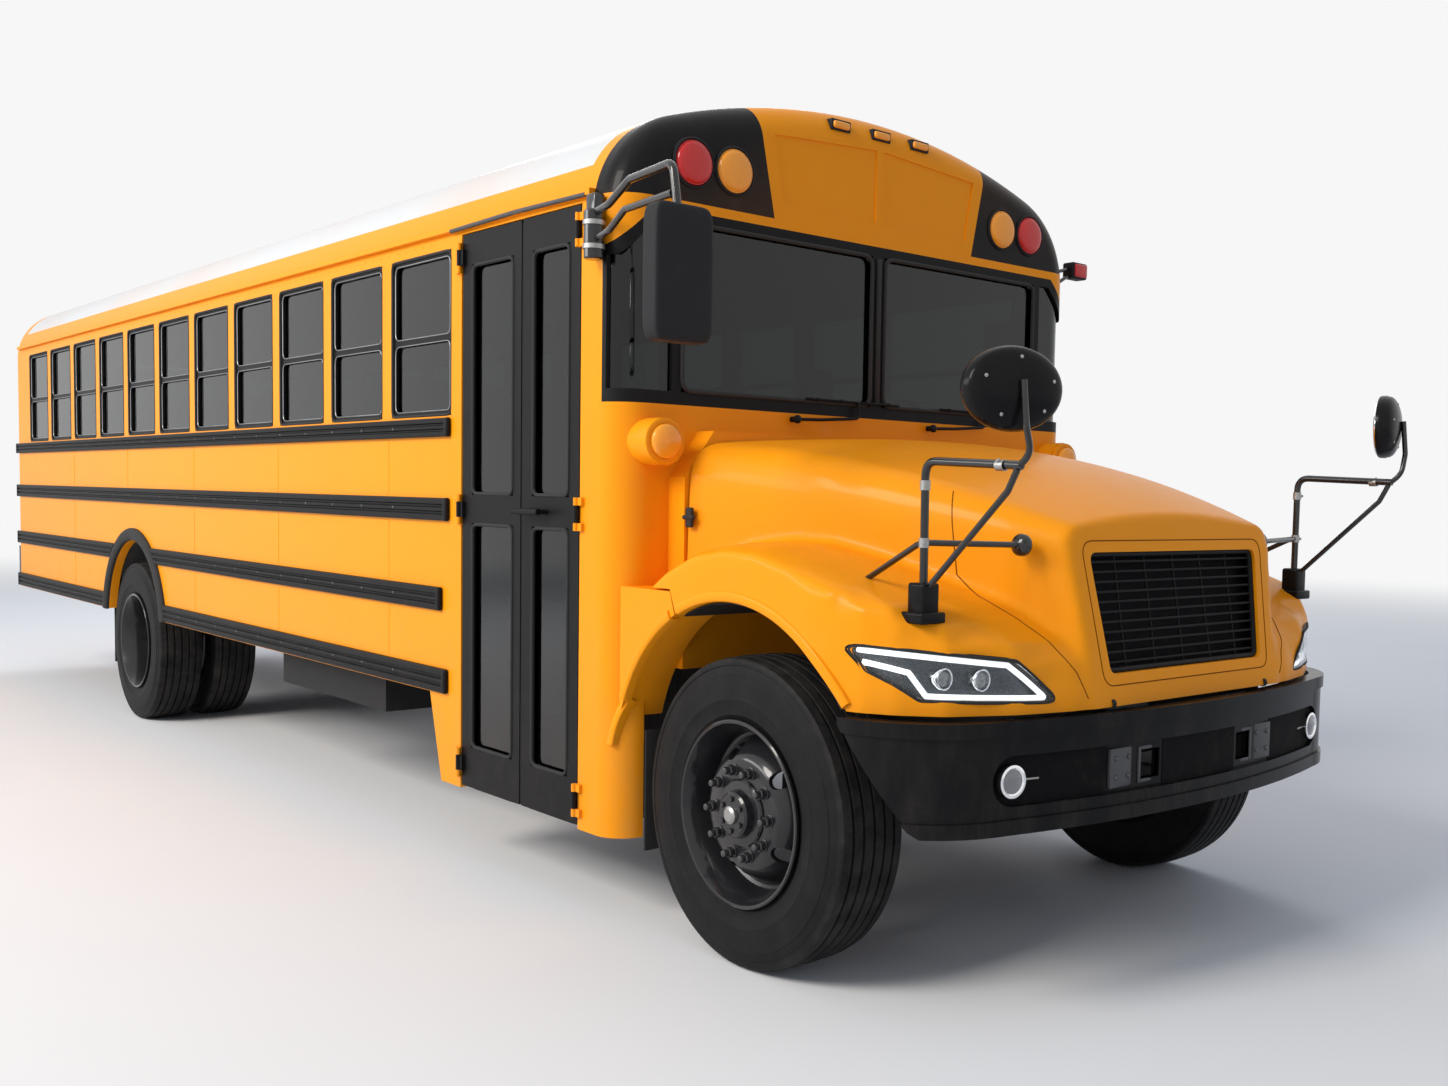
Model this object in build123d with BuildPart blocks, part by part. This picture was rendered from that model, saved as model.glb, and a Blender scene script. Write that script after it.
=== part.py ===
from build123d import *
import os
from math import atan2, cos, pi, radians, sin, sqrt

os.makedirs("parts", exist_ok=True)

# A conventional school bus with a tilting bonnet. Millimetres.
# X runs forward, Y to the left, Z up from the ground; the origin lies on the
# ground under the middle of the whole bus.

# Axles and wheels
wheelbase = 6320
front_axle_x = 4270
rear_axle_x = front_axle_x - wheelbase
tyre_r = 511
tyre_width = 280
bead_r = 290
front_track_half = 1007
twin_outer_half = 1083
twin_spacing = 330
wheel_z = tyre_r

# Body shell
body_half_width = 1220
body_rear_x = front_axle_x - 9575
body_front_x = front_axle_x - 600
wall = 50
roof_top_z = 3060
roof_crown_r = 2900
roof_corner_r = 400
front_corner_r = 120
rear_corner_r = 130
skirt_z = 680
step_z = 312
roof_seam_z = 2580
cap_length = 170
cowl_seam_x = front_axle_x - 782
rear_seam_x = body_rear_x + 180
floor_z = 1000
floor_thickness = 40
skin_gap = 0.3

# Side windows: a row of equal two-sash units between narrow posts
window_pitch = 664.4
window_width = 568
window_count = 11
first_window_x = front_axle_x - 9161 + 382
window_bottom_z = 1845
window_top_z = 2521
meeting_rail_z = 2168
sash_depth = 34
sash_bar = 24
glass_thickness = 6
driver_window_rear_x = front_axle_x - 1800
driver_window_length = 900

# Rub rails: top and bottom edge, and front end measured from the front axle
rail_stand_off = 20
rail_groove = 9
rail_rear_overlap = 60
rail_table = (
    (1757, 1834, -1862),
    (1409, 1503, -1871),
    (1033, 1129, -1935),
    (688, 788, -1882),
)
arch_centre_z = 560
rear_arch_r = 605
rear_lip_r = 685
front_arch_r = 648

# Entrance door on the right side
door_front_x = front_axle_x - 845
door_rear_x = front_axle_x - 1761
door_top_z = 2566
door_bottom_z = 325
door_gap = 10
door_meeting_gap = 14
door_split_x = front_axle_x - 1271
leaf_thickness = 40
door_rail_low_z = 490
door_rail_mid_low_z = 1406
door_rail_mid_top_z = 1520
door_rail_top_z = 2438
hinge_barrel_r = 10
hinge_stand_off = 13
leaf_set_back = 2
hinge_pin_r = 5
hinge_clearance = 0.1
hinge_barrel_height = 62
hinge_ear_height = 28
hinge_end_gap = 1
hinge_leaf_reach = 30
hinge_heights = (420, 1460, 2470)

# Windscreen
screen_bottom_z = 1858
screen_top_z = 2546
screen_glass_low_z = 1905
screen_glass_top_z = 2508
screen_wrap_x = body_front_x - 108
screen_shoulder_z = 2380
screen_shoulder_y = 1075
divider_half = 32
mullion_y = 978
mullion_half = 20

# Bonnet, measured forward from the front axle
bonnet_rear = -494
bonnet_mid = 200
bonnet_nose = 902
bonnet_skin = 18
nose_lean = 10
nose_mid_z = 1190
bonnet_seam = -330
bonnet_seam_z = 1222
wing_half = 1190
wing_bottom_z = 915
bonnet_pin_x = front_axle_x + 945
bonnet_pin_z = 926
bonnet_pin_r = 7

# Bumpers
bumper_front = 1010
bumper_corner = 905
bumper_corner_y = 870
bumper_end = 545
bumper_half = 1205
bumper_skin = 55
bumper_top_z = 905
bumper_bottom_z = 572

bumper_side_x = 790
bumper_side_y = 1095
bumper_lip = 9
bumper_lip_height = 44
bumper_pocket_depth = 26
bumper_pocket_half = 905
bumper_pocket_height = 150
tow_opening_y = 265
tow_opening_half = 46
fog_lamp_y = 837
fog_lamp_z = 728
fog_lamp_r = 50

# Chassis
rail_half = 430
rail_width = 76
rail_low_z = 640
rail_top_z = 890
kingpin_half = 850


def block(x0, x1, y0, y1, z0, z1, mode=Mode.ADD):
    """A box between two corners, put into the part that is being built."""
    with Locations(((x0 + x1) / 2, (y0 + y1) / 2, (z0 + z1) / 2)):
        Box(abs(x1 - x0), abs(y1 - y0), abs(z1 - z0), mode=mode)


def rod(start, end, radius, mode=Mode.ADD):
    """A round bar between two points."""
    path = Vector(*end) - Vector(*start)
    with Locations(Plane(origin=start, z_dir=path)):
        Cylinder(radius, path.length, align=(Align.CENTER, Align.CENTER, Align.MIN), mode=mode)


def tube(points, radius):
    """A round bar through the points, mitred at each."""
    with BuildLine() as path:
        Polyline(*points)
    with BuildSketch(Plane(origin=points[0], z_dir=Vector(*points[1]) - Vector(*points[0]))) as section:
        Circle(radius)
    sweep(section.sketch, path=path.line, transition=Transition.RIGHT)


def body_section(inset, bottom_z):
    """Cross-section of the body: upright sides, round eaves and a cambered roof."""
    half = body_half_width - inset
    crown_centre_z = roof_top_z - roof_crown_r
    eave_y = body_half_width - roof_corner_r
    eave_z = crown_centre_z + sqrt((roof_crown_r - roof_corner_r) ** 2 - eave_y**2)
    lean = atan2(eave_y, eave_z - crown_centre_z)
    crown_r = roof_crown_r - inset
    corner_r = roof_corner_r - inset
    join = (crown_r * sin(lean), crown_centre_z + crown_r * cos(lean))
    turn = (pi / 2 - lean) / 2
    mid = (eave_y + corner_r * cos(turn), eave_z + corner_r * sin(turn))
    with BuildLine() as outline:
        Polyline((-half, eave_z), (-half, bottom_z), (half, bottom_z), (half, eave_z))
        ThreePointArc((half, eave_z), mid, join)
        ThreePointArc(join, (0, crown_centre_z + crown_r), (-join[0], join[1]))
        ThreePointArc((-join[0], join[1]), (-mid[0], mid[1]), (-half, eave_z))
    make_face(outline.edges())


def envelope(inset, bottom_z, rounded=True):
    """The body as a closed block, inset from its outer skin, its end edges rounded or square."""
    with BuildPart() as solid:
        with BuildSketch(Plane.YZ.offset(body_rear_x + inset)):
            body_section(inset, bottom_z)
        extrude(amount=body_front_x - body_rear_x - 2 * inset)
        if rounded:
            front_edges = solid.faces().sort_by(Axis.X)[-1].edges().sort_by(Axis.Z)[1:]
            fillet(front_edges, front_corner_r - inset)
            rear_edges = solid.faces().sort_by(Axis.X)[0].edges().sort_by(Axis.Z)[1:]
            fillet(rear_edges, rear_corner_r - inset)
    return solid.part


with BuildPart() as shell:
    add(envelope(0, step_z))
    add(envelope(wall, step_z - wall, rounded=False), mode=Mode.SUBTRACT)

with BuildPart() as glass_layer:
    add(envelope(14, step_z))
    add(envelope(14 + glass_thickness, step_z - wall), mode=Mode.SUBTRACT)

window_places = [first_window_x + window_pitch * i for i in range(window_count)]
window_height = window_top_z - window_bottom_z
window_mid_z = (window_top_z + window_bottom_z) / 2
driver_window_x = driver_window_rear_x + driver_window_length / 2
roof_margin = 100

# Roof shell with its two hatches and a gutter along each side
hatch_places = (front_axle_x - 2900, front_axle_x - 7000)
hatch_half = 300
hatch_rise = 35
gutter_low_z = roof_seam_z + 4
gutter_height = 22
gutter_stand_off = 18
with BuildPart() as roof:
    add(shell.part)
    block(
        body_rear_x - roof_margin, body_front_x - cap_length,
        -body_half_width - roof_margin, body_half_width + roof_margin,
        roof_seam_z, roof_top_z + roof_margin, mode=Mode.INTERSECT,
    )
    for hatch_x in hatch_places:
        block(
            hatch_x - hatch_half, hatch_x + hatch_half, -hatch_half, hatch_half,
            roof_top_z - wall / 2, roof_top_z + hatch_rise,
        )
    for side in (-1, 1):
        block(
            rear_seam_x, body_front_x - cap_length,
            side * (body_half_width - wall / 2), side * (body_half_width + gutter_stand_off),
            gutter_low_z, gutter_low_z + gutter_height,
        )
roof.part.label = "roof"
export_step(roof.part, "parts/roof.step")

# Front roof cap with its two shallow panels
cap_panel_inner_y = 20
cap_panel_foot_y = 500
cap_panel_head_y = 545
cap_panel_low_z = 2640
cap_panel_top_z = 2925
cap_panel_drop = 35
cap_panel_depth = 6
with BuildPart() as roof_cap:
    add(shell.part)
    block(
        body_front_x - cap_length, body_front_x + roof_margin,
        -body_half_width - roof_margin, body_half_width + roof_margin,
        roof_seam_z, roof_top_z + roof_margin, mode=Mode.INTERSECT,
    )
    for side in (-1, 1):
        with BuildSketch(Plane.YZ.offset(body_front_x - cap_panel_depth)):
            with BuildLine():
                Polyline(
                    (side * cap_panel_inner_y, cap_panel_low_z), (side * cap_panel_foot_y, cap_panel_low_z),
                    (side * cap_panel_head_y, cap_panel_top_z - cap_panel_drop),
                    (side * cap_panel_inner_y, cap_panel_top_z), close=True,
                )
            make_face()
        extrude(amount=wall, mode=Mode.SUBTRACT)
roof_cap.part.label = "roof_cap"
export_step(roof_cap.part, "parts/roof_cap.step")


def side_windows(side):
    """Cut one side's row of window openings."""
    with Locations(*[(x, side * body_half_width, window_mid_z) for x in window_places]):
        Box(window_width, 4 * wall, window_height, mode=Mode.SUBTRACT)


def hinge_knuckles(x, y, toward_x, toward_y, heights):
    """Fixed halves of a leaf's hinges: two ears and the pin at each height."""
    ear_gap_z = hinge_barrel_height / 2 + hinge_end_gap
    for z in heights:
        for ear_z in (z - ear_gap_z - hinge_ear_height, z + ear_gap_z):
            with Locations((x, y, ear_z)):
                Cylinder(hinge_barrel_r, hinge_ear_height, align=(Align.CENTER, Align.CENTER, Align.MIN))
            block(
                min(x, toward_x), max(x, toward_x), min(y, toward_y), max(y, toward_y),
                ear_z, ear_z + hinge_ear_height,
            )
        with Locations((x, y, z)):
            Cylinder(hinge_pin_r, hinge_barrel_height + hinge_ear_height)


def hinge_barrels(x, y, toward_x, toward_y, heights):
    """Moving halves of a leaf's hinges: one bored barrel at each height."""
    for z in heights:
        with Locations((x, y, z)):
            Cylinder(hinge_barrel_r, hinge_barrel_height)
        block(
            min(x, toward_x), max(x, toward_x), min(y, toward_y), max(y, toward_y),
            z - hinge_barrel_height / 2, z + hinge_barrel_height / 2,
        )
        with Locations((x, y, z)):
            Cylinder(hinge_pin_r + hinge_clearance, 2 * hinge_barrel_height, mode=Mode.SUBTRACT)


door_hinge_y = -body_half_width - hinge_stand_off
front_hinge_x = door_front_x - door_gap / 2
rear_hinge_x = door_rear_x + door_gap / 2
arch_mid_x = rear_axle_x

# Right side wall: windows, doorway with its jambs down to the step, wheel arch
step_panel_top_x = door_rear_x - 280
step_panel_foot_x = door_rear_x - 176
with BuildPart() as side_wall_right:
    add(shell.part)
    block(
        rear_seam_x, cowl_seam_x, -body_half_width - wall, -body_half_width / 2,
        step_z, roof_seam_z, mode=Mode.INTERSECT,
    )
    block(
        rear_seam_x - wall, step_panel_top_x, -body_half_width - wall, -body_half_width / 2,
        step_z - wall, skirt_z, mode=Mode.SUBTRACT,
    )
    with BuildSketch(Plane.XZ.offset(body_half_width - 2 * wall)):
        with BuildLine():
            Polyline(
                (step_panel_top_x - wall, skirt_z + 1), (step_panel_top_x - wall, step_z - 10),
                (step_panel_foot_x, step_z - 10), (step_panel_foot_x, step_z + 10),
                (step_panel_top_x, skirt_z), close=True,
            )
        make_face()
    extrude(amount=4 * wall, mode=Mode.SUBTRACT)
    side_windows(-1)
    block(
        door_rear_x, door_front_x, -body_half_width - wall, -body_half_width / 2,
        step_z - wall, door_top_z, mode=Mode.SUBTRACT,
    )
    with Locations(Location((arch_mid_x, -body_half_width, arch_centre_z), (90, 0, 0))):
        Cylinder(rear_arch_r, 4 * wall, mode=Mode.SUBTRACT)
    jambs = ((front_hinge_x, door_front_x + hinge_leaf_reach), (rear_hinge_x, door_rear_x - hinge_leaf_reach))
    for hinge_x, jamb_x in jambs:
        hinge_knuckles(hinge_x, door_hinge_y, jamb_x, -body_half_width + leaf_set_back, hinge_heights)
side_wall_right.part.label = "side_wall_right"
export_step(side_wall_right.part, "parts/side_wall_right.step")

# Left side wall: windows, the driver's window and the stop arm's bracket
arm_hinge_x = front_axle_x - 980
arm_hinge_y = body_half_width + 34
arm_z = 1600
arm_barrel_r = 12
arm_bracket_half = 150
arm_ear_height = 30
arm_ear_offset = 100
with BuildPart() as side_wall_left:
    add(shell.part)
    block(
        rear_seam_x, cowl_seam_x, body_half_width / 2, body_half_width + wall,
        skirt_z, roof_seam_z, mode=Mode.INTERSECT,
    )
    side_windows(1)
    block(
        driver_window_rear_x, driver_window_rear_x + driver_window_length,
        body_half_width - 2 * wall, body_half_width + wall,
        window_bottom_z, window_top_z, mode=Mode.SUBTRACT,
    )
    with Locations(Location((arch_mid_x, body_half_width, arch_centre_z), (90, 0, 0))):
        Cylinder(rear_arch_r, 4 * wall, mode=Mode.SUBTRACT)
    block(
        arm_hinge_x + 22, arm_hinge_x + 120, body_half_width - 2, body_half_width + 56,
        arm_z - arm_bracket_half, arm_z + arm_bracket_half,
    )
    for ear_z in (arm_z - arm_ear_offset - arm_ear_height, arm_z + arm_ear_offset):
        block(
            arm_hinge_x, arm_hinge_x + 30, arm_hinge_y - arm_barrel_r, arm_hinge_y + arm_barrel_r,
            ear_z, ear_z + arm_ear_height,
        )
        with Locations((arm_hinge_x, arm_hinge_y, ear_z)):
            Cylinder(arm_barrel_r, arm_ear_height, align=(Align.CENTER, Align.CENTER, Align.MIN))
    with Locations((arm_hinge_x, arm_hinge_y, arm_z)):
        Cylinder(hinge_pin_r, 2 * arm_ear_offset + arm_ear_height)
side_wall_left.part.label = "side_wall_left"
export_step(side_wall_left.part, "parts/side_wall_left.step")

# Rear wall with the emergency doorway and a window on each side of it
rear_door_half = 470
rear_door_low_z = 1030
rear_door_top_z = 2540
rear_window_in = 570
rear_window_out = 1040
rear_window_low_z = 1880
rear_hinge_line_x = body_rear_x - hinge_stand_off
rear_hinge_y = -rear_door_half - door_gap / 2
with BuildPart() as rear_wall:
    add(shell.part)
    block(
        body_rear_x - wall, rear_seam_x, -body_half_width - wall, body_half_width + wall,
        skirt_z, roof_seam_z, mode=Mode.INTERSECT,
    )
    block(
        body_rear_x - wall, body_rear_x + 2 * wall, -rear_door_half - door_gap, rear_door_half + door_gap,
        rear_door_low_z, rear_door_top_z, mode=Mode.SUBTRACT,
    )
    for side in (-1, 1):
        block(
            body_rear_x - wall, body_rear_x + 2 * wall,
            side * rear_window_in, side * rear_window_out,
            rear_window_low_z, window_top_z, mode=Mode.SUBTRACT,
        )
    hinge_knuckles(
        rear_hinge_line_x, rear_hinge_y, body_rear_x + leaf_set_back,
        rear_hinge_y - hinge_leaf_reach, hinge_heights[1:],
    )
rear_wall.part.label = "rear_wall"
export_step(rear_wall.part, "parts/rear_wall.step")


screen_side = body_half_width + 20


def screen_outline():
    """Outline of the windscreen aperture seen from ahead."""
    with BuildSketch(Plane.YZ.offset(screen_wrap_x)) as aperture:
        with BuildLine():
            Polyline(
                (-screen_side, screen_bottom_z), (screen_side, screen_bottom_z),
                (screen_side, screen_shoulder_z), (screen_shoulder_y, screen_top_z),
                (-screen_shoulder_y, screen_top_z), (-screen_side, screen_shoulder_z), close=True,
            )
        make_face()
    return aperture.sketch


def screen_pane(side, inner, outer):
    """Outline of one pane; the outer panes have a cut shoulder and a round foot."""
    with BuildSketch(Plane.YZ.offset(screen_wrap_x + 20)) as pane:
        with BuildLine():
            if outer > mullion_y:
                Polyline(
                    (side * inner, screen_glass_low_z), (side * outer, screen_glass_low_z),
                    (side * outer, screen_shoulder_z - 10),
                    (side * (screen_side - 50), screen_shoulder_z - 10),
                    (side * (screen_shoulder_y - 15), screen_glass_top_z),
                    (side * inner, screen_glass_top_z), close=True,
                )
            else:
                Polyline(
                    (side * inner, screen_glass_low_z), (side * outer, screen_glass_low_z),
                    (side * outer, screen_glass_top_z), (side * inner, screen_glass_top_z), close=True,
                )
        make_face()
    return pane.sketch


pane_spans = ((divider_half, mullion_y - mullion_half), (mullion_y + mullion_half, screen_side + wall))

# Cowl: the wall round the windscreen, the bulkhead behind the bonnet, the
# corner panels down to the step and the rear flares of the front wheel arches
seam_gap = 8
flare_start = 117
flare_end = 191
lamp_bulge_y = 1085
lamp_bulge_z = 1722
lamp_bulge_r = 84
lamp_bulge_front = -512
cowl_box_front = bonnet_rear - 8
bulkhead_foot_z = 920
bulkhead_shoulder_z = 1600
bulkhead_top_z = 1768
bulkhead_half = 1006
bulkhead_top_half = 880
flare_root_y = 1010
with BuildPart() as cowl:
    add(shell.part)
    block(
        cowl_seam_x, body_front_x + wall, -body_half_width - wall, body_half_width + wall,
        step_z, roof_seam_z, mode=Mode.INTERSECT,
    )
    extrude(screen_outline(), amount=wall + 100, mode=Mode.SUBTRACT)
    block(
        body_front_x - 2 * wall, body_front_x + wall, -body_half_width + front_corner_r,
        body_half_width - front_corner_r, step_z - wall, bulkhead_foot_z, mode=Mode.SUBTRACT,
    )
    with BuildSketch(Plane.YZ.offset(body_front_x - 1)):
        with BuildLine():
            Polyline(
                (-bulkhead_half, bulkhead_foot_z), (bulkhead_half, bulkhead_foot_z),
                (bulkhead_half, bulkhead_shoulder_z), (bulkhead_top_half, bulkhead_top_z),
                (-bulkhead_top_half, bulkhead_top_z), (-bulkhead_half, bulkhead_shoulder_z), close=True,
            )
        make_face()
    extrude(amount=front_axle_x + cowl_box_front - body_front_x + 1)
    for side in (-1, 1):
        rod(
            (body_front_x - wall + 5, side * lamp_bulge_y, lamp_bulge_z),
            (front_axle_x + lamp_bulge_front, side * lamp_bulge_y, lamp_bulge_z), lamp_bulge_r,
        )
        with BuildSketch(Plane.XZ.offset(-side * flare_root_y)):
            with BuildLine():
                sweep_angle = flare_end - flare_start
                inner = CenterArc((front_axle_x, arch_centre_z), front_arch_r, flare_start, sweep_angle)
                Polyline(
                    inner @ 0, (front_axle_x + bonnet_seam + seam_gap, bonnet_seam_z - seam_gap),
                    (body_front_x - 20, bonnet_seam_z - seam_gap),
                    (body_front_x - 20, (inner @ 1).Y), inner @ 1,
                )
            make_face()
        extrude(amount=-side * (wing_half - flare_root_y))
    block(
        body_front_x - 2 * wall, body_front_x + 2 * wall, -body_half_width + front_corner_r + 5,
        body_half_width - front_corner_r - 5, step_z - wall, arch_centre_z + 40, mode=Mode.SUBTRACT,
    )
cowl.part.label = "cowl"
export_step(cowl.part, "parts/cowl.step")

# Window frames: the black windscreen surround and every sash frame
with BuildPart() as screen_frame:
    add(shell.part)
    block(
        screen_wrap_x, body_front_x + wall, -screen_side, screen_side,
        screen_bottom_z, screen_top_z, mode=Mode.INTERSECT,
    )
    extrude(screen_outline(), amount=wall + 100, mode=Mode.INTERSECT)
    for side in (-1, 1):
        for inner, outer in pane_spans:
            extrude(screen_pane(side, inner, outer), amount=150, mode=Mode.SUBTRACT)

upper_sash_height = window_top_z - meeting_rail_z - 1.5 * sash_bar
lower_sash_height = meeting_rail_z - window_bottom_z - 1.5 * sash_bar
upper_sash_z = window_top_z - sash_bar - upper_sash_height / 2
lower_sash_z = window_bottom_z + sash_bar + lower_sash_height / 2
sash_y = body_half_width - 8 - sash_depth / 2
# Window units by width: where each stands along the body and on which side
sash_units = (
    (window_width, [(x, side * sash_y) for side in (-1, 1) for x in window_places]),
    (driver_window_length, [(driver_window_x, sash_y)]),
)

with BuildPart() as window_frames:
    add(screen_frame.part)
    for width, places in sash_units:
        with Locations(*[(x, y, window_mid_z) for x, y in places]):
            Box(width, sash_depth, window_height)
        with Locations(*[(x, y, upper_sash_z) for x, y in places]):
            Box(width - 2 * sash_bar, 2 * sash_depth, upper_sash_height, mode=Mode.SUBTRACT)
        with Locations(*[(x, y, lower_sash_z) for x, y in places]):
            Box(width - 2 * sash_bar, 2 * sash_depth, lower_sash_height, mode=Mode.SUBTRACT)
window_frames.part.label = "window_frames"
export_step(window_frames.part, "parts/window_frames.step")

# Fixed glass: windscreen panes, side panes and rear panes
with BuildPart() as screen_glass:
    for side in (-1, 1):
        for inner, outer in pane_spans:
            extrude(screen_pane(side, inner, outer), amount=150)
    add(glass_layer.part, mode=Mode.INTERSECT)

with BuildPart() as body_glass:
    add(screen_glass.part)
    for width, places in sash_units:
        with Locations(*[(x, y, upper_sash_z) for x, y in places]):
            Box(width - 2 * sash_bar, glass_thickness, upper_sash_height)
        with Locations(*[(x, y, lower_sash_z) for x, y in places]):
            Box(width - 2 * sash_bar, glass_thickness, lower_sash_height)
    rear_pane_width = rear_window_out - rear_window_in
    rear_pane_y = (rear_window_out + rear_window_in) / 2
    rear_pane_mid_z = (rear_window_low_z + window_top_z) / 2
    with Locations(*[(body_rear_x + wall / 2, side * rear_pane_y, rear_pane_mid_z) for side in (-1, 1)]):
        Box(glass_thickness, rear_pane_width, window_top_z - rear_window_low_z)
body_glass.part.label = "body_glass"
export_step(body_glass.part, "parts/body_glass.step")

# Rub rails: three ribs with grooves between them, stopped short at the rear
# wheel arches. Section: how far the face stands out, share of the height
rail_crest = rail_stand_off
rail_edge = rail_stand_off - 4
rail_valley = rail_stand_off - rail_groove
rail_section = (
    (0, 0), (rail_edge, 0), (rail_crest, 0.08), (rail_crest, 0.26), (rail_valley, 0.31), (rail_valley, 0.38),
    (rail_crest, 0.43), (rail_crest, 0.57), (rail_valley, 0.62), (rail_valley, 0.69), (rail_crest, 0.74),
    (rail_crest, 0.92), (rail_edge, 1), (0, 1),
)
with BuildPart() as rub_rails:
    for low_z, high_z, front_end in rail_table:
        height = high_z - low_z
        rear_x = rear_seam_x - rail_rear_overlap
        for side in (-1, 1):
            rail_face = side * (body_half_width + skin_gap)
            with BuildSketch(Plane.YZ.offset(rear_x)):
                with BuildLine():
                    corners = [(rail_face + side * out, low_z + height * up) for out, up in rail_section]
                    Polyline(corners, close=True)
                make_face()
            extrude(amount=front_axle_x + front_end - rear_x)
    with Locations(Location((arch_mid_x, 0, arch_centre_z), (90, 0, 0))):
        Cylinder(rear_lip_r + 4, 4 * body_half_width, mode=Mode.SUBTRACT)
rub_rails.part.label = "rub_rails"
export_step(rub_rails.part, "parts/rub_rails.step")

# Floor: deck on cross sills, the stepwell inside the door, the wheel boxes
deck_half = body_half_width - wall
step_depth = 225
step_rise = (floor_z - step_z) / 3
step_first_rise = 30
step_plate = 25
riser_plate = 20
sill_low_z = rail_top_z
sill_count = 13
sill_pitch = 690
sill_width = 60
wheel_box_y = 575
wheel_box_skin = 20
stepwell_rear_x = door_rear_x - riser_plate
stepwell_front_x = door_front_x + riser_plate
with BuildPart() as floor:
    block(
        body_rear_x + wall, body_front_x - wall, -deck_half, deck_half,
        floor_z - floor_thickness, floor_z,
    )
    for i in range(sill_count):
        sill_x = body_rear_x + 200 + sill_pitch * i
        block(sill_x, sill_x + sill_width, -deck_half, deck_half, sill_low_z, floor_z - floor_thickness)
    block(
        stepwell_rear_x, stepwell_front_x, -deck_half, -deck_half + 3 * step_depth - 2 * riser_plate,
        sill_low_z - 1, floor_z, mode=Mode.SUBTRACT,
    )
    for i in range(3):
        tread_z = step_z + step_rise * i + step_first_rise
        tread_y = -deck_half + step_depth * i
        block(stepwell_rear_x, stepwell_front_x, tread_y, tread_y + step_depth, tread_z - step_plate, tread_z)
        block(
            stepwell_rear_x, stepwell_front_x, tread_y + step_depth - riser_plate, tread_y + step_depth,
            tread_z, tread_z + step_rise if i < 2 else floor_z,
        )
    for end_x in (stepwell_rear_x, door_front_x):
        block(
            end_x, end_x + riser_plate, -deck_half, -deck_half + 3 * step_depth,
            step_z + step_first_rise, floor_z,
        )
    for side in (-1, 1):
        with BuildSketch(Plane.XZ.offset(-side * wheel_box_y)):
            with Locations((rear_axle_x, arch_centre_z)):
                Circle(rear_arch_r + wheel_box_skin + 10)
        extrude(amount=side * (wheel_box_y - deck_half))
        with BuildSketch(Plane.XZ.offset(-side * (wheel_box_y + wheel_box_skin))):
            with Locations((rear_axle_x, arch_centre_z)):
                Circle(rear_arch_r + 10)
        extrude(amount=-side * deck_half, mode=Mode.SUBTRACT)
    block(
        rear_axle_x - rear_lip_r, rear_axle_x + rear_lip_r, -body_half_width, body_half_width,
        0, sill_low_z, mode=Mode.SUBTRACT,
    )
    add(envelope(wall + skin_gap, step_z - wall, rounded=False), mode=Mode.INTERSECT)
floor.part.label = "floor"
export_step(floor.part, "parts/floor.step")

driver_y = 620

# Seats: ten rows of benches and the driver's seat on a pedestal.
# Heights are above the floor
seat_rows = 10
seat_pitch = 700
bench_width = 990
bench_depth = 400
bench_low = 330
bench_top = 450
back_depth = 110
back_top = 1090
leg_half = 20
leg_inset = 150
first_row_x = front_axle_x - 2750
driver_x = front_axle_x - 1650
driver_half = 240
driver_depth = 460
driver_low = 380
driver_top = 500
driver_back_top = 1180
pedestal_half = 120
with BuildPart() as seats:
    for row in range(seat_rows):
        seat_x = first_row_x - seat_pitch * row
        for side in (-1, 1):
            wall_y = side * (deck_half - 4)
            aisle_y = side * (deck_half - 4 - bench_width)
            leg_y = aisle_y + side * leg_inset
            block(seat_x, seat_x + bench_depth, wall_y, aisle_y, floor_z + bench_low, floor_z + bench_top)
            block(seat_x - back_depth, seat_x, wall_y, aisle_y, floor_z + bench_low, floor_z + back_top)
            block(seat_x + 60, seat_x + 340, leg_y - leg_half, leg_y + leg_half, floor_z, floor_z + bench_low)
    block(
        driver_x, driver_x + driver_depth, driver_y - driver_half, driver_y + driver_half,
        floor_z + driver_low, floor_z + driver_top,
    )
    block(
        driver_x - back_depth, driver_x, driver_y - driver_half + 10, driver_y + driver_half - 10,
        floor_z + driver_low, floor_z + driver_back_top,
    )
    block(
        driver_x + 100, driver_x + 360, driver_y - pedestal_half, driver_y + pedestal_half,
        floor_z, floor_z + driver_low,
    )
seats.part.label = "seats"
export_step(seats.part, "parts/seats.step")

# Dashboard with the steering column and wheel
dash_right_y = -480
dash_left_y = 1090
dash_front = body_front_x - wall - skin_gap
dash_low_z = 1180
dash_top_z = 1840
column_r = 35
column_low = (dash_front - 150, driver_y, 1560)
column_top = (dash_front - 520, driver_y, 1790)
steering_wheel_r = 225
steering_rim = 30
with BuildPart() as dashboard:
    with BuildSketch(Plane.XZ.offset(-dash_left_y)):
        with BuildLine():
            Polyline(
                (dash_front, dash_low_z), (dash_front, dash_top_z - 10), (dash_front - 160, dash_top_z),
                (dash_front - 330, dash_top_z - 140), (dash_front - 300, dash_top_z - 340),
                (dash_front - 160, dash_low_z), close=True,
            )
        make_face()
    extrude(amount=dash_left_y - dash_right_y)
    rod(column_low, column_top, column_r)
    column = Vector(*column_top) - Vector(*column_low)
    with BuildSketch(Plane(origin=column_top, z_dir=column)):
        RegularPolygon(steering_wheel_r, 16)
        RegularPolygon(steering_wheel_r - steering_rim, 16, mode=Mode.SUBTRACT)
        Rectangle(2 * steering_wheel_r - steering_rim, 40)
    extrude(amount=25)
dashboard.part.label = "dashboard"
export_step(dashboard.part, "parts/dashboard.step")

# Chassis frame: two rails with cross-members and the bonnet's hinge arms
bumper_bow = bumper_front - bumper_corner
bumper_arc_r = (bumper_corner_y**2 + bumper_bow**2) / (2 * bumper_bow)


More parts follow.
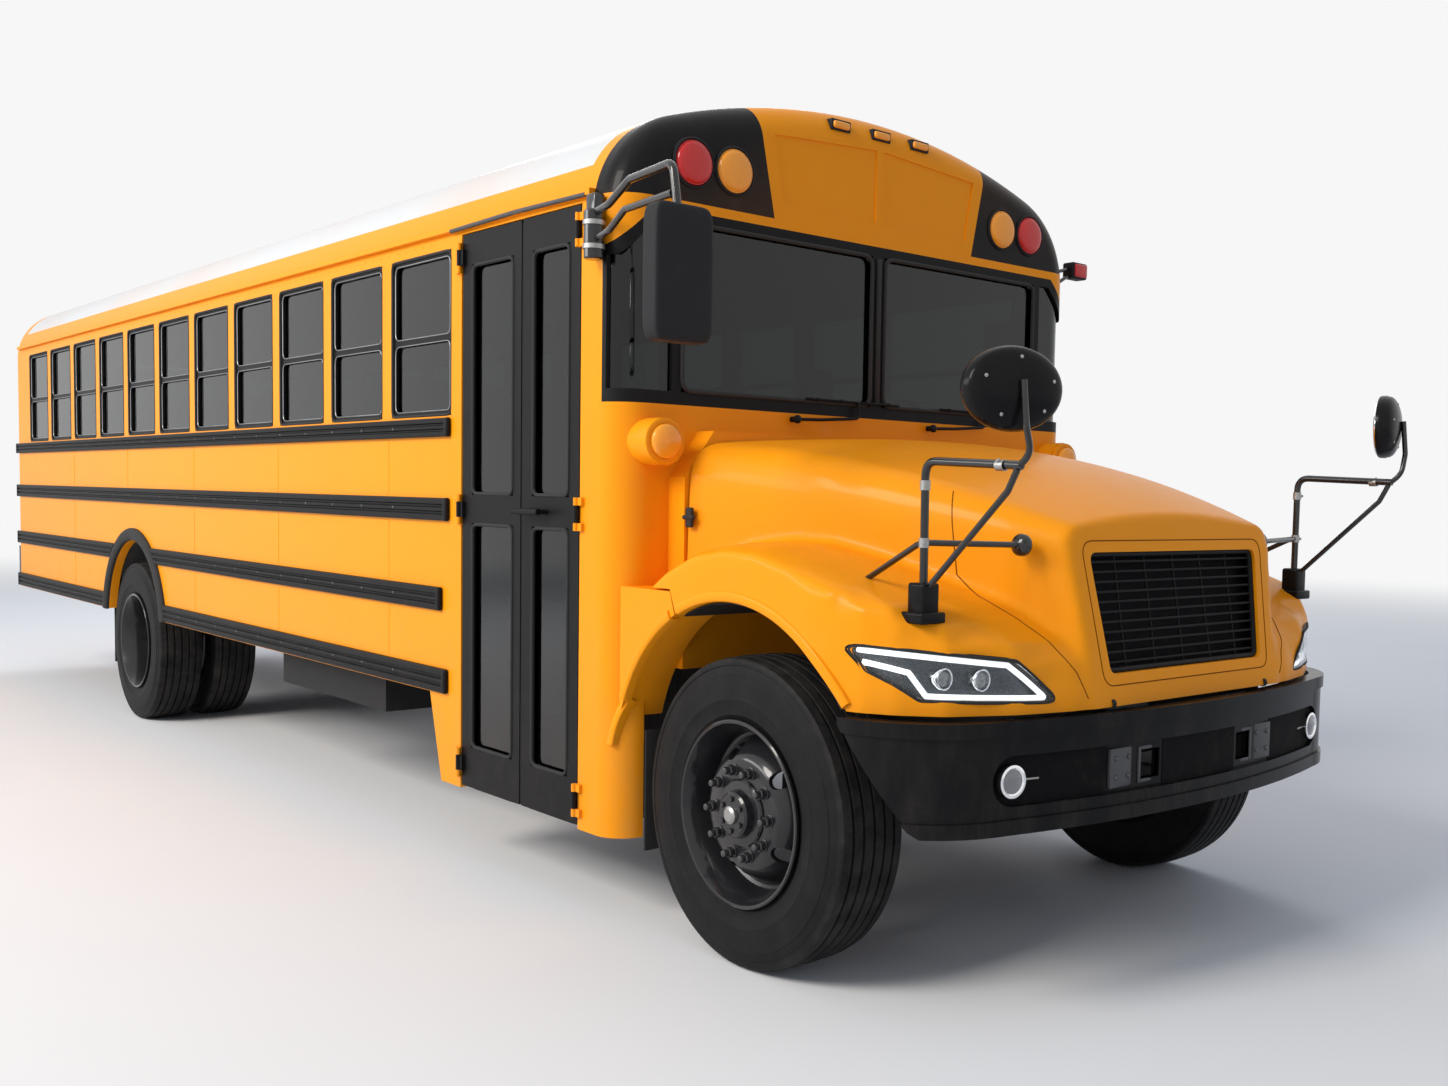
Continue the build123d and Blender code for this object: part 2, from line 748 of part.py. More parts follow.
def bumper_face(inset, y):
    """How far ahead of the axle the bumper's face lies at a given width."""
    arc_r = bumper_arc_r - inset
    return bumper_front - bumper_arc_r + sqrt(arc_r**2 - y**2)


rail_front_x = front_axle_x + bumper_face(bumper_skin, rail_half + rail_width / 2) - skin_gap
rail_rear_x = body_rear_x + wall + skin_gap
# Cross-members, each measured from the front axle
cross_stations = (-9200, -8200, -7200, -5300, -4100, -2900, -1700, 820)
cross_width = 70
web_thickness = 10
web_inner_y = rail_half + rail_width / 2 - web_thickness
hinge_arm_half = 6
hinge_arm_r = 14
with BuildPart() as chassis_frame:
    for side in (-1, 1):
        rail_inner_y = side * (rail_half - rail_width / 2)
        rail_outer_y = side * (rail_half + rail_width / 2)
        arm_inner_y = side * rail_half - hinge_arm_half
        arm_outer_y = side * rail_half + hinge_arm_half
        block(rail_rear_x, rail_front_x, rail_inner_y, rail_outer_y, rail_low_z, rail_top_z)
        block(
            rail_rear_x - 1, rail_front_x - 60, rail_inner_y - side, side * web_inner_y,
            rail_low_z + web_thickness, rail_top_z - web_thickness, mode=Mode.SUBTRACT,
        )
        block(rail_front_x - 60, rail_front_x, arm_inner_y, arm_outer_y, rail_top_z - 5, bonnet_pin_z)
        block(
            rail_front_x - 40, bonnet_pin_x, arm_inner_y, arm_outer_y,
            bonnet_pin_z - hinge_arm_r + 1, bonnet_pin_z + hinge_arm_r - 1,
        )
        with Locations(Location((bonnet_pin_x, side * rail_half, bonnet_pin_z), (90, 0, 0))):
            Cylinder(hinge_arm_r, 2 * hinge_arm_half)
            Cylinder(bonnet_pin_r + hinge_clearance, 4 * hinge_arm_half, mode=Mode.SUBTRACT)
    for station in cross_stations:
        cross_x = front_axle_x + station
        block(cross_x, cross_x + cross_width, -web_inner_y, web_inner_y, rail_low_z + 100, rail_top_z - 20)
chassis_frame.part.label = "chassis_frame"
export_step(chassis_frame.part, "parts/chassis_frame.step")

# Engine: one plain block between the rails, with the radiator across its front
engine_rear_x = front_axle_x - 480
engine_front_x = front_axle_x + 560
engine_half = 300
engine_top_z = 1330
radiator_depth = 80
radiator_half = 430
radiator_low_z = 960
radiator_top_z = 1420
with BuildPart() as engine_block:
    block(engine_rear_x, engine_front_x, -engine_half, engine_half, rail_low_z + 40, engine_top_z)
    block(
        engine_front_x - 1, engine_front_x + radiator_depth, -radiator_half, radiator_half,
        radiator_low_z, radiator_top_z,
    )
    for foot_x in (front_axle_x - 330, front_axle_x + 400):
        block(
            foot_x, foot_x + 60, skin_gap - web_inner_y, web_inner_y - skin_gap,
            rail_low_z + 60, rail_low_z + 120,
        )
engine_block.part.label = "engine_block"
export_step(engine_block.part, "parts/engine_block.step")


def bumper_line(inset):
    """Plan outline of one face of the front bumper, from right end to left end."""
    corner = bumper_face(inset, bumper_corner_y - inset * 0.3)
    corner_y = bumper_corner_y - inset * 0.3
    ThreePointArc(
        (front_axle_x + corner, -corner_y), (front_axle_x + bumper_front - inset, 0),
        (front_axle_x + corner, corner_y),
    )
    for side in (-1, 1):
        ThreePointArc(
            (front_axle_x + corner, side * corner_y),
            (front_axle_x + bumper_side_x - inset * 0.7, side * (bumper_side_y - inset * 0.7)),
            (front_axle_x + bumper_end, side * (bumper_half - inset)),
        )


def bumper_band(outer, inner, low_z, high_z, mode=Mode.ADD):
    """The layer of the bumper between two insets and two heights."""
    with BuildSketch(Plane.XY.offset(low_z)) as band:
        with BuildLine():
            bumper_line(outer)
            bumper_line(inner)
            for side in (-1, 1):
                Line(
                    (front_axle_x + bumper_end, side * (bumper_half - outer)),
                    (front_axle_x + bumper_end, side * (bumper_half - inner)),
                )
        make_face()
    extrude(band.sketch, amount=high_z - low_z, mode=mode)


with BuildPart() as bumper_pocket:
    bumper_band(0, bumper_pocket_depth, bumper_bottom_z, bumper_top_z)
    with BuildSketch(Plane.YZ.offset(front_axle_x + bumper_end)):
        with Locations((0, fog_lamp_z)):
            SlotOverall(2 * bumper_pocket_half, bumper_pocket_height)
    extrude(amount=bumper_front, mode=Mode.INTERSECT)

# Front bumper: its face lies back between a lip above and one below; a long
# pocket across it holds a fog lamp at each end and two tow-hook openings
with BuildPart() as front_bumper:
    bumper_band(0, bumper_skin, bumper_bottom_z, bumper_top_z)
    bumper_band(
        0, bumper_lip, bumper_bottom_z + bumper_lip_height, bumper_top_z - bumper_lip_height,
        mode=Mode.SUBTRACT,
    )
    add(bumper_pocket.part, mode=Mode.SUBTRACT)
    with BuildSketch(Plane.XZ.offset(-bumper_half)):
        with BuildLine():
            Polyline(
                (front_axle_x + 400, bumper_top_z - 20), (front_axle_x + bumper_end, bumper_top_z - 20),
                (front_axle_x + 760, bumper_bottom_z + 20), (front_axle_x + 800, bumper_bottom_z - 10),
                (front_axle_x + 400, bumper_bottom_z - 10), close=True,
            )
        make_face()
    extrude(amount=2 * bumper_half, mode=Mode.SUBTRACT)
    for side in (-1, 1):
        block(
            front_axle_x + bumper_corner, front_axle_x + bumper_front + 1,
            side * tow_opening_y - tow_opening_half, side * tow_opening_y + tow_opening_half,
            fog_lamp_z - tow_opening_half, fog_lamp_z + tow_opening_half, mode=Mode.SUBTRACT,
        )
        rod(
            (front_axle_x + bumper_corner - bumper_skin, side * fog_lamp_y, fog_lamp_z),
            (front_axle_x + bumper_corner - 5, side * fog_lamp_y, fog_lamp_z), fog_lamp_r,
        )
front_bumper.part.label = "front_bumper"
export_step(front_bumper.part, "parts/front_bumper.step")

# Rear bumper: a folded channel with two tow eyes
rear_bumper_low_z = 720
rear_bumper_top_z = 1000
rear_bumper_half = 1190
rear_bumper_depth = 85
rear_bumper_plate = 10
tow_eye_r = 22
tow_eye_y = 600
tow_eye_half = 12
with BuildPart() as rear_bumper:
    block(
        body_rear_x - rear_bumper_depth, body_rear_x, -rear_bumper_half, rear_bumper_half,
        rear_bumper_low_z, rear_bumper_top_z,
    )
    block(
        body_rear_x - rear_bumper_depth + rear_bumper_plate, body_rear_x + 1,
        rear_bumper_plate - rear_bumper_half, rear_bumper_half - rear_bumper_plate,
        rear_bumper_low_z + rear_bumper_plate, rear_bumper_top_z - rear_bumper_plate, mode=Mode.SUBTRACT,
    )
    for side in (-1, 1):
        block(
            body_rear_x - rear_bumper_depth + 5, body_rear_x,
            side * tow_eye_y - tow_eye_half, side * tow_eye_y + tow_eye_half,
            rear_bumper_low_z - 70, rear_bumper_low_z + 30,
        )
        with Locations(Location((body_rear_x - 40, side * tow_eye_y, rear_bumper_low_z - 34), (90, 0, 0))):
            Cylinder(tow_eye_r, 4 * tow_eye_half, mode=Mode.SUBTRACT)
rear_bumper.part.label = "rear_bumper"
export_step(rear_bumper.part, "parts/rear_bumper.step")

# Front axle: a dropped beam whose eyes carry the kingpins
eye_r = 45
eye_height = 120
kingpin_r = 20
beam_low_z = wheel_z - 130
spring_half = rail_half
spring_seat_z = wheel_z - 30
with BuildPart() as front_axle:
    block(front_axle_x - 45, front_axle_x + 45, -600, 600, beam_low_z, spring_seat_z)
    for side in (-1, 1):
        rod((front_axle_x, side * 560, wheel_z - 80), (front_axle_x, side * (kingpin_half - 20), wheel_z), 40)
        with Locations((front_axle_x, side * kingpin_half, wheel_z)):
            Cylinder(eye_r, eye_height)
            Cylinder(kingpin_r + hinge_clearance, eye_height + 2, mode=Mode.SUBTRACT)
front_axle.part.label = "front_axle"
export_step(front_axle.part, "parts/front_axle.step")

# Rear axle: tubes, differential housing, spindle ends and the propeller shaft
rear_spindle_r = 45
pinion_end = (rear_axle_x + 330, 0, wheel_z + 20)
with BuildPart() as rear_axle:
    rod((rear_axle_x, -560, wheel_z), (rear_axle_x, 560, wheel_z), 70)
    rod((rear_axle_x, -1000, wheel_z), (rear_axle_x, 1000, wheel_z), rear_spindle_r)
    rod((rear_axle_x - 140, 0, wheel_z), (rear_axle_x + 120, 0, wheel_z), 190)
    rod((rear_axle_x + 100, 0, wheel_z), pinion_end, 90)
    rod(pinion_end, (engine_rear_x - 8, 0, rail_low_z + 60), 42)
rear_axle.part.label = "rear_axle"
export_step(rear_axle.part, "parts/rear_axle.step")

# Leaf springs: a pack on each axle end, shackled to the rails.
# Axle, height of the seat, half length, rise of the ends
spring_table = (
    (front_axle_x, spring_seat_z, 640, 75),
    (rear_axle_x, wheel_z + 70, 700, 10),
)
spring_width_half = rail_width / 2
leaf_end = 20
pack_depth = 55
with BuildPart() as leaf_springs:
    for axle_x, seat_z, half_length, rise in spring_table:
        for side in (-1, 1):
            low_y = side * spring_half - spring_width_half
            high_y = side * spring_half + spring_width_half
            end_z = seat_z + rise
            with BuildSketch(Plane.XZ.offset(-high_y)):
                with BuildLine():
                    under = ThreePointArc(
                        (axle_x - half_length, end_z), (axle_x, seat_z), (axle_x + half_length, end_z),
                    )
                    over = Polyline(
                        (axle_x - half_length, end_z + leaf_end), (axle_x - 120, seat_z + pack_depth),
                        (axle_x + 120, seat_z + pack_depth), (axle_x + half_length, end_z + leaf_end),
                    )
                    Line(under @ 0, over @ 0)
                    Line(under @ 1, over @ 1)
                make_face()
            extrude(amount=high_y - low_y)
            for end in (-1, 1):
                hanger_x = axle_x + end * (half_length - 30)
                block(hanger_x - 30, hanger_x + 30, low_y, high_y, end_z + 5, rail_low_z - skin_gap)
leaf_springs.part.label = "leaf_springs"
export_step(leaf_springs.part, "parts/leaf_springs.step")

# Fuel tank in its cage behind the stepwell, hung from the right rail
tank_rear_x = front_axle_x - 4100
tank_length = 1300
tank_outer_y = 1080
tank_low_z = 480
with BuildPart() as fuel_tank:
    block(
        tank_rear_x, tank_rear_x + tank_length, -tank_outer_y, -rail_half - rail_width / 2 - skin_gap,
        tank_low_z, rail_top_z - 30,
    )
fuel_tank.part.label = "fuel_tank"
export_step(fuel_tank.part, "parts/fuel_tank.step")

# Exhaust: silencer and tail pipe along the left rail, on flat hangers
silencer_y = 620
silencer_z = 700
silencer_r = 130
tail_pipe_y = 545
tail_pipe_z = 740
tail_pipe_r = 40
tail_pipe_points = (
    (tank_rear_x + 10, tail_pipe_y, tail_pipe_z), (rear_axle_x - 900, tail_pipe_y, tail_pipe_z),
    (rear_axle_x - 1150, tail_pipe_y, 630), (body_rear_x + 20, tail_pipe_y, 630),
)
hanger_stations = ((-3900, silencer_y), (-3000, silencer_y), (-7000, tail_pipe_y))
with BuildPart() as exhaust:
    silencer_rear = (tank_rear_x, silencer_y, silencer_z)
    rod(silencer_rear, (tank_rear_x + tank_length, silencer_y, silencer_z), silencer_r)
    for start, end in zip(tail_pipe_points, tail_pipe_points[1:]):
        rod(start, end, tail_pipe_r)
    for station, hanger_y in hanger_stations:
        hanger_x = front_axle_x + station
        block(
            hanger_x - 20, hanger_x + 20, rail_half + rail_width / 2 + skin_gap, hanger_y + 5,
            rail_top_z - 40, rail_top_z - 30,
        )
        block(hanger_x - 20, hanger_x + 20, hanger_y - 5, hanger_y + 5, tail_pipe_z, rail_top_z - 30)
exhaust.part.label = "exhaust"
export_step(exhaust.part, "parts/exhaust.step")

# Wheel-arch rubbers on the rear arches, and all four mudflaps
arch_rubber_stand_off = 30
flap_thickness = 12
front_flap_inner = 960
front_flap_outer = 1100
rear_flap_x = rear_axle_x - 690
with BuildPart() as arch_rubbers:
    for side in (-1, 1):
        with BuildSketch(Plane.XZ.offset(-side * (body_half_width + skin_gap))):
            with Locations((rear_axle_x, arch_centre_z)):
                Circle(rear_lip_r)
                Circle(rear_arch_r, mode=Mode.SUBTRACT)
            with Locations((rear_axle_x, skirt_z - rear_lip_r)):
                Rectangle(2 * rear_lip_r, 2 * rear_lip_r, mode=Mode.SUBTRACT)
        extrude(amount=-side * (arch_rubber_stand_off - skin_gap))
        block(
            rear_flap_x, rear_flap_x + flap_thickness, side * 600, side * (body_half_width - wall - 5),
            300, floor_z - floor_thickness - skin_gap,
        )
        block(
            body_front_x + skin_gap, body_front_x + flap_thickness,
            side * front_flap_inner, side * front_flap_outer, 260, 700,
        )
arch_rubbers.part.label = "arch_rubbers"
export_step(arch_rubbers.part, "parts/arch_rubbers.step")

# Rear-view mirrors: the tall head on two bent tubes at the right, the head by
# the driver's window at the left, and the small lamp pod above it
mirror_x = front_axle_x - 30
mirror_y = 1378
mirror_mid_z = 2212
mirror_height = 420
mirror_width = 218
mirror_depth = 95
mirror_corner_r = 30
bracket_x = front_axle_x - 700
bracket_r = 36
pod_x = bracket_x
left_arm_x = front_axle_x - 840
left_mirror_x = left_arm_x - 310
left_mirror_y = 1375
# Tubes of the right mirror: radius, then places ahead of the axle, out and up
mirror_tubes = (
    (14, ((-690, 1262, 2505), (-560, 1290, 2510), (-380, 1325, 2560), (-60, 1378, 2555), (-30, 1378, 2400))),
    (12, ((-690, 1262, 2415), (-540, 1300, 2420), (-400, 1330, 2465), (-60, 1378, 2462))),
)
with BuildPart() as mirror_head:
    Box(mirror_depth, mirror_width, mirror_height)
    fillet(mirror_head.edges().filter_by(Axis.Z), mirror_corner_r)

with BuildPart() as rear_view_mirrors:
    with Locations((bracket_x, -body_half_width - 40, 2430)):
        Cylinder(bracket_r, 170)
    block(bracket_x - 50, bracket_x + 10, -body_half_width - 45, -body_half_width - skin_gap, 2360, 2575)
    for radius, points in mirror_tubes:
        tube([(front_axle_x + along, -out, z) for along, out, z in points], radius)
    with Locations((mirror_x, -mirror_y, mirror_mid_z), (left_mirror_x, left_mirror_y, mirror_mid_z)):
        add(mirror_head.part)
    block(pod_x - 40, pod_x + 40, 1320, 1430, 2590, 2670)
    rod((pod_x, body_half_width - 30, 2600), (pod_x, 1330, 2640), 9)
    rod((pod_x, body_half_width - 10, 2540), (pod_x, 1330, 2610), 9)
    for arm_end_z in (mirror_mid_z - 150, mirror_mid_z + 150):
        rod((left_arm_x, body_half_width - 20, arm_end_z), (left_mirror_x, left_mirror_y, arm_end_z), 12)
    add(shell.part, mode=Mode.SUBTRACT)
rear_view_mirrors.part.label = "rear_view_mirrors"
export_step(rear_view_mirrors.part, "parts/rear_view_mirrors.step")


# Bonnet sections from the bulkhead to the nose: half width and height of the
# shoulder, height of the crown, shoulder radius, and half width at the foot
bonnet_foot_z = 930
bonnet_table = (
    (985, 1722, 1762, 150, 1000),
    (800, 1640, 1704, 150, 800),
    (565, 1462, 1500, 70, 513),
)
nose_x = front_axle_x + bonnet_nose
nose_tilt = radians(nose_lean)
nose_plane = Plane(origin=(nose_x, 0, nose_mid_z), x_dir=(0, 1, 0), z_dir=(cos(nose_tilt), 0, sin(nose_tilt)))


def bonnet_block(inset, foot_z, rounded=True):
    """The bonnet's middle as a closed block, inset from its outer skin, round or square."""
    upright = Plane(origin=(front_axle_x, 0, nose_mid_z), x_dir=(0, 1, 0), z_dir=(1, 0, 0))
    planes = (
        upright.offset(bonnet_rear - 3 * inset), upright.offset(bonnet_mid), nose_plane.offset(-inset),
    )
    faces = []
    for plane, (half, edge_z, top_z, corner_r, foot_half) in zip(planes, bonnet_table):
        edge = edge_z - inset - nose_mid_z
        top = top_z - inset - nose_mid_z
        foot = foot_z - nose_mid_z
        with BuildSketch(plane) as section:
            with BuildLine():
                Polyline(
                    (-half + inset, edge), (-foot_half + inset, foot), (foot_half - inset, foot),
                    (half - inset, edge),
                )
                if rounded:
                    ThreePointArc((half - inset, edge), (0, top), (-half + inset, edge))
                else:
                    Line((half - inset, edge), (-half + inset, edge))
            make_face()
            if rounded:
                fillet(section.vertices().sort_by(Axis.Y)[-2:], corner_r)
            else:
                chamfer(section.vertices().sort_by(Axis.Y)[-2:], corner_r / 3)
        faces.append(section.sketch.faces()[0])
    with BuildPart() as solid:
        loft(faces, ruled=True)
    return solid.part


# Wings: side profile and plan of one, cut to each other. Places along the bus
# are measured from the front axle
wing_root = rail_half
wing_rear = -500
wing_front = 946
wing_side_front = 420
wing_corner = 905
wing_corner_y = 760
wing_edge_r = 55


def wing_solid(inset, foot_z):
    """The right wing as a closed block, inset from its outer skin."""
    rear_x = front_axle_x + wing_rear - 2 * inset
    front_x = front_axle_x + wing_front - inset
    side_y = inset - wing_half
    with BuildPart() as solid:
        with BuildSketch(Plane.XZ.offset(wing_root)):
            with BuildLine():
                heel = (rear_x, 1205 - inset)
                crest = (front_axle_x + 110, 1390 - inset)
                ThreePointArc(heel, (front_axle_x - 230, 1365 - inset), crest)
                Polyline(
                    crest, (front_axle_x + 700, 1225 - inset), (front_axle_x + 912 - inset, 1100 - inset),
                    (front_x, foot_z), (rear_x, foot_z), heel,
                )
            make_face()
        extrude(amount=wing_half - inset - wing_root)
        with BuildSketch(Plane.XY.offset(foot_z - 10)):
            with BuildLine():
                side_front = (front_axle_x + wing_side_front, side_y)
                corner = (front_axle_x + wing_corner - inset, -wing_corner_y)
                Polyline(
                    (front_x, 1 - wing_root), (rear_x - 200, 1 - wing_root), (rear_x - 200, side_y - 10),
                    (front_axle_x + wing_side_front, side_y - 10), side_front,
                )
                ThreePointArc(side_front, (front_axle_x + 755 - inset * 0.7, inset * 0.7 - 1045), corner)
                Polyline(corner, (front_x, 1 - wing_root))
            make_face()
        extrude(amount=900, mode=Mode.INTERSECT)
        outer_side = solid.faces().sort_by(Axis.Y)[0]
        fillet(outer_side.edges().filter_by_position(Axis.Z, 1190 - inset, 1400), wing_edge_r - inset)
    return solid.part


# Grille opening on the leaning nose, measured from the nose's middle
grille_foot = -178
grille_top = 200
grille_foot_half = 424
grille_top_half = 468
grille_corner_r = 24


def grille_outline(plane, margin):
    """Outline of the grille opening on the leaning nose."""
    with BuildSketch(plane) as outline:
        with BuildLine():
            Polyline(
                (-grille_foot_half, grille_foot), (grille_foot_half, grille_foot),
                (grille_top_half, grille_top), (-grille_top_half, grille_top), close=True,
            )
        make_face()
        fillet(outline.vertices(), grille_corner_r)
        if margin:
            offset(amount=-margin)
    return outline.sketch


# Corners of a headlamp seen from ahead: distance out from the middle, height
headlamp_corners = ((1168, 1118), (805, 1076), (648, 946), (1052, 960), (1142, 1040))
headlamp_rear_x = front_axle_x + 450


def lamp_outline(side, margin):
    """Slanted outline of a headlamp seen from ahead."""
    with BuildSketch(Plane.YZ.offset(headlamp_rear_x)) as outline:
        with BuildLine():
            Polyline([(side * y, z) for y, z in headlamp_corners], close=True)
        make_face()
        if margin:
            offset(amount=-margin, kind=Kind.INTERSECTION)
    return outline.sketch


wing_outside = wing_solid(0, wing_bottom_z)
wing_inside = wing_solid(bonnet_skin, wing_bottom_z - 60)

# Bonnet with its two wings: one hollow moulding, open underneath and behind.
# Two lugs a side carry its hinge pins
seam_x = front_axle_x + bonnet_seam + seam_gap
cowl_clear_x = front_axle_x - 700
lug_offset = hinge_arm_half + 10
lug_half = 5
with BuildPart() as bonnet:
    add(bonnet_block(0, bonnet_foot_z))
    add(wing_outside)
    add(mirror(wing_outside, about=Plane.XZ))
    add(bonnet_block(bonnet_skin, bonnet_foot_z - 60, rounded=False), mode=Mode.SUBTRACT)
    add(wing_inside, mode=Mode.SUBTRACT)
    add(mirror(wing_inside, about=Plane.XZ), mode=Mode.SUBTRACT)
    with Locations(Location((front_axle_x, 0, arch_centre_z), (90, 0, 0))):
        Cylinder(front_arch_r, 2 * wing_half + 10, mode=Mode.SUBTRACT)
    with BuildSketch(Plane.XZ.offset(-body_half_width)):
        with BuildLine():
            Polyline(
                (seam_x + 82, bonnet_seam_z - 183), (seam_x + 9, bonnet_seam_z - 14),
                (seam_x + 2, bonnet_seam_z), (cowl_clear_x, bonnet_seam_z), (cowl_clear_x, 600),
                (seam_x + 82, 600), close=True,
            )
        make_face()
    extrude(amount=2 * body_half_width, mode=Mode.SUBTRACT)
    block(
        cowl_clear_x, front_axle_x + bonnet_rear, -body_half_width, body_half_width,
        600, roof_seam_z, mode=Mode.SUBTRACT,
    )
    extrude(grille_outline(nose_plane.offset(-90), 0), amount=180, mode=Mode.SUBTRACT)
    for side in (-1, 1):
        extrude(lamp_outline(side, 0), amount=600, mode=Mode.SUBTRACT)
        hinge_y = side * rail_half
        for lug_y in (hinge_y - lug_offset, hinge_y + lug_offset):
            block(
                bonnet_pin_x - 60, bonnet_pin_x + 2, lug_y - lug_half, lug_y + lug_half,
                bonnet_pin_z, bonnet_pin_z + 60,
            )
            block(
                bonnet_pin_x - hinge_arm_r, bonnet_pin_x + hinge_arm_r, lug_y - lug_half, lug_y + lug_half,
                bonnet_pin_z - 12, bonnet_pin_z + 12,
            )
        block(
            bonnet_pin_x - 60, bonnet_pin_x + 20, hinge_y - hinge_arm_half - 5, hinge_y + hinge_arm_half + 5,
            bonnet_pin_z - 30, bonnet_pin_z + 20, mode=Mode.SUBTRACT,
        )
        with Locations(Location((bonnet_pin_x, hinge_y, bonnet_pin_z), (90, 0, 0))):
            Cylinder(bonnet_pin_r, 2 * (lug_offset + lug_half))
bonnet.part.label = "bonnet"
export_step(bonnet.part, "parts/bonnet.step")

# Grille: a frame in the nose opening with thin bars across and upright
grille_set_back = 16
grille_rim = 14
grille_bar = 8
grille_bar_rows = 11
grille_uprights = 5
with BuildPart() as grille:
    extrude(grille_outline(nose_plane.offset(-grille_set_back), skin_gap), amount=12)
    grille_inside = grille_outline(nose_plane.offset(-grille_set_back - 1), grille_rim)
    extrude(grille_inside, amount=20, mode=Mode.SUBTRACT)
    with BuildSketch(nose_plane.offset(-grille_set_back)):
        row_pitch = (grille_top - grille_foot) / (grille_bar_rows + 1)
        upright_pitch = 2 * grille_top_half / (grille_uprights + 1)
        with Locations(*[(0, grille_foot + row_pitch * (i + 1)) for i in range(grille_bar_rows)]):
            Rectangle(2 * grille_top_half, grille_bar)
        first_upright = -upright_pitch * (grille_uprights - 1) / 2
        with Locations(*[(first_upright + upright_pitch * i, 0) for i in range(grille_uprights)]):
            Rectangle(grille_bar, 2 * grille_top)
    extrude(amount=9)
    extrude(grille_outline(nose_plane.offset(-2 * grille_set_back), skin_gap), amount=60, mode=Mode.INTERSECT)
grille.part.label = "grille"
export_step(grille.part, "parts/grille.step")

# Headlamps: one flush lens in the slanted opening of each wing
with BuildPart() as headlamps:
    add(wing_outside)
    extrude(lamp_outline(-1, skin_gap), amount=600, mode=Mode.INTERSECT)
    add(wing_inside, mode=Mode.SUBTRACT)
    add(mirror(headlamps.part, about=Plane.XZ))
headlamps.part.label = "headlamps"
export_step(headlamps.part, "parts/headlamps.step")

# Crossover mirrors: an oval head on a braced tube frame over each wing
oval_centre = (front_axle_x + 1043, -1043, 1840)
oval_turn = 0.35
oval_half_width = 150
oval_half_height = 115
oval_half_depth = 45
oval_edge = 30
with BuildPart() as oval_head:
    with BuildSketch(Plane(origin=oval_centre, x_dir=(oval_turn, 1, 0), z_dir=(-1, oval_turn, 0))):
        Ellipse(oval_half_width, oval_half_height)
    extrude(amount=oval_half_depth, both=True)
    chamfer(oval_head.edges().filter_by(GeomType.ELLIPSE), oval_edge)

# Tubes of the right frame: radius and the points it runs through, from the axle
frame_tubes = (
    (13, ((707, -1022, 1200), (707, -1025, 1650))),
    (11, ((707, -1025, 1640), (1075, -1040, 1636))),
    (11, ((1070, -1040, 1630), (1050, -1043, 1760))),
    (9, ((702, -1023, 1415), (770, -655, 1408))),
    (9, ((702, -1023, 1415), (415, -990, 1285))),
    (9, ((715, -1022, 1290), (1066, -1040, 1636))),
)
with BuildPart() as crossover_mirrors:
    add(oval_head.part)
    for radius, (start, end) in frame_tubes:
        rod((front_axle_x + start[0], start[1], start[2]), (front_axle_x + end[0], end[1], end[2]), radius)
    block(front_axle_x + 675, front_axle_x + 740, -1060, -985, 1195, 1285)
    block(front_axle_x + 660, front_axle_x + 755, -1072, -972, 1195, 1215)
    add(bonnet_block(0, bonnet_foot_z), mode=Mode.SUBTRACT)
    add(wing_outside, mode=Mode.SUBTRACT)
    add(mirror(crossover_mirrors.part, about=Plane.XZ))
crossover_mirrors.part.label = "crossover_mirrors"
export_step(crossover_mirrors.part, "parts/crossover_mirrors.step")

# Entrance door leaves: hinge line, meeting edge, glass ends, side of the hinge
leaf_outer_y = -body_half_width + leaf_set_back
leaf_inner_y = leaf_outer_y + leaf_thickness
leaf_top_z = door_top_z - door_gap / 2
handle_stand_off = 45
handle_length = 190
handle_r = 12
door_panes = ((door_rail_low_z, door_rail_mid_low_z), (door_rail_mid_top_z, door_rail_top_z))
leaf_table = (
    # name, hinge x, meeting edge x, glass rear x, glass front x, sign towards the meeting edge
    ("front", front_hinge_x, door_split_x + door_meeting_gap / 2, front_axle_x - 1190, front_axle_x - 925, -1),
    ("rear", rear_hinge_x, door_split_x - door_meeting_gap / 2, front_axle_x - 1672, front_axle_x - 1337, 1),
)
for name, hinge_x, meeting_x, glass_rear_x, glass_front_x, toward in leaf_table:
    edge_x = hinge_x + toward * door_gap / 2
    with BuildPart() as leaf:
        block(edge_x, meeting_x, leaf_outer_y, leaf_inner_y, door_bottom_z, leaf_top_z)
        for low_z, high_z in door_panes:
            block(
                glass_rear_x, glass_front_x, leaf_outer_y - 10, leaf_inner_y + 10, low_z, high_z,
                mode=Mode.SUBTRACT,
            )
        barrel_reach_x = hinge_x + toward * hinge_leaf_reach
        hinge_barrels(hinge_x, door_hinge_y, barrel_reach_x, leaf_outer_y + 1, hinge_heights)
        if name == "front":
            bar_z = (door_rail_mid_low_z + door_rail_mid_top_z) / 2
            bar_y = leaf_outer_y - handle_stand_off
            rod((meeting_x + 10, bar_y, bar_z), (meeting_x + 10 + handle_length, bar_y, bar_z), handle_r)
            for stud_x in (meeting_x + 25, meeting_x + handle_length - 5):
                rod((stud_x, bar_y, bar_z), (stud_x, leaf_outer_y + 5, bar_z), handle_r - 3)
    leaf.part.label = "door_leaf_" + name
    export_step(leaf.part, "parts/door_leaf_" + name + ".step")
    with BuildPart() as leaf_glass:
        for low_z, high_z in door_panes:
            block(
                glass_rear_x, glass_front_x, leaf_outer_y + 17, leaf_outer_y + 17 + glass_thickness,
                low_z, high_z,
            )
    leaf_glass.part.label = "door_glass_" + name
    export_step(leaf_glass.part, "parts/door_glass_" + name + ".step")

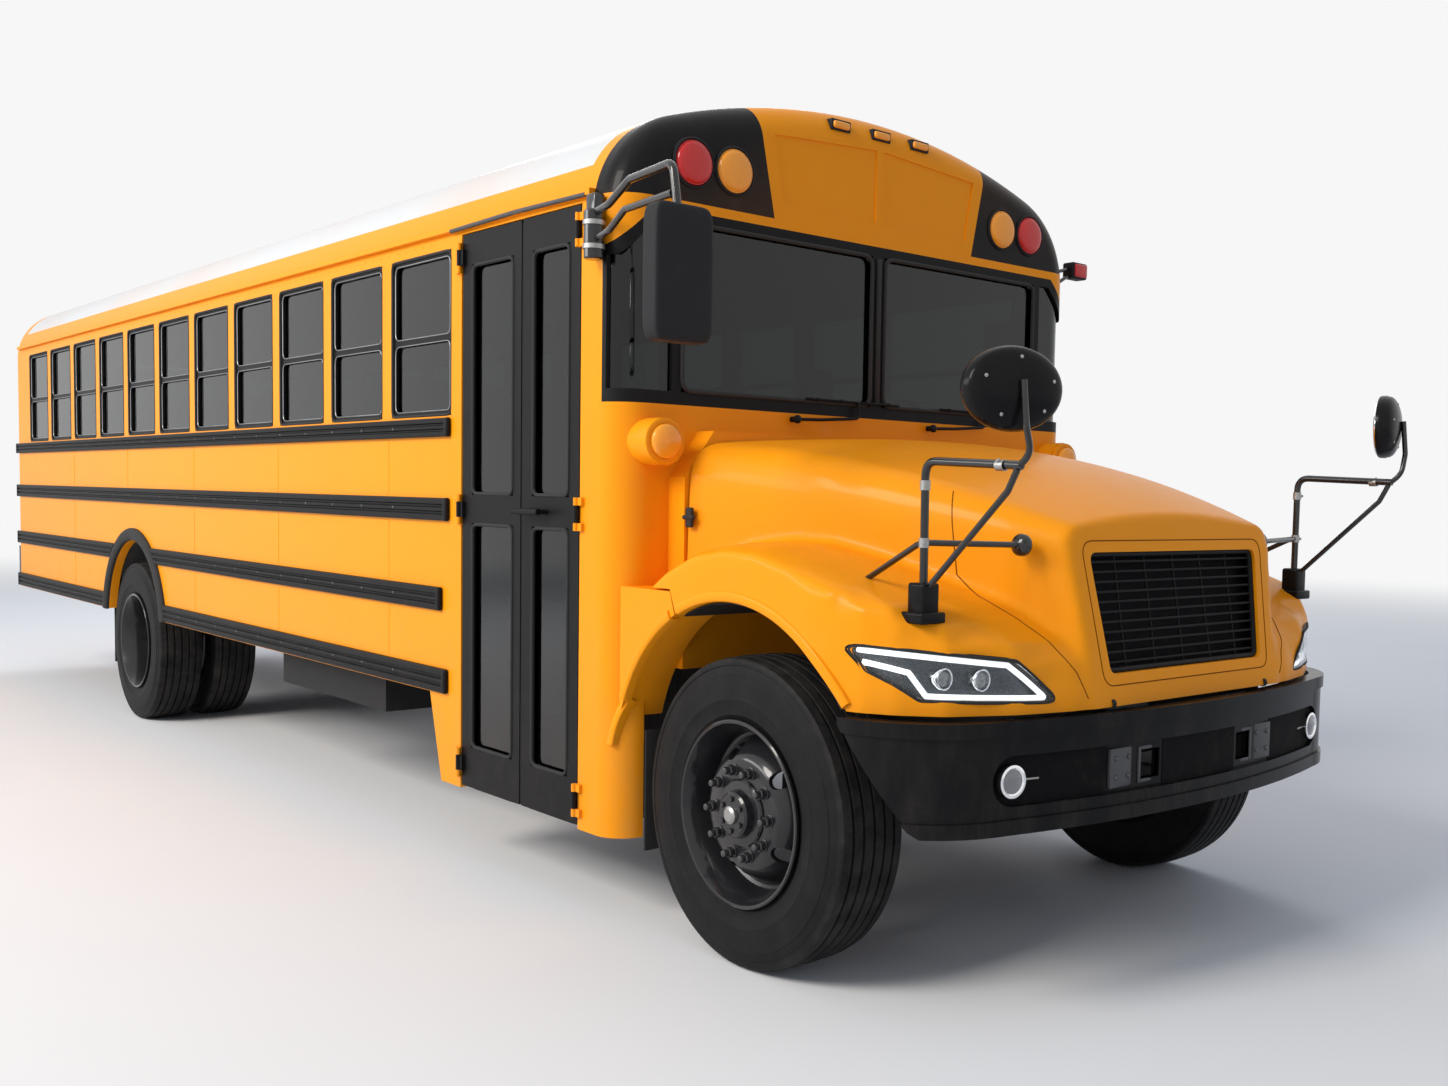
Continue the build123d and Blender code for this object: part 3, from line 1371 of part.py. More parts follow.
# Rear emergency door with its two panes and the outside handle
rear_panes = ((1180, 1720), (rear_window_low_z, 2440))
rear_pane_half = 360
rear_leaf_x = body_rear_x + leaf_set_back
with BuildPart() as rear_door:
    block(
        rear_leaf_x, rear_leaf_x + leaf_thickness, -rear_door_half, rear_door_half,
        rear_door_low_z + door_gap, rear_door_top_z - door_gap,
    )
    for low_z, high_z in rear_panes:
        block(
            rear_leaf_x - 10, rear_leaf_x + leaf_thickness + 10, -rear_pane_half, rear_pane_half,
            low_z, high_z, mode=Mode.SUBTRACT,
        )
    block(rear_leaf_x - 40, rear_leaf_x + 1, rear_door_half - 90, rear_door_half - 60, 1740, 1860)
    barrel_reach_y = rear_hinge_y + hinge_leaf_reach
    hinge_barrels(rear_hinge_line_x, rear_hinge_y, rear_leaf_x + 1, barrel_reach_y, hinge_heights[1:])
rear_door.part.label = "rear_door"
export_step(rear_door.part, "parts/rear_door.step")

with BuildPart() as rear_door_glass:
    for low_z, high_z in rear_panes:
        block(
            rear_leaf_x + 17, rear_leaf_x + 17 + glass_thickness, -rear_pane_half, rear_pane_half,
            low_z, high_z,
        )
rear_door_glass.part.label = "rear_door_glass"
export_step(rear_door_glass.part, "parts/rear_door_glass.step")

# Stop arm: a blank octagon on its hinge
stop_sign_r = 243
stop_sign_thickness = 8
stop_tang_half = 90
with BuildPart() as stop_arm:
    with BuildSketch(Plane.XZ.offset(-arm_hinge_y - stop_sign_thickness / 2)):
        with Locations((arm_hinge_x - 30 - stop_sign_r, arm_z)):
            RegularPolygon(stop_sign_r, 8, major_radius=True, rotation=22.5)
    extrude(amount=stop_sign_thickness)
    block(
        arm_hinge_x - 80, arm_hinge_x,
        arm_hinge_y - stop_sign_thickness / 2, arm_hinge_y + stop_sign_thickness / 2,
        arm_z - stop_tang_half, arm_z + stop_tang_half,
    )
    with Locations((arm_hinge_x, arm_hinge_y, arm_z)):
        Cylinder(arm_barrel_r, 2 * arm_ear_offset - 4)
        Cylinder(hinge_pin_r + hinge_clearance, 2 * arm_ear_offset, mode=Mode.SUBTRACT)
stop_arm.part.label = "stop_arm"
export_step(stop_arm.part, "parts/stop_arm.step")

# Steering knuckles: two ears round the axle's eye, the kingpin and the spindle
front_spindle_r = 32
front_spindle_end = 1095
ear_gap = 5
ear_height = 35
with BuildPart() as knuckle_left:
    for ear_low_z in (wheel_z + eye_height / 2 + ear_gap, wheel_z - eye_height / 2 - ear_gap - ear_height):
        with Locations((front_axle_x, kingpin_half, ear_low_z)):
            Cylinder(40, ear_height, align=(Align.CENTER, Align.CENTER, Align.MIN))
        block(
            front_axle_x - 30, front_axle_x + 30, kingpin_half, kingpin_half + 75,
            ear_low_z, ear_low_z + ear_height,
        )
    block(
        front_axle_x - 35, front_axle_x + 35, kingpin_half + eye_r + ear_gap, kingpin_half + 75,
        wheel_z - eye_height / 2 - ear_gap - ear_height, wheel_z + eye_height / 2 + ear_gap + ear_height,
    )
    with Locations((front_axle_x, kingpin_half, wheel_z)):
        Cylinder(kingpin_r, eye_height + 2 * ear_gap + 2 * ear_height)
    rod((front_axle_x, kingpin_half + 60, wheel_z), (front_axle_x, front_spindle_end, wheel_z), front_spindle_r)
knuckle_left.part.label = "knuckle_left"
export_step(knuckle_left.part, "parts/knuckle_left.step")
with BuildPart() as knuckle_right:
    add(mirror(knuckle_left.part, about=Plane.XZ))
knuckle_right.part.label = "knuckle_right"
export_step(knuckle_right.part, "parts/knuckle_right.step")

# Wheel sections, as offset along the axle (outboard positive) and radius
tyre_profile = (
    (-tyre_width / 2, bead_r), (-tyre_width / 2, tyre_r), (tyre_width / 2, tyre_r), (tyre_width / 2, bead_r),
)
rim_seat_r = bead_r - skin_gap
rim_half = tyre_width / 2 + 3
well_r = 274
front_rim_profile = (
    (-rim_half, rim_seat_r), (rim_half, rim_seat_r), (rim_half, well_r), (45, well_r), (45, 222), (105, 165),
    (105, 112), (155, 112), (155, front_spindle_r + hinge_clearance), (-70, front_spindle_r + hinge_clearance),
    (-70, 100), (88, 100), (88, 160), (28, 216), (28, well_r), (-rim_half, well_r),
)
rear_rim_profile = (
    (-rim_half, rim_seat_r), (rim_half, rim_seat_r), (rim_half, well_r), (-75, well_r), (-75, 222), (-120, 170),
    (-120, rear_spindle_r + hinge_clearance), (-rim_half, rear_spindle_r + hinge_clearance),
)


def revolved(profile, axle_x, centre_y, side):
    """A ring with the given section round a wheel's axle."""
    plane = Plane(origin=(axle_x, centre_y, wheel_z), x_dir=(0, side, 0), z_dir=(0, 0, side))
    with BuildSketch(plane) as section:
        with BuildLine():
            Polyline(*profile, close=True)
        make_face()
    revolve(section.sketch, axis=Axis((axle_x, 0, wheel_z), (0, 1, 0)))


for side_name, side in (("left", 1), ("right", -1)):
    with BuildPart() as front_tyre:
        revolved(tyre_profile, front_axle_x, side * front_track_half, side)
    front_tyre.part.label = "front_tyre_" + side_name
    export_step(front_tyre.part, "parts/front_tyre_" + side_name + ".step")
    with BuildPart() as front_rim:
        revolved(front_rim_profile, front_axle_x, side * front_track_half, side)
    front_rim.part.label = "front_rim_" + side_name
    export_step(front_rim.part, "parts/front_rim_" + side_name + ".step")
    with BuildPart() as rear_tyres:
        revolved(tyre_profile, rear_axle_x, side * twin_outer_half, side)
        revolved(tyre_profile, rear_axle_x, side * (twin_outer_half - twin_spacing), side)
    rear_tyres.part.label = "rear_tyres_" + side_name
    export_step(rear_tyres.part, "parts/rear_tyres_" + side_name + ".step")
    with BuildPart() as rear_rims:
        revolved(rear_rim_profile, rear_axle_x, side * twin_outer_half, side)
        revolved(rear_rim_profile, rear_axle_x, side * (twin_outer_half - twin_spacing), -side)
    rear_rims.part.label = "rear_rims_" + side_name
    export_step(rear_rims.part, "parts/rear_rims_" + side_name + ".step")

# Round lamps of the body by colour: distance out from the middle, height at the
# front and height at the rear, where the lower ones are stop and turn lamps
warning_lamp_r = 84
warning_lamp_rise = 12
warning_lamp_root = 30
turn_lamp_r = 62
turn_lamp_front = -486
clearance_lamp_z = 2985
clearance_lamp_places = (-217, 0, 217)
red_front_places = ((915, 2720),)
red_rear_places = ((915, 2690), (860, 1630))
amber_front_places = ((732, 2721),)
amber_rear_places = ((732, 2690), (1040, 1630))


def warning_lamps(front_places, rear_places):
    """Round lamps standing out of the front and rear walls on both sides."""
    for side in (-1, 1):
        for y, z in front_places:
            root_x = body_front_x + skin_gap - warning_lamp_root
            rod((root_x, side * y, z), (body_front_x + warning_lamp_rise, side * y, z), warning_lamp_r)
        for y, z in rear_places:
            root_x = body_rear_x + warning_lamp_root
            rod((root_x, side * y, z), (body_rear_x - warning_lamp_rise, side * y, z), warning_lamp_r)


with BuildPart() as red_lamps:
    warning_lamps(red_front_places, red_rear_places)
    add(shell.part, mode=Mode.SUBTRACT)
red_lamps.part.label = "red_lamps"
export_step(red_lamps.part, "parts/red_lamps.step")

with BuildPart() as amber_lamps:
    warning_lamps(amber_front_places, amber_rear_places)
    for side in (-1, 1):
        rod(
            (front_axle_x + lamp_bulge_front + skin_gap, side * lamp_bulge_y, lamp_bulge_z),
            (front_axle_x + turn_lamp_front, side * lamp_bulge_y, lamp_bulge_z), turn_lamp_r,
        )
    for lamp_y in clearance_lamp_places:
        block(
            body_front_x - 30, body_front_x + 14, lamp_y - 45, lamp_y + 45,
            clearance_lamp_z - 17, clearance_lamp_z + 17,
        )
    add(shell.part, mode=Mode.SUBTRACT)
amber_lamps.part.label = "amber_lamps"
export_step(amber_lamps.part, "parts/amber_lamps.step")

# Wipers: an arm and a blade at the foot of each half of the windscreen
wiper_z = 1834
wiper_pivots = (-441, 300)
wiper_arm_length = 360
blade_start = 60
blade_length = 500
blade_low_z = wiper_z + 80
with BuildPart() as wipers:
    for pivot_y in wiper_pivots:
        pivot_foot = (front_axle_x + cowl_box_front - 60, pivot_y, wiper_z - 90)
        rod(pivot_foot, (body_front_x + 30, pivot_y, wiper_z), 14)
        block(
            body_front_x + 22, body_front_x + 34, pivot_y - 10, pivot_y + wiper_arm_length,
            wiper_z - 6, wiper_z + 6,
        )
        blade_y = pivot_y + blade_start
        block(
            body_front_x + skin_gap, body_front_x + 24, blade_y, blade_y + blade_length,
            blade_low_z, blade_low_z + 12,
        )
        rod(
            (body_front_x + 20, pivot_y + wiper_arm_length - 20, wiper_z),
            (body_front_x + 20, pivot_y + wiper_arm_length - 40, blade_low_z + 10), 8,
        )
    add(cowl.part, mode=Mode.SUBTRACT)
wipers.part.label = "wipers"
export_step(wipers.part, "parts/wipers.step")
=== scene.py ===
"""A conventional school bus with a tilting bonnet, dressed for close views.

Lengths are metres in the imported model's frame: x forward, y to the left and z up
from the ground. Places along the bus are measured from the front axle.
"""
import logging
import math
from collections.abc import Callable, Iterable, Sequence
from dataclasses import dataclass
from enum import Enum
from functools import cache, cached_property, partial

import bmesh
import bpy
from mathutils import Matrix, Vector
from mathutils.bvhtree import BVHTree


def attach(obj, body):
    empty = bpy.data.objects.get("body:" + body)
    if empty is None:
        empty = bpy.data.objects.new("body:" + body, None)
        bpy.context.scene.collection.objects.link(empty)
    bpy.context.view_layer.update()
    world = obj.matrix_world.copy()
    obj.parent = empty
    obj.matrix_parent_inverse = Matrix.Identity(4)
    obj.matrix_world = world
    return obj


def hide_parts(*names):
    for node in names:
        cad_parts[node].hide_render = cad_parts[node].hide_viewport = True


log = logging.getLogger("bus")
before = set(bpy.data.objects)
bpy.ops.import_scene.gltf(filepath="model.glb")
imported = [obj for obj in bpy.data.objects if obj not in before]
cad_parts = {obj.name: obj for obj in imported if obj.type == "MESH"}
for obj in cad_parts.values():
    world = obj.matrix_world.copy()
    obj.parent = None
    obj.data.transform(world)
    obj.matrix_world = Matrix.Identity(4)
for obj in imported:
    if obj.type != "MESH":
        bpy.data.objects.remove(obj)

Pair = tuple[float, float]
Point = tuple[float, float, float]
Colour = tuple[float, float, float]

AXLE = 4.270
REAR_AXLE = AXLE - 6.320
WHEEL_Z = 0.511
HALF_WIDTH = 1.220
NOSE_X = AXLE - 0.600
TAIL_X = AXLE - 9.575
SIDES = (1, -1)
AHEAD = (1, 0, 0)
UP = (0, 0, 1)


class Value:
    """A shader socket that takes part in Python arithmetic."""

    def __init__(self, graph: "Graph", socket: bpy.types.NodeSocket) -> None:
        """Keep an output socket with the graph that owns it."""
        self.graph = graph
        self.socket = socket

    def __add__(self, other: "Value | float") -> "Value":
        """Sum."""
        return self.graph.math("ADD", self, other)

    __radd__ = __add__

    def __mul__(self, other: "Value | float") -> "Value":
        """Product."""
        return self.graph.math("MULTIPLY", self, other)

    __rmul__ = __mul__

    def __rsub__(self, other: "Value | float") -> "Value":
        """Difference from a number."""
        return self.graph.math("SUBTRACT", other, self)

    def __sub__(self, other: "Value | float") -> "Value":
        """Difference."""
        return self.graph.math("SUBTRACT", self, other)

    def __pow__(self, other: "Value | float") -> "Value":
        """Power."""
        return self.graph.math("POWER", self, other)

    def __gt__(self, other: "Value | float") -> "Value":
        """One where this is greater."""
        return self.graph.math("GREATER_THAN", self, other)

    def __lt__(self, other: "Value | float") -> "Value":
        """One where this is less."""
        return self.graph.math("LESS_THAN", self, other)

    def __abs__(self) -> "Value":
        """Size without its sign."""
        return self.graph.math("ABSOLUTE", self)

    def step(self, low: float, high: float) -> "Value":
        """Rise smoothly from 0 at low to 1 at high."""
        inputs = {"Value": self, "From Min": low, "From Max": high}
        return self.graph.node("ShaderNodeMapRange", {"interpolation_type": "SMOOTHSTEP"}, inputs)


class Graph:
    """A node tree of a material or the world, with short ways to add to it."""

    def __init__(self, owner: bpy.types.ID) -> None:
        """Start with an empty tree on a new material or world."""
        owner.use_nodes = True
        self.owner = owner
        self.tree = owner.node_tree
        self.tree.nodes.clear()

    @cached_property
    def place(self) -> Value:
        """Place on the object, in its own coordinates."""
        return self.node("ShaderNodeTexCoord", output="Object")

    def node(
        self, kind: str, settings: dict | None = None, inputs: dict | None = None, output: str | int = 0,
    ) -> Value:
        """Add one node.

        Args:
            kind: The node's type.
            settings: Properties that are set first.
            inputs: Socket names or numbers with a value or a link.
            output: The output that is returned.

        Returns:
            The chosen output.
        """
        node = self.tree.nodes.new(kind)
        for key, setting in (settings or {}).items():
            setattr(node, key, setting)
        for key, given in (inputs or {}).items():
            socket = node.inputs[key]
            if isinstance(given, Value):
                self.tree.links.new(given.socket, socket)
            elif isinstance(given, tuple) and len(socket.default_value) == 4:
                socket.default_value = (*given, 1)
            else:
                socket.default_value = given
        return Value(self, node.outputs[output])

    def math(self, operation: str, *operands: Value | float) -> Value:
        """One Math node on values or numbers."""
        return self.node("ShaderNodeMath", {"operation": operation}, dict(enumerate(operands)))

    def axes(self) -> tuple[Value, Value, Value]:
        """The object's own x, y and z over its surface."""
        node = self.node("ShaderNodeSeparateXYZ", inputs={0: self.place}).socket.node
        return tuple(Value(self, node.outputs[i]) for i in range(3))

    def noise(
        self, scale: float, detail: float = 3, stretch: Point = (1, 1, 1), roughness: float = 0.5,
    ) -> Value:
        """Soft random pattern.

        Args:
            scale: One over the features' size in metres.
            detail: How many finer layers it has.
            stretch: Scale along each axis.
            roughness: Weight of the finer layers.

        Returns:
            The pattern, from 0 to 1.
        """
        vector = self.node("ShaderNodeMapping", inputs={"Vector": self.place, "Scale": stretch})
        inputs = {"Vector": vector, "Scale": scale, "Detail": detail, "Roughness": roughness}
        return self.node("ShaderNodeTexNoise", inputs=inputs, output="Fac")

    def cells(self, feature: str, scale: float, **inputs: float) -> Value:
        """Distances in a pattern of cells, with scale cells in a metre."""
        inputs = {"Vector": self.place, "Scale": scale, **inputs}
        return self.node("ShaderNodeTexVoronoi", {"feature": feature}, inputs, "Distance")

    def mix(self, factor: Value | float, low: Value | Colour, high: Value | Colour) -> Value:
        """Blend of two colours."""
        return self.node("ShaderNodeMix", {"data_type": "RGBA"}, {0: factor, 6: low, 7: high}, 2)

    def bump(self, *layers: tuple[Value, float]) -> Value:
        """Relief from heights, each with its depth in metres."""
        total = layers[0][0] * layers[0][1]
        for height, depth in layers[1:]:
            total = total + height * depth
        return self.node("ShaderNodeBump", inputs={"Strength": 1.0, "Distance": 1.0, "Height": total})

    def surface(self, **inputs: Value | float | Colour) -> bpy.types.Material:
        """Close the material with one principled shader.

        Args:
            inputs: Socket names, with underscores for spaces.

        Returns:
            The finished material.
        """
        named = {key.replace("_", " "): given for key, given in inputs.items()}
        self.close(self.node("ShaderNodeBsdfPrincipled", inputs=named))
        return self.owner

    def close(self, shader: Value, kind: str = "ShaderNodeOutputMaterial") -> None:
        """Send a shader to the output."""
        self.tree.links.new(shader.socket, self.tree.nodes.new(kind).inputs["Surface"])


DUST = (0.30, 0.255, 0.19)
BLACK = (0.006, 0.006, 0.007)
BUS_YELLOW = (0.91, 0.315, 0.006)
ROOF_WHITE = (0.60, 0.615, 0.625)


def scaled(colour: Colour, share: float) -> Colour:
    """A colour made darker or lighter."""
    return tuple(share * c for c in colour)


@dataclass(frozen=True)
class Coating:
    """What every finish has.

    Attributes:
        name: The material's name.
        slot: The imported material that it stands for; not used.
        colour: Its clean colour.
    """

    name: str
    slot: str
    colour: Colour = (0.020, 0.020, 0.021)

    def graph(self) -> Graph:
        """Start the material."""
        return Graph(bpy.data.materials.new(self.name))


@dataclass(frozen=True)
class Paint(Coating):
    """Sprayed and polished coach enamel, dusty low down, on slightly wavy sheet.

    Attributes:
        roughness: How dull the enamel is under its lacquer.
        ripple: Height of the slow waves in the sheet.
        dust: How much road dust lies on the lowest panels.
    """

    roughness: float = 0.32
    ripple: float = 0.0012
    dust: float = 0.16

    def tint(self, graph: Graph) -> Value | Colour:
        """The enamel's colour over the surface."""
        return self.colour

    def build(self) -> bpy.types.Material:
        """Make the material."""
        graph = self.graph()
        _, _, height = graph.axes()
        fade = graph.noise(0.7, 4)
        grime = graph.noise(9, 6, (1, 1, 0.35), 0.65)
        low = 1 - height.step(0.25, 1.15)
        worn = graph.mix(0.35, self.tint(graph), scaled(self.colour, 0.88))
        base = graph.mix(fade.step(0.35, 0.75) * 0.5, self.tint(graph), worn)
        dusty = grime.step(0.38, 0.8) * (low * self.dust + 0.02)
        scuffs = graph.noise(160, 2, (0.08, 0.08, 1)).step(0.62, 0.8)
        return graph.surface(
            Base_Color=graph.mix(dusty, base, DUST),
            Roughness=self.roughness + dusty * 0.9 + scuffs * 0.06 + grime * 0.05,
            Normal=graph.bump((graph.noise(1.6, 1), self.ripple), (graph.noise(420, 1), 0.00002)),
            Coat_Weight=0.07, Coat_Roughness=0.05, Specular_IOR_Level=0.08,
        )


@dataclass(frozen=True)
class RoofPaint(Paint):
    """The roof's three colours: white skin, yellow eaves and end hoops, black lamp corners.

    Attributes:
        eave_z: Height at which white gives way to yellow.
        cap_x: The front cap's seam.
        hoop: Width of the yellow hoop behind each end.
        tail: How far the rear hoop starts from the tail.
        corner: Distance out and height at which a black corner's inner edge starts, with its lean.
    """

    eave_z: float = 2.706
    cap_x: float = AXLE - 0.770
    hoop: float = 0.075
    tail: float = 0.18
    corner: Point = (0.544, 2.598, 0.21)

    def tint(self, graph: Graph) -> Value:
        """White above the eave line, yellow below and at the hoops, black at the front corners."""
        along, across, height = graph.axes()
        middle = (along < self.cap_x - self.hoop) * (along > TAIL_X + self.tail + self.hoop)
        out, start_z, lean = self.corner
        corner = (abs(across) > out + (height - start_z) * lean) * (along > self.cap_x)
        painted = graph.mix((height > self.eave_z) * middle, self.colour, ROOF_WHITE)
        return graph.mix(corner, painted, BLACK)


@dataclass(frozen=True)
class Rubber(Coating):
    """Moulded or extruded rubber and grained plastic, greyed by dust.

    Attributes:
        roughness: Its dullness.
        grain: Depth of the grain.
        grain_scale: Grains in a metre.
        dust: How much dust lies in the grain.
    """

    roughness: float = 0.55
    grain: float = 0.00006
    grain_scale: float = 900
    dust: float = 0.25

    def build(self) -> bpy.types.Material:
        """Make the material."""
        graph = self.graph()
        cloud = graph.noise(14, 6, roughness=0.65)
        grain = graph.noise(self.grain_scale, 2)
        _, _, height = graph.axes()
        low = 1 - height.step(0.2, 1.6)
        chalk = cloud.step(0.45, 0.85) * (low * self.dust * 0.6 + 0.03)
        return graph.surface(
            Base_Color=graph.mix(chalk, self.colour, scaled(DUST, 0.45)),
            Roughness=self.roughness + chalk * 0.6 + grain * 0.08,
            Normal=graph.bump((grain, self.grain), (cloud, 0.0003)), Specular_IOR_Level=0.1,
        )


@dataclass(frozen=True)
class TyreRubber(Coating):
    """Tyre rubber: dust on the tread's floor, browned sidewalls with fine rings.

    Attributes:
        axle_x: The wheel's centre along the bus.
        radius: The tread's radius.
        dirt: Colour of the dirt.
    """

    colour: Colour = (0.009, 0.009, 0.010)
    axle_x: float = AXLE
    radius: float = 0.511
    dirt: Colour = (0.085, 0.078, 0.070)

    def build(self) -> bpy.types.Material:
        """Make the material."""
        graph = self.graph()
        along, _, height = graph.axes()
        reach = ((along - self.axle_x) ** 2.0 + (height - WHEEL_Z) ** 2.0) ** 0.5
        cloud = graph.noise(11, 6, roughness=0.7)
        grit = graph.noise(700, 2)
        tread = reach.step(self.radius - 0.03, self.radius - 0.004)
        dirt = cloud.step(0.3, 0.8) * (0.10 + tread * 0.30)
        rings = graph.math("SINE", reach * 2600) * (1 - tread)
        return graph.surface(
            Base_Color=graph.mix(dirt, self.colour, self.dirt), Roughness=0.52 + dirt * 0.35 + grit * 0.06,
            Normal=graph.bump((grit, 0.00012), (rings, 0.00006)), Specular_IOR_Level=0.1,
        )


@dataclass(frozen=True)
class Metal(Coating):
    """Painted, plated or bare metal.

    Attributes:
        metallic: 1 for bare metal, 0 for thick paint.
        roughness: Its dullness.
        rust: How far rust and grime spread over it.
        coat: Weight of the clear film over it.
    """

    metallic: float = 1.0
    roughness: float = 0.3
    rust: float = 0.0
    coat: float = 0.0

    def build(self) -> bpy.types.Material:
        """Make the material."""
        graph = self.graph()
        cloud = graph.noise(7, 6, roughness=0.7)
        fine = graph.noise(240, 3)
        spread = (cloud * 0.7 + fine * 0.3).step(0.66 - 0.3 * self.rust, 0.82 - 0.2 * self.rust)
        stain = spread * min(1.0, 3 * self.rust)
        grime = graph.noise(3, 5).step(0.4, 0.8) * (0.05 + 0.3 * self.rust)
        rusty = graph.mix(stain, self.colour, (0.13, 0.055, 0.025))
        return graph.surface(
            Base_Color=graph.mix(grime, rusty, scaled(DUST, 0.4)),
            Roughness=self.roughness + stain * 0.4 + fine * 0.06 + grime * 0.3,
            Metallic=(1 - stain) * self.metallic, Normal=graph.bump((fine, 0.00004), (stain, 0.0001)),
            Coat_Weight=self.coat, Coat_Roughness=0.08, Specular_IOR_Level=0.18,
        )


@dataclass(frozen=True)
class Glass(Coating):
    """Tinted safety glass with a faint film of dust; its colour is what light takes at each face."""

    def build(self) -> bpy.types.Material:
        """Make the material."""
        graph = self.graph()
        film = graph.noise(5, 6, roughness=0.7).step(0.4, 0.9)
        return graph.surface(
            Base_Color=graph.mix(film * 0.12, self.colour, scaled(self.colour, 0.8)),
            Roughness=0.015 + film * 0.03, Normal=graph.bump((graph.noise(3, 1), 0.0003)),
            Transmission_Weight=1.0, IOR=1.45, Specular_IOR_Level=0.12,
        )


@dataclass(frozen=True)
class Lens(Coating):
    """A moulded lamp lens with pressed prisms behind its face.

    Attributes:
        glow: Strength of the light inside.
        prisms: Prisms in a metre.
        clear: How much light passes straight through.
    """

    glow: float = 0.0
    prisms: float = 95
    clear: float = 0.35

    def build(self) -> bpy.types.Material:
        """Make the material."""
        graph = self.graph()
        cells = graph.cells("F1", self.prisms, Randomness=0.15)
        bright = tuple(min(1.0, 1.25 * c + 0.02) for c in self.colour)
        shade = graph.mix(cells.step(0.1, 0.6), bright, self.colour)
        return graph.surface(
            Base_Color=shade, Roughness=0.08 + graph.noise(40, 3) * 0.08, Normal=graph.bump((cells, 0.0012)),
            Transmission_Weight=self.clear, IOR=1.49, Emission_Color=shade, Emission_Strength=self.glow,
            Coat_Weight=1.0, Coat_Roughness=0.03,
        )


@dataclass(frozen=True)
class Vinyl(Coating):
    """Seat vinyl with a leather-like grain and creases."""

    def build(self) -> bpy.types.Material:
        """Make the material."""
        graph = self.graph()
        cells = graph.cells("DISTANCE_TO_EDGE", 420.0)
        crease = graph.noise(12, 5, (1, 1, 2.5), 0.6)
        worn = crease.step(0.5, 0.85)
        return graph.surface(
            Base_Color=graph.mix(worn * 0.4, self.colour, scaled(self.colour, 1.7)),
            Roughness=0.42 + worn * 0.15,
            Normal=graph.bump((cells.step(0.0, 0.25), 0.00025), (crease, 0.0015)),
        )


@dataclass(frozen=True)
class Deck(Coating):
    """Ribbed rubber floor covering, trodden grey along the aisle.

    Attributes:
        rib: Spacing of the ribs.
        trodden: Colour of the worn covering.
    """

    rib: float = 0.012
    trodden: Colour = (0.12, 0.11, 0.10)

    def build(self) -> bpy.types.Material:
        """Make the material."""
        graph = self.graph()
        _, across, _ = graph.axes()
        wave = graph.math("SINE", across * (2 * math.pi / self.rib))
        path = 1 - abs(across).step(0.1, 0.35)
        dirt = graph.noise(6, 6, roughness=0.7).step(0.35, 0.8) * (0.3 + path * 0.4)
        return graph.surface(
            Base_Color=graph.mix(dirt, self.colour, self.trodden), Roughness=0.7 + dirt * 0.2,
            Normal=graph.bump((wave, 0.0006)),
        )


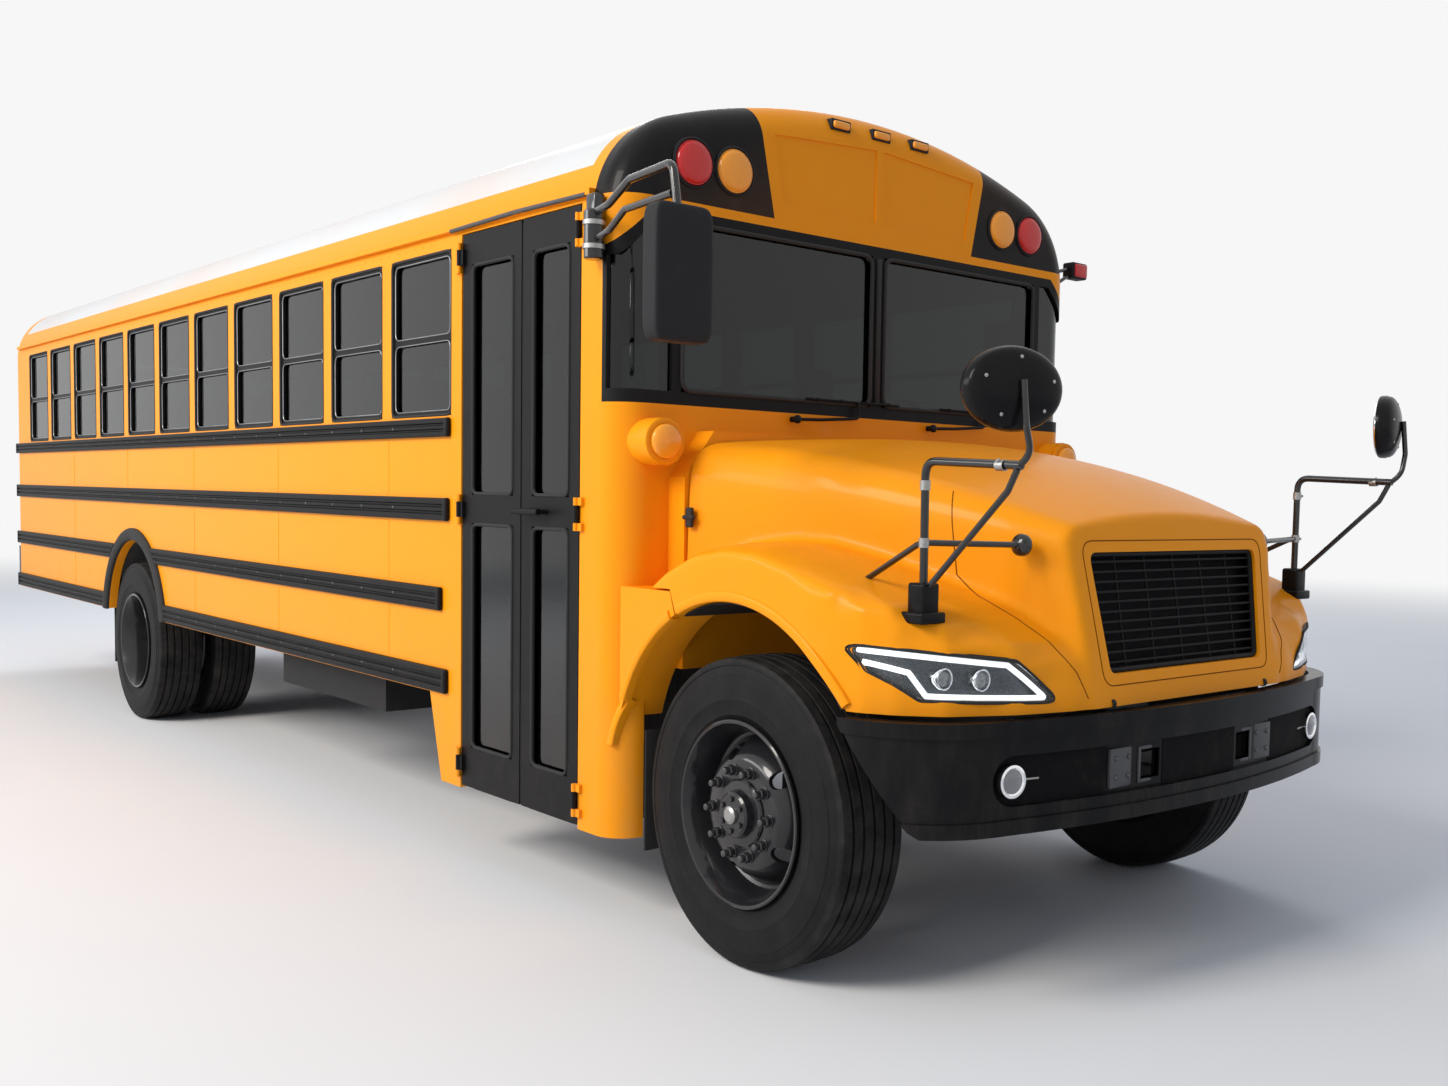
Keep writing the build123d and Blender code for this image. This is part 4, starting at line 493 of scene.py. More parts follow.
class Finish(Enum):
    """Every finish on the bus."""

    YELLOW = Paint("yellow_enamel", "yellow_paint", BUS_YELLOW)
    ROOF = RoofPaint("roof_enamel", "white_paint", BUS_YELLOW)
    BLACK = Paint("black_enamel", "black_paint", BLACK, 0.22, 0.0006, 0.06)
    SATIN_BLACK = Rubber("satin_black", "black_plastic", (0.008, 0.008, 0.009), 0.38, 0.00003, 1200, 0.15)
    RAIL_BLACK = Rubber("rail_black", "black_paint", (0.009, 0.009, 0.010), 0.42, 0.00004, 700, 0.35)
    RUBBER = Rubber("black_rubber", "black_rubber")
    PLASTIC = Rubber("grained_plastic", "black_plastic", (0.022, 0.022, 0.024), 0.5, 0.00012, 1400, 0.1)
    WHEEL = Metal("wheel_enamel", "wheel_black", (0.013, 0.013, 0.015), 0.0, 0.26, 0.02, 0.6)
    CHASSIS = Metal("chassis_enamel", "black_paint", (0.018, 0.018, 0.019), 0.0, 0.6, 0.16)
    STEEL = Metal("bare_steel", "bare_steel", (0.42, 0.42, 0.43), 1.0, 0.34, 0.06)
    CHROME = Metal("chrome_plate", "bare_steel", (0.86, 0.87, 0.89), 1.0, 0.05)
    ENGINE = Metal("engine_grey", "engine_grey", (0.10, 0.11, 0.12), 0.3, 0.55, 0.1)
    SPRING = Metal("spring_steel", "spring_steel", (0.035, 0.034, 0.034), 0.6, 0.6, 0.2)
    SIDE_GLASS = Glass("side_glass", "tinted_glass", (0.06, 0.07, 0.072))
    RED = Lens("red_lens", "red_lens", (0.52, 0.012, 0.008), 0.12)
    AMBER = Lens("amber_lens", "amber_lens", (0.90, 0.20, 0.006), 0.22)
    CLEAR = Lens("clear_lens", "lamp_lens", (0.82, 0.85, 0.88), 0.0, 60, 0.92)
    VINYL = Vinyl("seat_vinyl", "seat_vinyl", (0.030, 0.036, 0.046))
    DECK = Deck("ribbed_deck", "floor_grey", (0.035, 0.036, 0.038))
    FRONT_TYRE = TyreRubber("front_tyre_rubber", "tyre_rubber")
    REAR_TYRE = TyreRubber("rear_tyre_rubber", "tyre_rubber", axle_x=REAR_AXLE)
    NUT = Metal("blacked_nut", "bare_steel", (0.09, 0.09, 0.095), 0.8, 0.3, 0.03)
    STOP_RED = Paint("stop_red", "red_paint", (0.55, 0.012, 0.014), 0.35, 0.0, 0.1)
    STOP_WHITE = Paint("stop_white", "white_paint", (0.78, 0.78, 0.76), 0.4, 0.0, 0.1)
    LAMP_DARK = Metal("lamp_housing", "lamp_lens", (0.055, 0.065, 0.075), 0.75, 0.24, 0.01)
    LIGHT_PIPE = Lens("light_pipe", "lamp_lens", (0.93, 0.96, 1.0), 1.1, 260, 0.0)
    BEAM = Lens("beam_lens", "lamp_lens", (0.86, 0.89, 0.92), 0.0, 70, 0.8)
    BLACK_TUBE = Metal("tube_enamel", "black_paint", (0.010, 0.010, 0.011), 0.0, 0.2, 0.02, 0.8)
    # Near-black finish that stands in for shade: painted shade behind the grille bars and in the bumper
    # pocket.
    SHADE = Rubber("painted_shade_black", "black_plastic", (0.004, 0.004, 0.005), 0.75)
    BRACKET = Metal("bracket_grey", "bare_steel", (0.085, 0.085, 0.088), 0.3, 0.4, 0.05)
    # Dark yellow for the thin lines along the bonnet's grooves: painted shade of the grooves.
    GROOVE_SHADE = Rubber("painted_groove_shade", "yellow_paint", (0.20, 0.055, 0.001), 0.7)
    LAMP_GLASS = Glass("lamp_glass", "lamp_lens", (0.94, 0.955, 0.96))
    SASH = Metal("sash_aluminium", "bare_steel", (0.34, 0.34, 0.35), 0.9, 0.32, 0.04)

    @property
    def material(self) -> bpy.types.Material:
        """The finish's one material, made the first time it is asked for."""
        return bpy.data.materials.get(self.value.name) or self.value.build()


NODES: dict[Finish, str] = {
    Finish.ROOF: "roof roof_cap",
    Finish.YELLOW: "side_wall_right side_wall_left rear_wall cowl bonnet rear_door",
    Finish.SIDE_GLASS: "body_glass door_glass_front door_glass_rear rear_door_glass",
    Finish.SATIN_BLACK: (
        "window_frames rear_view_mirrors crossover_mirrors door_leaf_front door_leaf_rear wipers"
    ),
    Finish.RAIL_BLACK: "rub_rails",
    Finish.DECK: "floor",
    Finish.VINYL: "seats",
    Finish.PLASTIC: "dashboard",
    Finish.CHASSIS: "chassis_frame front_axle rear_axle fuel_tank knuckle_left knuckle_right",
    Finish.ENGINE: "engine_block",
    Finish.BLACK: "front_bumper rear_bumper grille",
    Finish.SPRING: "leaf_springs",
    Finish.STEEL: "exhaust",
    Finish.RUBBER: "arch_rubbers front_tyre_left front_tyre_right rear_tyres_left rear_tyres_right",
    Finish.CLEAR: "headlamps",
    Finish.STOP_RED: "stop_arm",
    Finish.WHEEL: "front_rim_left front_rim_right rear_rims_left rear_rims_right",
    Finish.RED: "red_lamps",
    Finish.AMBER: "amber_lamps",
}


def dress_nodes() -> None:
    """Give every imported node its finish."""
    finish_of = {name: finish for finish, names in NODES.items() for name in names.split()}
    for name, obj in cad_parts.items():
        obj.data.materials.clear()
        obj.data.materials.append(finish_of[name].material)
    log.info("dressed %d nodes", len(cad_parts))


def polar(degrees: float) -> Pair:
    """Cosine and sine of an angle."""
    return math.cos(math.radians(degrees)), math.sin(math.radians(degrees))


def bridge(
    part: bmesh.types.BMesh, rings: Sequence[Sequence[bmesh.types.BMVert]], looped: bool = False,
) -> None:
    """Join rings of corners with faces that point outward.

    Args:
        part: The mesh that holds them.
        rings: The rings in order; a ring of one corner is a pole.
        looped: Whether the last ring joins the first, so that no end is closed.
    """
    for first, second in zip(rings, [*rings[1:], *rings[:1]] if looped else rings[1:]):
        count = max(len(first), len(second))
        for i in range(count):
            j = (i + 1) % count
            near, far = (first[k % len(first)] for k in (i, j)), (second[k % len(second)] for k in (j, i))
            kept = list(dict.fromkeys((*near, *far)))
            if len(kept) > 2:
                part.faces.new(kept)
    for ring in () if looped else (rings[0], rings[-1]):
        if len(ring) > 2:
            part.faces.new(ring)
    bmesh.ops.recalc_face_normals(part, faces=part.faces[:])


class Form:
    """One piece's mesh while it is being made, from turned, bent and cut shapes."""

    def __init__(self, name: str, *finishes: Finish) -> None:
        """Start an empty piece.

        Args:
            name: The piece's name.
            finishes: Its finishes; shapes take the first until use() is called.
        """
        self.name = name
        self.finishes = list(finishes)
        self.mesh = bmesh.new()
        self.current = 0

    def use(self, finish: Finish) -> "Form":
        """Make the next shapes in another finish."""
        if finish not in self.finishes:
            self.finishes.append(finish)
        self.current = self.finishes.index(finish)
        return self

    def join(self, part: bmesh.types.BMesh) -> None:
        """Add a finished shape in the present finish."""
        for face in part.faces:
            face.material_index = self.current
        scratch = bpy.data.meshes.new("scratch")
        part.to_mesh(scratch)
        part.free()
        self.mesh.from_mesh(scratch)
        bpy.data.meshes.remove(scratch)

    def rings(self, rings: Iterable[Iterable[Sequence[float]]], looped: bool = False) -> None:
        """Add a skin over rings of points; looped joins its end to its start."""
        part = bmesh.new()
        bridge(part, [[part.verts.new(spot) for spot in ring] for ring in rings], looped)
        self.join(part)

    def box(self, low: Sequence[float], high: Sequence[float], bevel: float = 0.0, segments: int = 2) -> None:
        """Add a box between two corners, with its edges rounded.

        Args:
            low: One corner.
            high: The opposite corner.
            bevel: Radius of its edges.
            segments: Facets across each edge.
        """
        part = bmesh.new()
        size = Vector(high) - Vector(low)
        middle = (Vector(high) + Vector(low)) / 2
        place = Matrix.Translation(middle) @ Matrix.Diagonal((abs(size.x), abs(size.y), abs(size.z), 1))
        bmesh.ops.create_cube(part, size=1, matrix=place)
        self.soften(part, bevel, segments)
        self.join(part)

    def soften(self, part: bmesh.types.BMesh, bevel: float, segments: int = 2) -> None:
        """Round every edge of a shape, unless the radius is 0."""
        if bevel:
            edges = part.edges[:]
            bmesh.ops.bevel(part, geom=edges, offset=bevel, segments=segments, affect="EDGES", profile=0.5)

    def block(
        self, middle: Sequence[float], half: Sequence[float], bevel: float = 0.0, segments: int = 2,
    ) -> None:
        """Add a box from its middle and its half sizes."""
        low, high = ([m + way * h for m, h in zip(middle, half)] for way in (-1, 1))
        self.box(low, high, bevel, segments)

    def turned(
        self, profile: Sequence[Pair], origin: Sequence[float], direction: Sequence[float],
        segments: int = 32, closed: bool = False,
    ) -> None:
        """Add a turned shape.

        Args:
            profile: Distances along the axis with radii there.
            origin: The point where the distance is 0.
            direction: The axis.
            segments: Facets round the axis.
            closed: Whether the profile's end joins its start, as in a ring.
        """
        axis = Vector(direction).normalized()
        out = axis.orthogonal().normalized()
        rings = []
        for along, radius in profile:
            centre = Vector(origin) + axis * along
            turns = [Matrix.Rotation(2 * math.pi * i / segments, 3, axis) for i in range(segments)]
            rings.append([centre] if radius < 1e-6 else [centre + (turn @ out) * radius for turn in turns])
        self.rings(rings, closed)

    def bar(self, start: Sequence[float], end: Sequence[float], radius: float, sides: int = 20) -> None:
        """Add a round bar with softened ends between two points."""
        span = Vector(end) - Vector(start)
        end_at = span.length
        soft = min(radius * 0.18, end_at * 0.2)
        profile = ((0, radius - soft), (soft, radius), (end_at - soft, radius), (end_at, radius - soft))
        self.turned(profile, start, span, sides)

    def pipe(
        self, points: Sequence[Sequence[float]], radius: float, bend: float = 0.03, sides: int = 16,
    ) -> None:
        """Add a bent tube through points.

        Args:
            points: The corners of its route.
            radius: The tube's radius.
            bend: Radius of its bends.
            sides: Facets round the tube.
        """
        route = rounded_route([Vector(p) for p in points], bend)
        rings = []
        side = (route[1] - route[0]).orthogonal().normalized()
        for i, here in enumerate(route):
            ahead = (route[min(i + 1, len(route) - 1)] - route[max(i - 1, 0)]).normalized()
            side = (side - ahead * side.dot(ahead)).normalized()
            up = ahead.cross(side)
            spokes = [2 * math.pi * k / sides for k in range(sides)]
            rings.append([here + (side * math.cos(a) + up * math.sin(a)) * radius for a in spokes])
        self.rings(rings)

    def gasket(
        self, place: Callable[[float, float], Point], middle: float, half: float, low: float, high: float,
        radius: float, bend: float = 0.035, sides: int = 8,
    ) -> None:
        """Add a rounded loop round an upright opening.

        Args:
            place: Turns a place across the opening and a height into a point.
            middle: The opening's middle.
            half: Its half width.
            low: Its lower edge.
            high: Its upper edge.
            radius: Radius of the loop's cord.
            bend: Radius of its corners.
            sides: Facets round the cord.
        """
        foot, head = ((middle, low), (middle + half, low)), ((middle + half, high), (middle - half, high))
        corners = (*foot, *head, (middle - half, low), (middle, low))
        self.pipe([place(across, height) for across, height in corners], radius, bend, sides)

    def slab(
        self, outline: Sequence[Pair], origin: Sequence[float], across: Sequence[float],
        up: Sequence[float], thickness: float, bevel: float = 0.0,
    ) -> None:
        """Add a flat plate cut to an outline.

        Args:
            outline: Corners in the plate's own two directions.
            origin: Where its outline's zero lies.
            across: Direction of the outline's first number.
            up: Direction of the second.
            thickness: How far it rises along across x up.
            bevel: Radius of its edges.
        """
        part = bmesh.new()
        first, second = Vector(across).normalized(), Vector(up).normalized()
        rise = first.cross(second) * thickness
        foot = [part.verts.new(Vector(origin) + first * a + second * b) for a, b in outline]
        bridge(part, [foot, [part.verts.new(corner.co + rise) for corner in foot]])
        self.soften(part, bevel)
        self.join(part)

    def mirrored(self) -> None:
        """Add the other side's copy of all that is made so far."""
        made = self.mesh.verts[:] + self.mesh.edges[:] + self.mesh.faces[:]
        twin = bmesh.ops.duplicate(self.mesh, geom=made)["geom"]
        faces = [g for g in twin if isinstance(g, bmesh.types.BMFace)]
        for vert in (g for g in twin if isinstance(g, bmesh.types.BMVert)):
            vert.co.y = -vert.co.y
        bmesh.ops.reverse_faces(self.mesh, faces=faces)

    def finish(self, body: str, replaces: Iterable[str] = (), smooth: float = 32) -> bpy.types.Object:
        """Turn the shapes into a piece of the bus.

        Args:
            body: The body that it rides on.
            replaces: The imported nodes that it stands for.
            smooth: Edges sharper than this many degrees stay crisp.

        Returns:
            The piece.
        """
        data = bpy.data.meshes.new(self.name)
        self.mesh.to_mesh(data)
        self.mesh.free()
        return place_piece(data, self.name, self.finishes, body, replaces, smooth)


def rounded_corner(before: Vector, corner: Vector, after: Vector, bend: float, steps: int) -> list[Vector]:
    """Round one corner of a route or an outline.

    Args:
        before: The corner before it.
        corner: The corner.
        after: The corner after it.
        bend: Radius of the bend, less where a run is short.
        steps: Points round it, less one.

    Returns:
        The bend's points.
    """
    back, ahead = before - corner, after - corner
    reach = min(bend / math.tan(back.angle(ahead) / 2), back.length * 0.45, ahead.length * 0.45)
    start, end = corner + back.normalized() * reach, corner + ahead.normalized() * reach
    shares = [k / steps for k in range(steps + 1)]
    return [start.lerp(corner, t).lerp(corner.lerp(end, t), t) for t in shares]


def rounded_route(points: list[Vector], bend: float) -> list[Vector]:
    """Round the corners of a route that has two ends."""
    route = [points[0]]
    for before, corner, after in zip(points, points[1:], points[2:]):
        route += rounded_corner(before, corner, after, bend, 8)
    return [*route, points[-1]]


def rounded_outline(corners: Sequence[Pair], radius: float) -> list[Pair]:
    """Round the corners of a closed flat outline."""
    spots = [Vector(corner) for corner in corners]
    points = []
    for before, corner, after in zip(spots[-1:] + spots[:-1], spots, spots[1:] + spots[:1]):
        points += rounded_corner(before, corner, after, radius, 6)
    return [(point.x, point.y) for point in points]


def place_piece(
    data: bpy.types.Mesh, name: str, finishes: Sequence[Finish], body: str, replaces: Iterable[str] = (),
    smooth: float = 32,
) -> bpy.types.Object:
    """Make a mesh a piece of the bus.

    Args:
        data: Its mesh, in place.
        name: Its name.
        finishes: Its finishes in the order of its material indices.
        body: The body that it rides on.
        replaces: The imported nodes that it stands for.
        smooth: Edges sharper than this many degrees stay crisp.

    Returns:
        The piece.
    """
    if data.materials:
        data.materials.clear()
    for finish in finishes:
        data.materials.append(finish.material)
    data.shade_smooth()
    data.set_sharp_from_angle(angle=math.radians(smooth))
    piece = linked(name, data)
    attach(piece, body)
    if replaces:
        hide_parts(*replaces)
    log.info("%s: %d faces on %s", name, len(data.polygons), body)
    return piece


def from_axle(point: Sequence[float]) -> Point:
    """A point measured from the front axle, in the frame."""
    return AXLE + point[0], point[1], point[2]


def linked(name: str, data: bpy.types.ID) -> bpy.types.Object:
    """A new object in the scene."""
    made = bpy.data.objects.new(name, data)
    bpy.context.scene.collection.objects.link(made)
    return made


def evaluated(obj: bpy.types.Object) -> bpy.types.Mesh:
    """The object's mesh with its modifiers applied."""
    return bpy.data.meshes.new_from_object(obj.evaluated_get(bpy.context.evaluated_depsgraph_get()))


class StudTree:
    """Domed fasteners set on points by geometry nodes."""

    def __init__(self) -> None:
        """Build the tree with named sizes."""
        self.tree = bpy.data.node_groups.new("studs", "GeometryNodeTree")
        face = self.tree.interface
        kinds = {"Geometry": "Geometry", "Radius": "Float", "Height": "Float", "Sides": "Int"}
        for label, kind in {**kinds, "Finish": "Material"}.items():
            face.new_socket(label, in_out="INPUT", socket_type="NodeSocket" + kind)
        face.new_socket("Geometry", in_out="OUTPUT", socket_type="NodeSocketGeometry")
        given = self.tree.nodes.new("NodeGroupInput").outputs
        radius, height = given["Radius"], given["Height"]
        dome = self.add("GeometryNodeMeshUVSphere", {"Segments": given["Sides"], "Rings": 5, "Radius": 1.0})
        size = self.add("ShaderNodeCombineXYZ", {"X": radius, "Y": radius, "Z": height})
        shaped = self.add("GeometryNodeTransform", {"Geometry": dome, "Scale": size})
        vector = {"data_type": "FLOAT_VECTOR"}
        facing = self.add("GeometryNodeInputNamedAttribute", {"Name": "facing"}, vector)
        turn = self.add("FunctionNodeAlignRotationToVector", {"Vector": facing}, {"axis": "Z"})
        spots = {"Points": given["Geometry"], "Instance": shaped, "Rotation": turn}
        placed = self.add("GeometryNodeInstanceOnPoints", spots)
        real = self.add("GeometryNodeRealizeInstances", {"Geometry": placed})
        dressed = self.add("GeometryNodeSetMaterial", {"Geometry": real, "Material": given["Finish"]})
        self.tree.links.new(dressed, self.tree.nodes.new("NodeGroupOutput").inputs["Geometry"])

    def add(self, kind: str, inputs: dict, settings: dict | None = None) -> bpy.types.NodeSocket:
        """Add one node to the tree.

        Args:
            kind: The node's type.
            inputs: Socket names with a value or a link.
            settings: Properties that are set first.

        Returns:
            The node's first output.
        """
        node = self.tree.nodes.new(kind)
        for key, setting in (settings or {}).items():
            setattr(node, key, setting)
        for key, given in inputs.items():
            if isinstance(given, bpy.types.NodeSocket):
                self.tree.links.new(given, node.inputs[key])
            else:
                node.inputs[key].default_value = given
        return node.outputs[0]

    def set_on(
        self, name: str, places: Sequence[tuple[Sequence[float], Sequence[float]]],
        radius: float, height: float, finish: Finish, body: str, sides: int = 8,
    ) -> None:
        """Put a fastener at each place.

        Args:
            name: The piece's name.
            places: Points with the way that each head faces.
            radius: Radius of a head.
            height: How far a head stands up.
            finish: The heads' finish.
            body: The body that carries them.
            sides: Facets round a head.
        """
        host = bpy.data.meshes.new(name + "_places")
        host.from_pydata([tuple(point) for point, _ in places], [], [])
        facing = host.attributes.new("facing", "FLOAT_VECTOR", "POINT")
        facing.data.foreach_set("vector", [c for _, way in places for c in way])
        carrier = linked(name + "_places", host)
        modifier = carrier.modifiers.new("studs", "NODES")
        modifier.node_group = self.tree
        items = self.tree.interface.items_tree
        ids = {item.name: item.identifier for item in items if item.in_out == "INPUT"}
        values = {"Radius": radius, "Height": height, "Sides": sides, "Finish": finish.material}
        for label, value in values.items():
            modifier[ids[label]] = value
        data = evaluated(carrier)
        bpy.data.objects.remove(carrier)
        place_piece(data, name, [finish], body, smooth=50)


studs = StudTree()


def working(solid: bmesh.types.BMesh) -> bpy.types.Object:
    """A passing object made of a mesh, which is used up."""
    data = bpy.data.meshes.new("work")
    solid.to_mesh(data)
    solid.free()
    return linked("work", data)


def taken(work: bpy.types.Object) -> bmesh.types.BMesh:
    """The mesh that a passing object's modifiers give; the object is removed."""
    data = evaluated(work)
    result = bmesh.new()
    result.from_mesh(data)
    bpy.data.meshes.remove(data)
    bpy.data.objects.remove(work)
    return result


def voxelled(work: bpy.types.Object, voxel: float) -> None:
    """Remake a passing object's skin in even facets of one size."""
    remesh = work.modifiers.new("remesh", "REMESH")
    remesh.mode = "VOXEL"
    remesh.voxel_size = voxel


def cut(solid: bmesh.types.BMesh, cutter: bmesh.types.BMesh) -> bmesh.types.BMesh:
    """Cut one closed mesh out of another; both are used up."""
    work, tool = working(solid), working(cutter)
    modifier = work.modifiers.new("cut", "BOOLEAN")
    modifier.operation = "DIFFERENCE"
    modifier.solver = "EXACT"
    modifier.object = tool
    result = taken(work)
    bpy.data.objects.remove(tool)
    return result


def smoothed(solid: bmesh.types.BMesh, voxel: float, rounds: int) -> bmesh.types.BMesh:
    """Melt closed shapes, which may overlap, into one smooth skin.

    Args:
        solid: The shapes, which are used up.
        voxel: Size of the new skin's faces.
        rounds: How often each corner is averaged with its neighbours.

    Returns:
        The smooth skin.
    """
    work = working(solid)
    voxelled(work, voxel)
    ease = work.modifiers.new("ease", "SMOOTH")
    ease.factor = 0.5
    ease.iterations = rounds
    return taken(work)


def lofted(rings: Iterable[Iterable[Sequence[float]]]) -> bmesh.types.BMesh:
    """Join closed rings of points into one closed mesh."""
    solid = bmesh.new()
    bridge(solid, [[solid.verts.new(point) for point in ring] for ring in rings])
    return solid


def blended(values: Sequence[tuple[float, ...]], share: float) -> tuple[float, ...]:
    """Smooth curve through three rows of values at even spacing."""
    first, middle, last = values
    a, b, c = (1 - share) * (1 - 2 * share), 4 * share * (1 - share), share * (2 * share - 1)
    return tuple(a * p + b * q + c * r for p, q, r in zip(first, middle, last))


def height_at(points: Sequence[Pair], along: float) -> float:
    """Read a bent line's second number at a value of its first, held at its ends."""
    if along <= points[0][0]:
        return points[0][1]
    for (a, first), (b, second) in zip(points, points[1:]):
        if along <= b:
            return first + (second - first) * (along - a) / (b - a)
    return points[-1][1]


def tree_of(mesh: bpy.types.Mesh, place: Matrix) -> BVHTree:
    """A mesh's faces in place, for meeting straight lines."""
    corners = [place @ vert.co for vert in mesh.vertices]
    return BVHTree.FromPolygons(corners, [tuple(face.vertices) for face in mesh.polygons])


@cache
def tree_of_node(node: str) -> BVHTree:
    """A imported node's faces."""
    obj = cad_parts[node]
    return tree_of(obj.data, obj.matrix_world)


def skin_at(node: str, origin: Sequence[float], way: Sequence[float]) -> Vector:
    """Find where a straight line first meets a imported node.

    Args:
        node: The node's name.
        origin: Where the line starts.
        way: Its direction.

    Returns:
        The point.
    """
    point, _, _, _ = tree_of_node(node).ray_cast(Vector(origin), Vector(way).normalized())
    if point is None:
        raise ValueError(f"{node} isn't met from {tuple(origin)}")
    return point


@dataclass
class Wheels:
    """Tyres and steel disc wheels: single and domed in front, twinned and dished behind.

    Sections are corners of distance outboard and radius.

    Attributes:
        tyre_r: Radius over the tread.
        tread_half: Half the tread's width.
        front_y: The front wheels' centre from the middle of the bus.
        twin_y: The outer and inner twins' centres.
        nuts: Nuts round each disc.
        nut_circle: Radius of their circle.
        holes: Hand holes in each disc.
        grooves: Middles of the tread's grooves.
        groove_half: Half width of a groove.
        groove_depth: Its depth.
        lip: Width of a groove's bevelled edge.
        crown: How much lower the tread is at its edge.
        wall: Section of the outboard sidewall, from tread to bead.
        inside: Section of the tyre's inner face.
        rim: Section of every wheel's rim.
        dome: The rest of a front wheel, whose disc is domed outward.
        dish: The rest of a rear wheel, whose disc is dished from the outboard rim.
    """

    tyre_r: float = 0.511
    tread_half: float = 0.121
    front_y: float = 1.007
    twin_y: Pair = (1.083, 0.753)
    nuts: int = 10
    nut_circle: float = 0.143
    holes: int = 5
    grooves: tuple[float, ...] = (-0.084, -0.043, 0.0, 0.043, 0.084)
    groove_half: float = 0.0048
    groove_depth: float = 0.013
    lip: float = 0.0015
    crown: float = 0.006
    wall: tuple[Pair, ...] = (
        (0.1195, 0.5030), (0.1235, 0.4985), (0.1262, 0.4900), (0.1268, 0.4820), (0.1246, 0.4795),
        (0.1262, 0.4760), (0.1318, 0.4560), (0.1322, 0.4525), (0.1350, 0.4490), (0.1384, 0.4200),
        (0.1390, 0.3950), (0.1382, 0.3750), (0.1392, 0.3715), (0.1372, 0.3660), (0.1340, 0.3450),
        (0.1290, 0.3260), (0.1296, 0.3215), (0.1268, 0.3180), (0.1215, 0.3080), (0.1180, 0.3000),
        (0.1130, 0.2920),
    )
    inside: tuple[Pair, ...] = (
        (0.1080, 0.300), (0.118, 0.360), (0.112, 0.440), (0.090, 0.475),
        (-0.090, 0.475), (-0.112, 0.440), (-0.118, 0.360), (-0.1080, 0.300),
    )
    rim: tuple[Pair, ...] = (
        (-0.142, 0.290), (-0.142, 0.302), (-0.130, 0.306), (-0.118, 0.298), (-0.105, 0.288), (-0.050, 0.270),
        (0.050, 0.270), (0.105, 0.288), (0.118, 0.298), (0.130, 0.306), (0.139, 0.306), (0.142, 0.301),
        (0.140, 0.294), (0.128, 0.288), (0.100, 0.276),
    )
    dome: tuple[Pair, ...] = (
        (0.060, 0.262), (0.030, 0.258), (0.024, 0.248), (0.032, 0.238), (0.060, 0.222), (0.088, 0.204),
        (0.106, 0.186), (0.113, 0.170), (0.113, 0.110), (0.101, 0.110), (0.101, 0.166), (0.094, 0.180),
        (0.076, 0.196), (0.046, 0.215), (0.014, 0.232), (0.008, 0.255), (0.0, 0.262), (-0.050, 0.262),
        (-0.100, 0.278), (-0.128, 0.288),
    )
    dish: tuple[Pair, ...] = (
        (0.040, 0.262), (-0.040, 0.254), (-0.074, 0.240), (-0.096, 0.214), (-0.108, 0.186), (-0.112, 0.170),
        (-0.112, 0.110), (-0.126, 0.110), (-0.126, 0.172), (-0.120, 0.196), (-0.104, 0.226), (-0.080, 0.252),
        (-0.060, 0.262), (-0.100, 0.278), (-0.128, 0.288),
    )

    def tyre(self, form: Form, origin: Point, way: Point) -> None:
        """Add one grooved tyre."""
        tread = []
        for groove in self.grooves:
            edge = self.tyre_r - self.crown * (abs(groove) / self.tread_half) ** 2
            rising = (
                (self.groove_half * 0.7, edge - self.groove_depth), (self.groove_half, edge - self.lip),
                (self.groove_half + self.lip, edge),
            )
            tread += [(groove - out, radius) for out, radius in reversed(rising)]
            tread += [(groove + out, radius) for out, radius in rising]
        inboard = [(-out, radius) for out, radius in reversed(self.wall)]
        form.turned([*inboard, *tread, *self.wall, *self.inside], origin, way, 144, closed=True)

    def circle(
        self, origin: Point, way: Point, count: int, radius: float, start: float = 0.0, rise: float = 0.0,
    ) -> list[Vector]:
        """Points evenly round a wheel's axis.

        Args:
            origin: The wheel's centre.
            way: The outboard direction.
            count: How many points.
            radius: Radius of their circle.
            start: Share of a step by which the first stands off the top.
            rise: How far outboard they lie.

        Returns:
            The points.
        """
        axis = Vector(way)
        turns = [Matrix.Rotation(2 * math.pi * (i + start) / count, 3, axis) for i in range(count)]
        return [Vector(origin) + turn @ Vector((0, 0, radius)) + axis * rise for turn in turns]

    def disc(
        self, form: Form, rest: tuple[Pair, ...], origin: Point, way: Point, hole_r: float, at: float,
    ) -> None:
        """Add a rim with its disc, pierced by the hand holes.

        Args:
            form: The piece.
            rest: The section beyond the rim.
            origin: The wheel's centre.
            way: The outboard direction.
            hole_r: Radius of a hand hole.
            at: Radius of the circle that the holes lie on.
        """
        blank, cutter = Form("disc"), Form("holes")
        blank.turned([*self.rim, *rest], origin, way, 96, closed=True)
        reach = Vector(way) * 0.16
        for centre in self.circle(origin, way, self.holes, at, 0.3):
            cutter.bar(centre - reach, centre + reach, hole_r, 20)
        form.use(Finish.WHEEL).join(cut(blank.mesh, cutter.mesh))

    def fasten(self, form: Form, origin: Point, way: Point, at: float) -> None:
        """Add the hexagon nuts of one disc, each with its washer and bright cap."""
        for foot in self.circle(origin, way, self.nuts, self.nut_circle, 0.5, at):
            form.use(Finish.WHEEL).turned(((-0.003, 0.021), (0.004, 0.021), (0.005, 0.019)), foot, way, 20)
            form.use(Finish.NUT).turned(((0.004, 0.0175), (0.022, 0.0175), (0.025, 0.0155)), foot, way, 6)
            cap = ((0.025, 0.0125), (0.038, 0.0125), (0.043, 0.0105), (0.045, 0.005), (0.0455, 0))
            form.turned(cap, foot, way, 18)
        form.use(Finish.WHEEL)

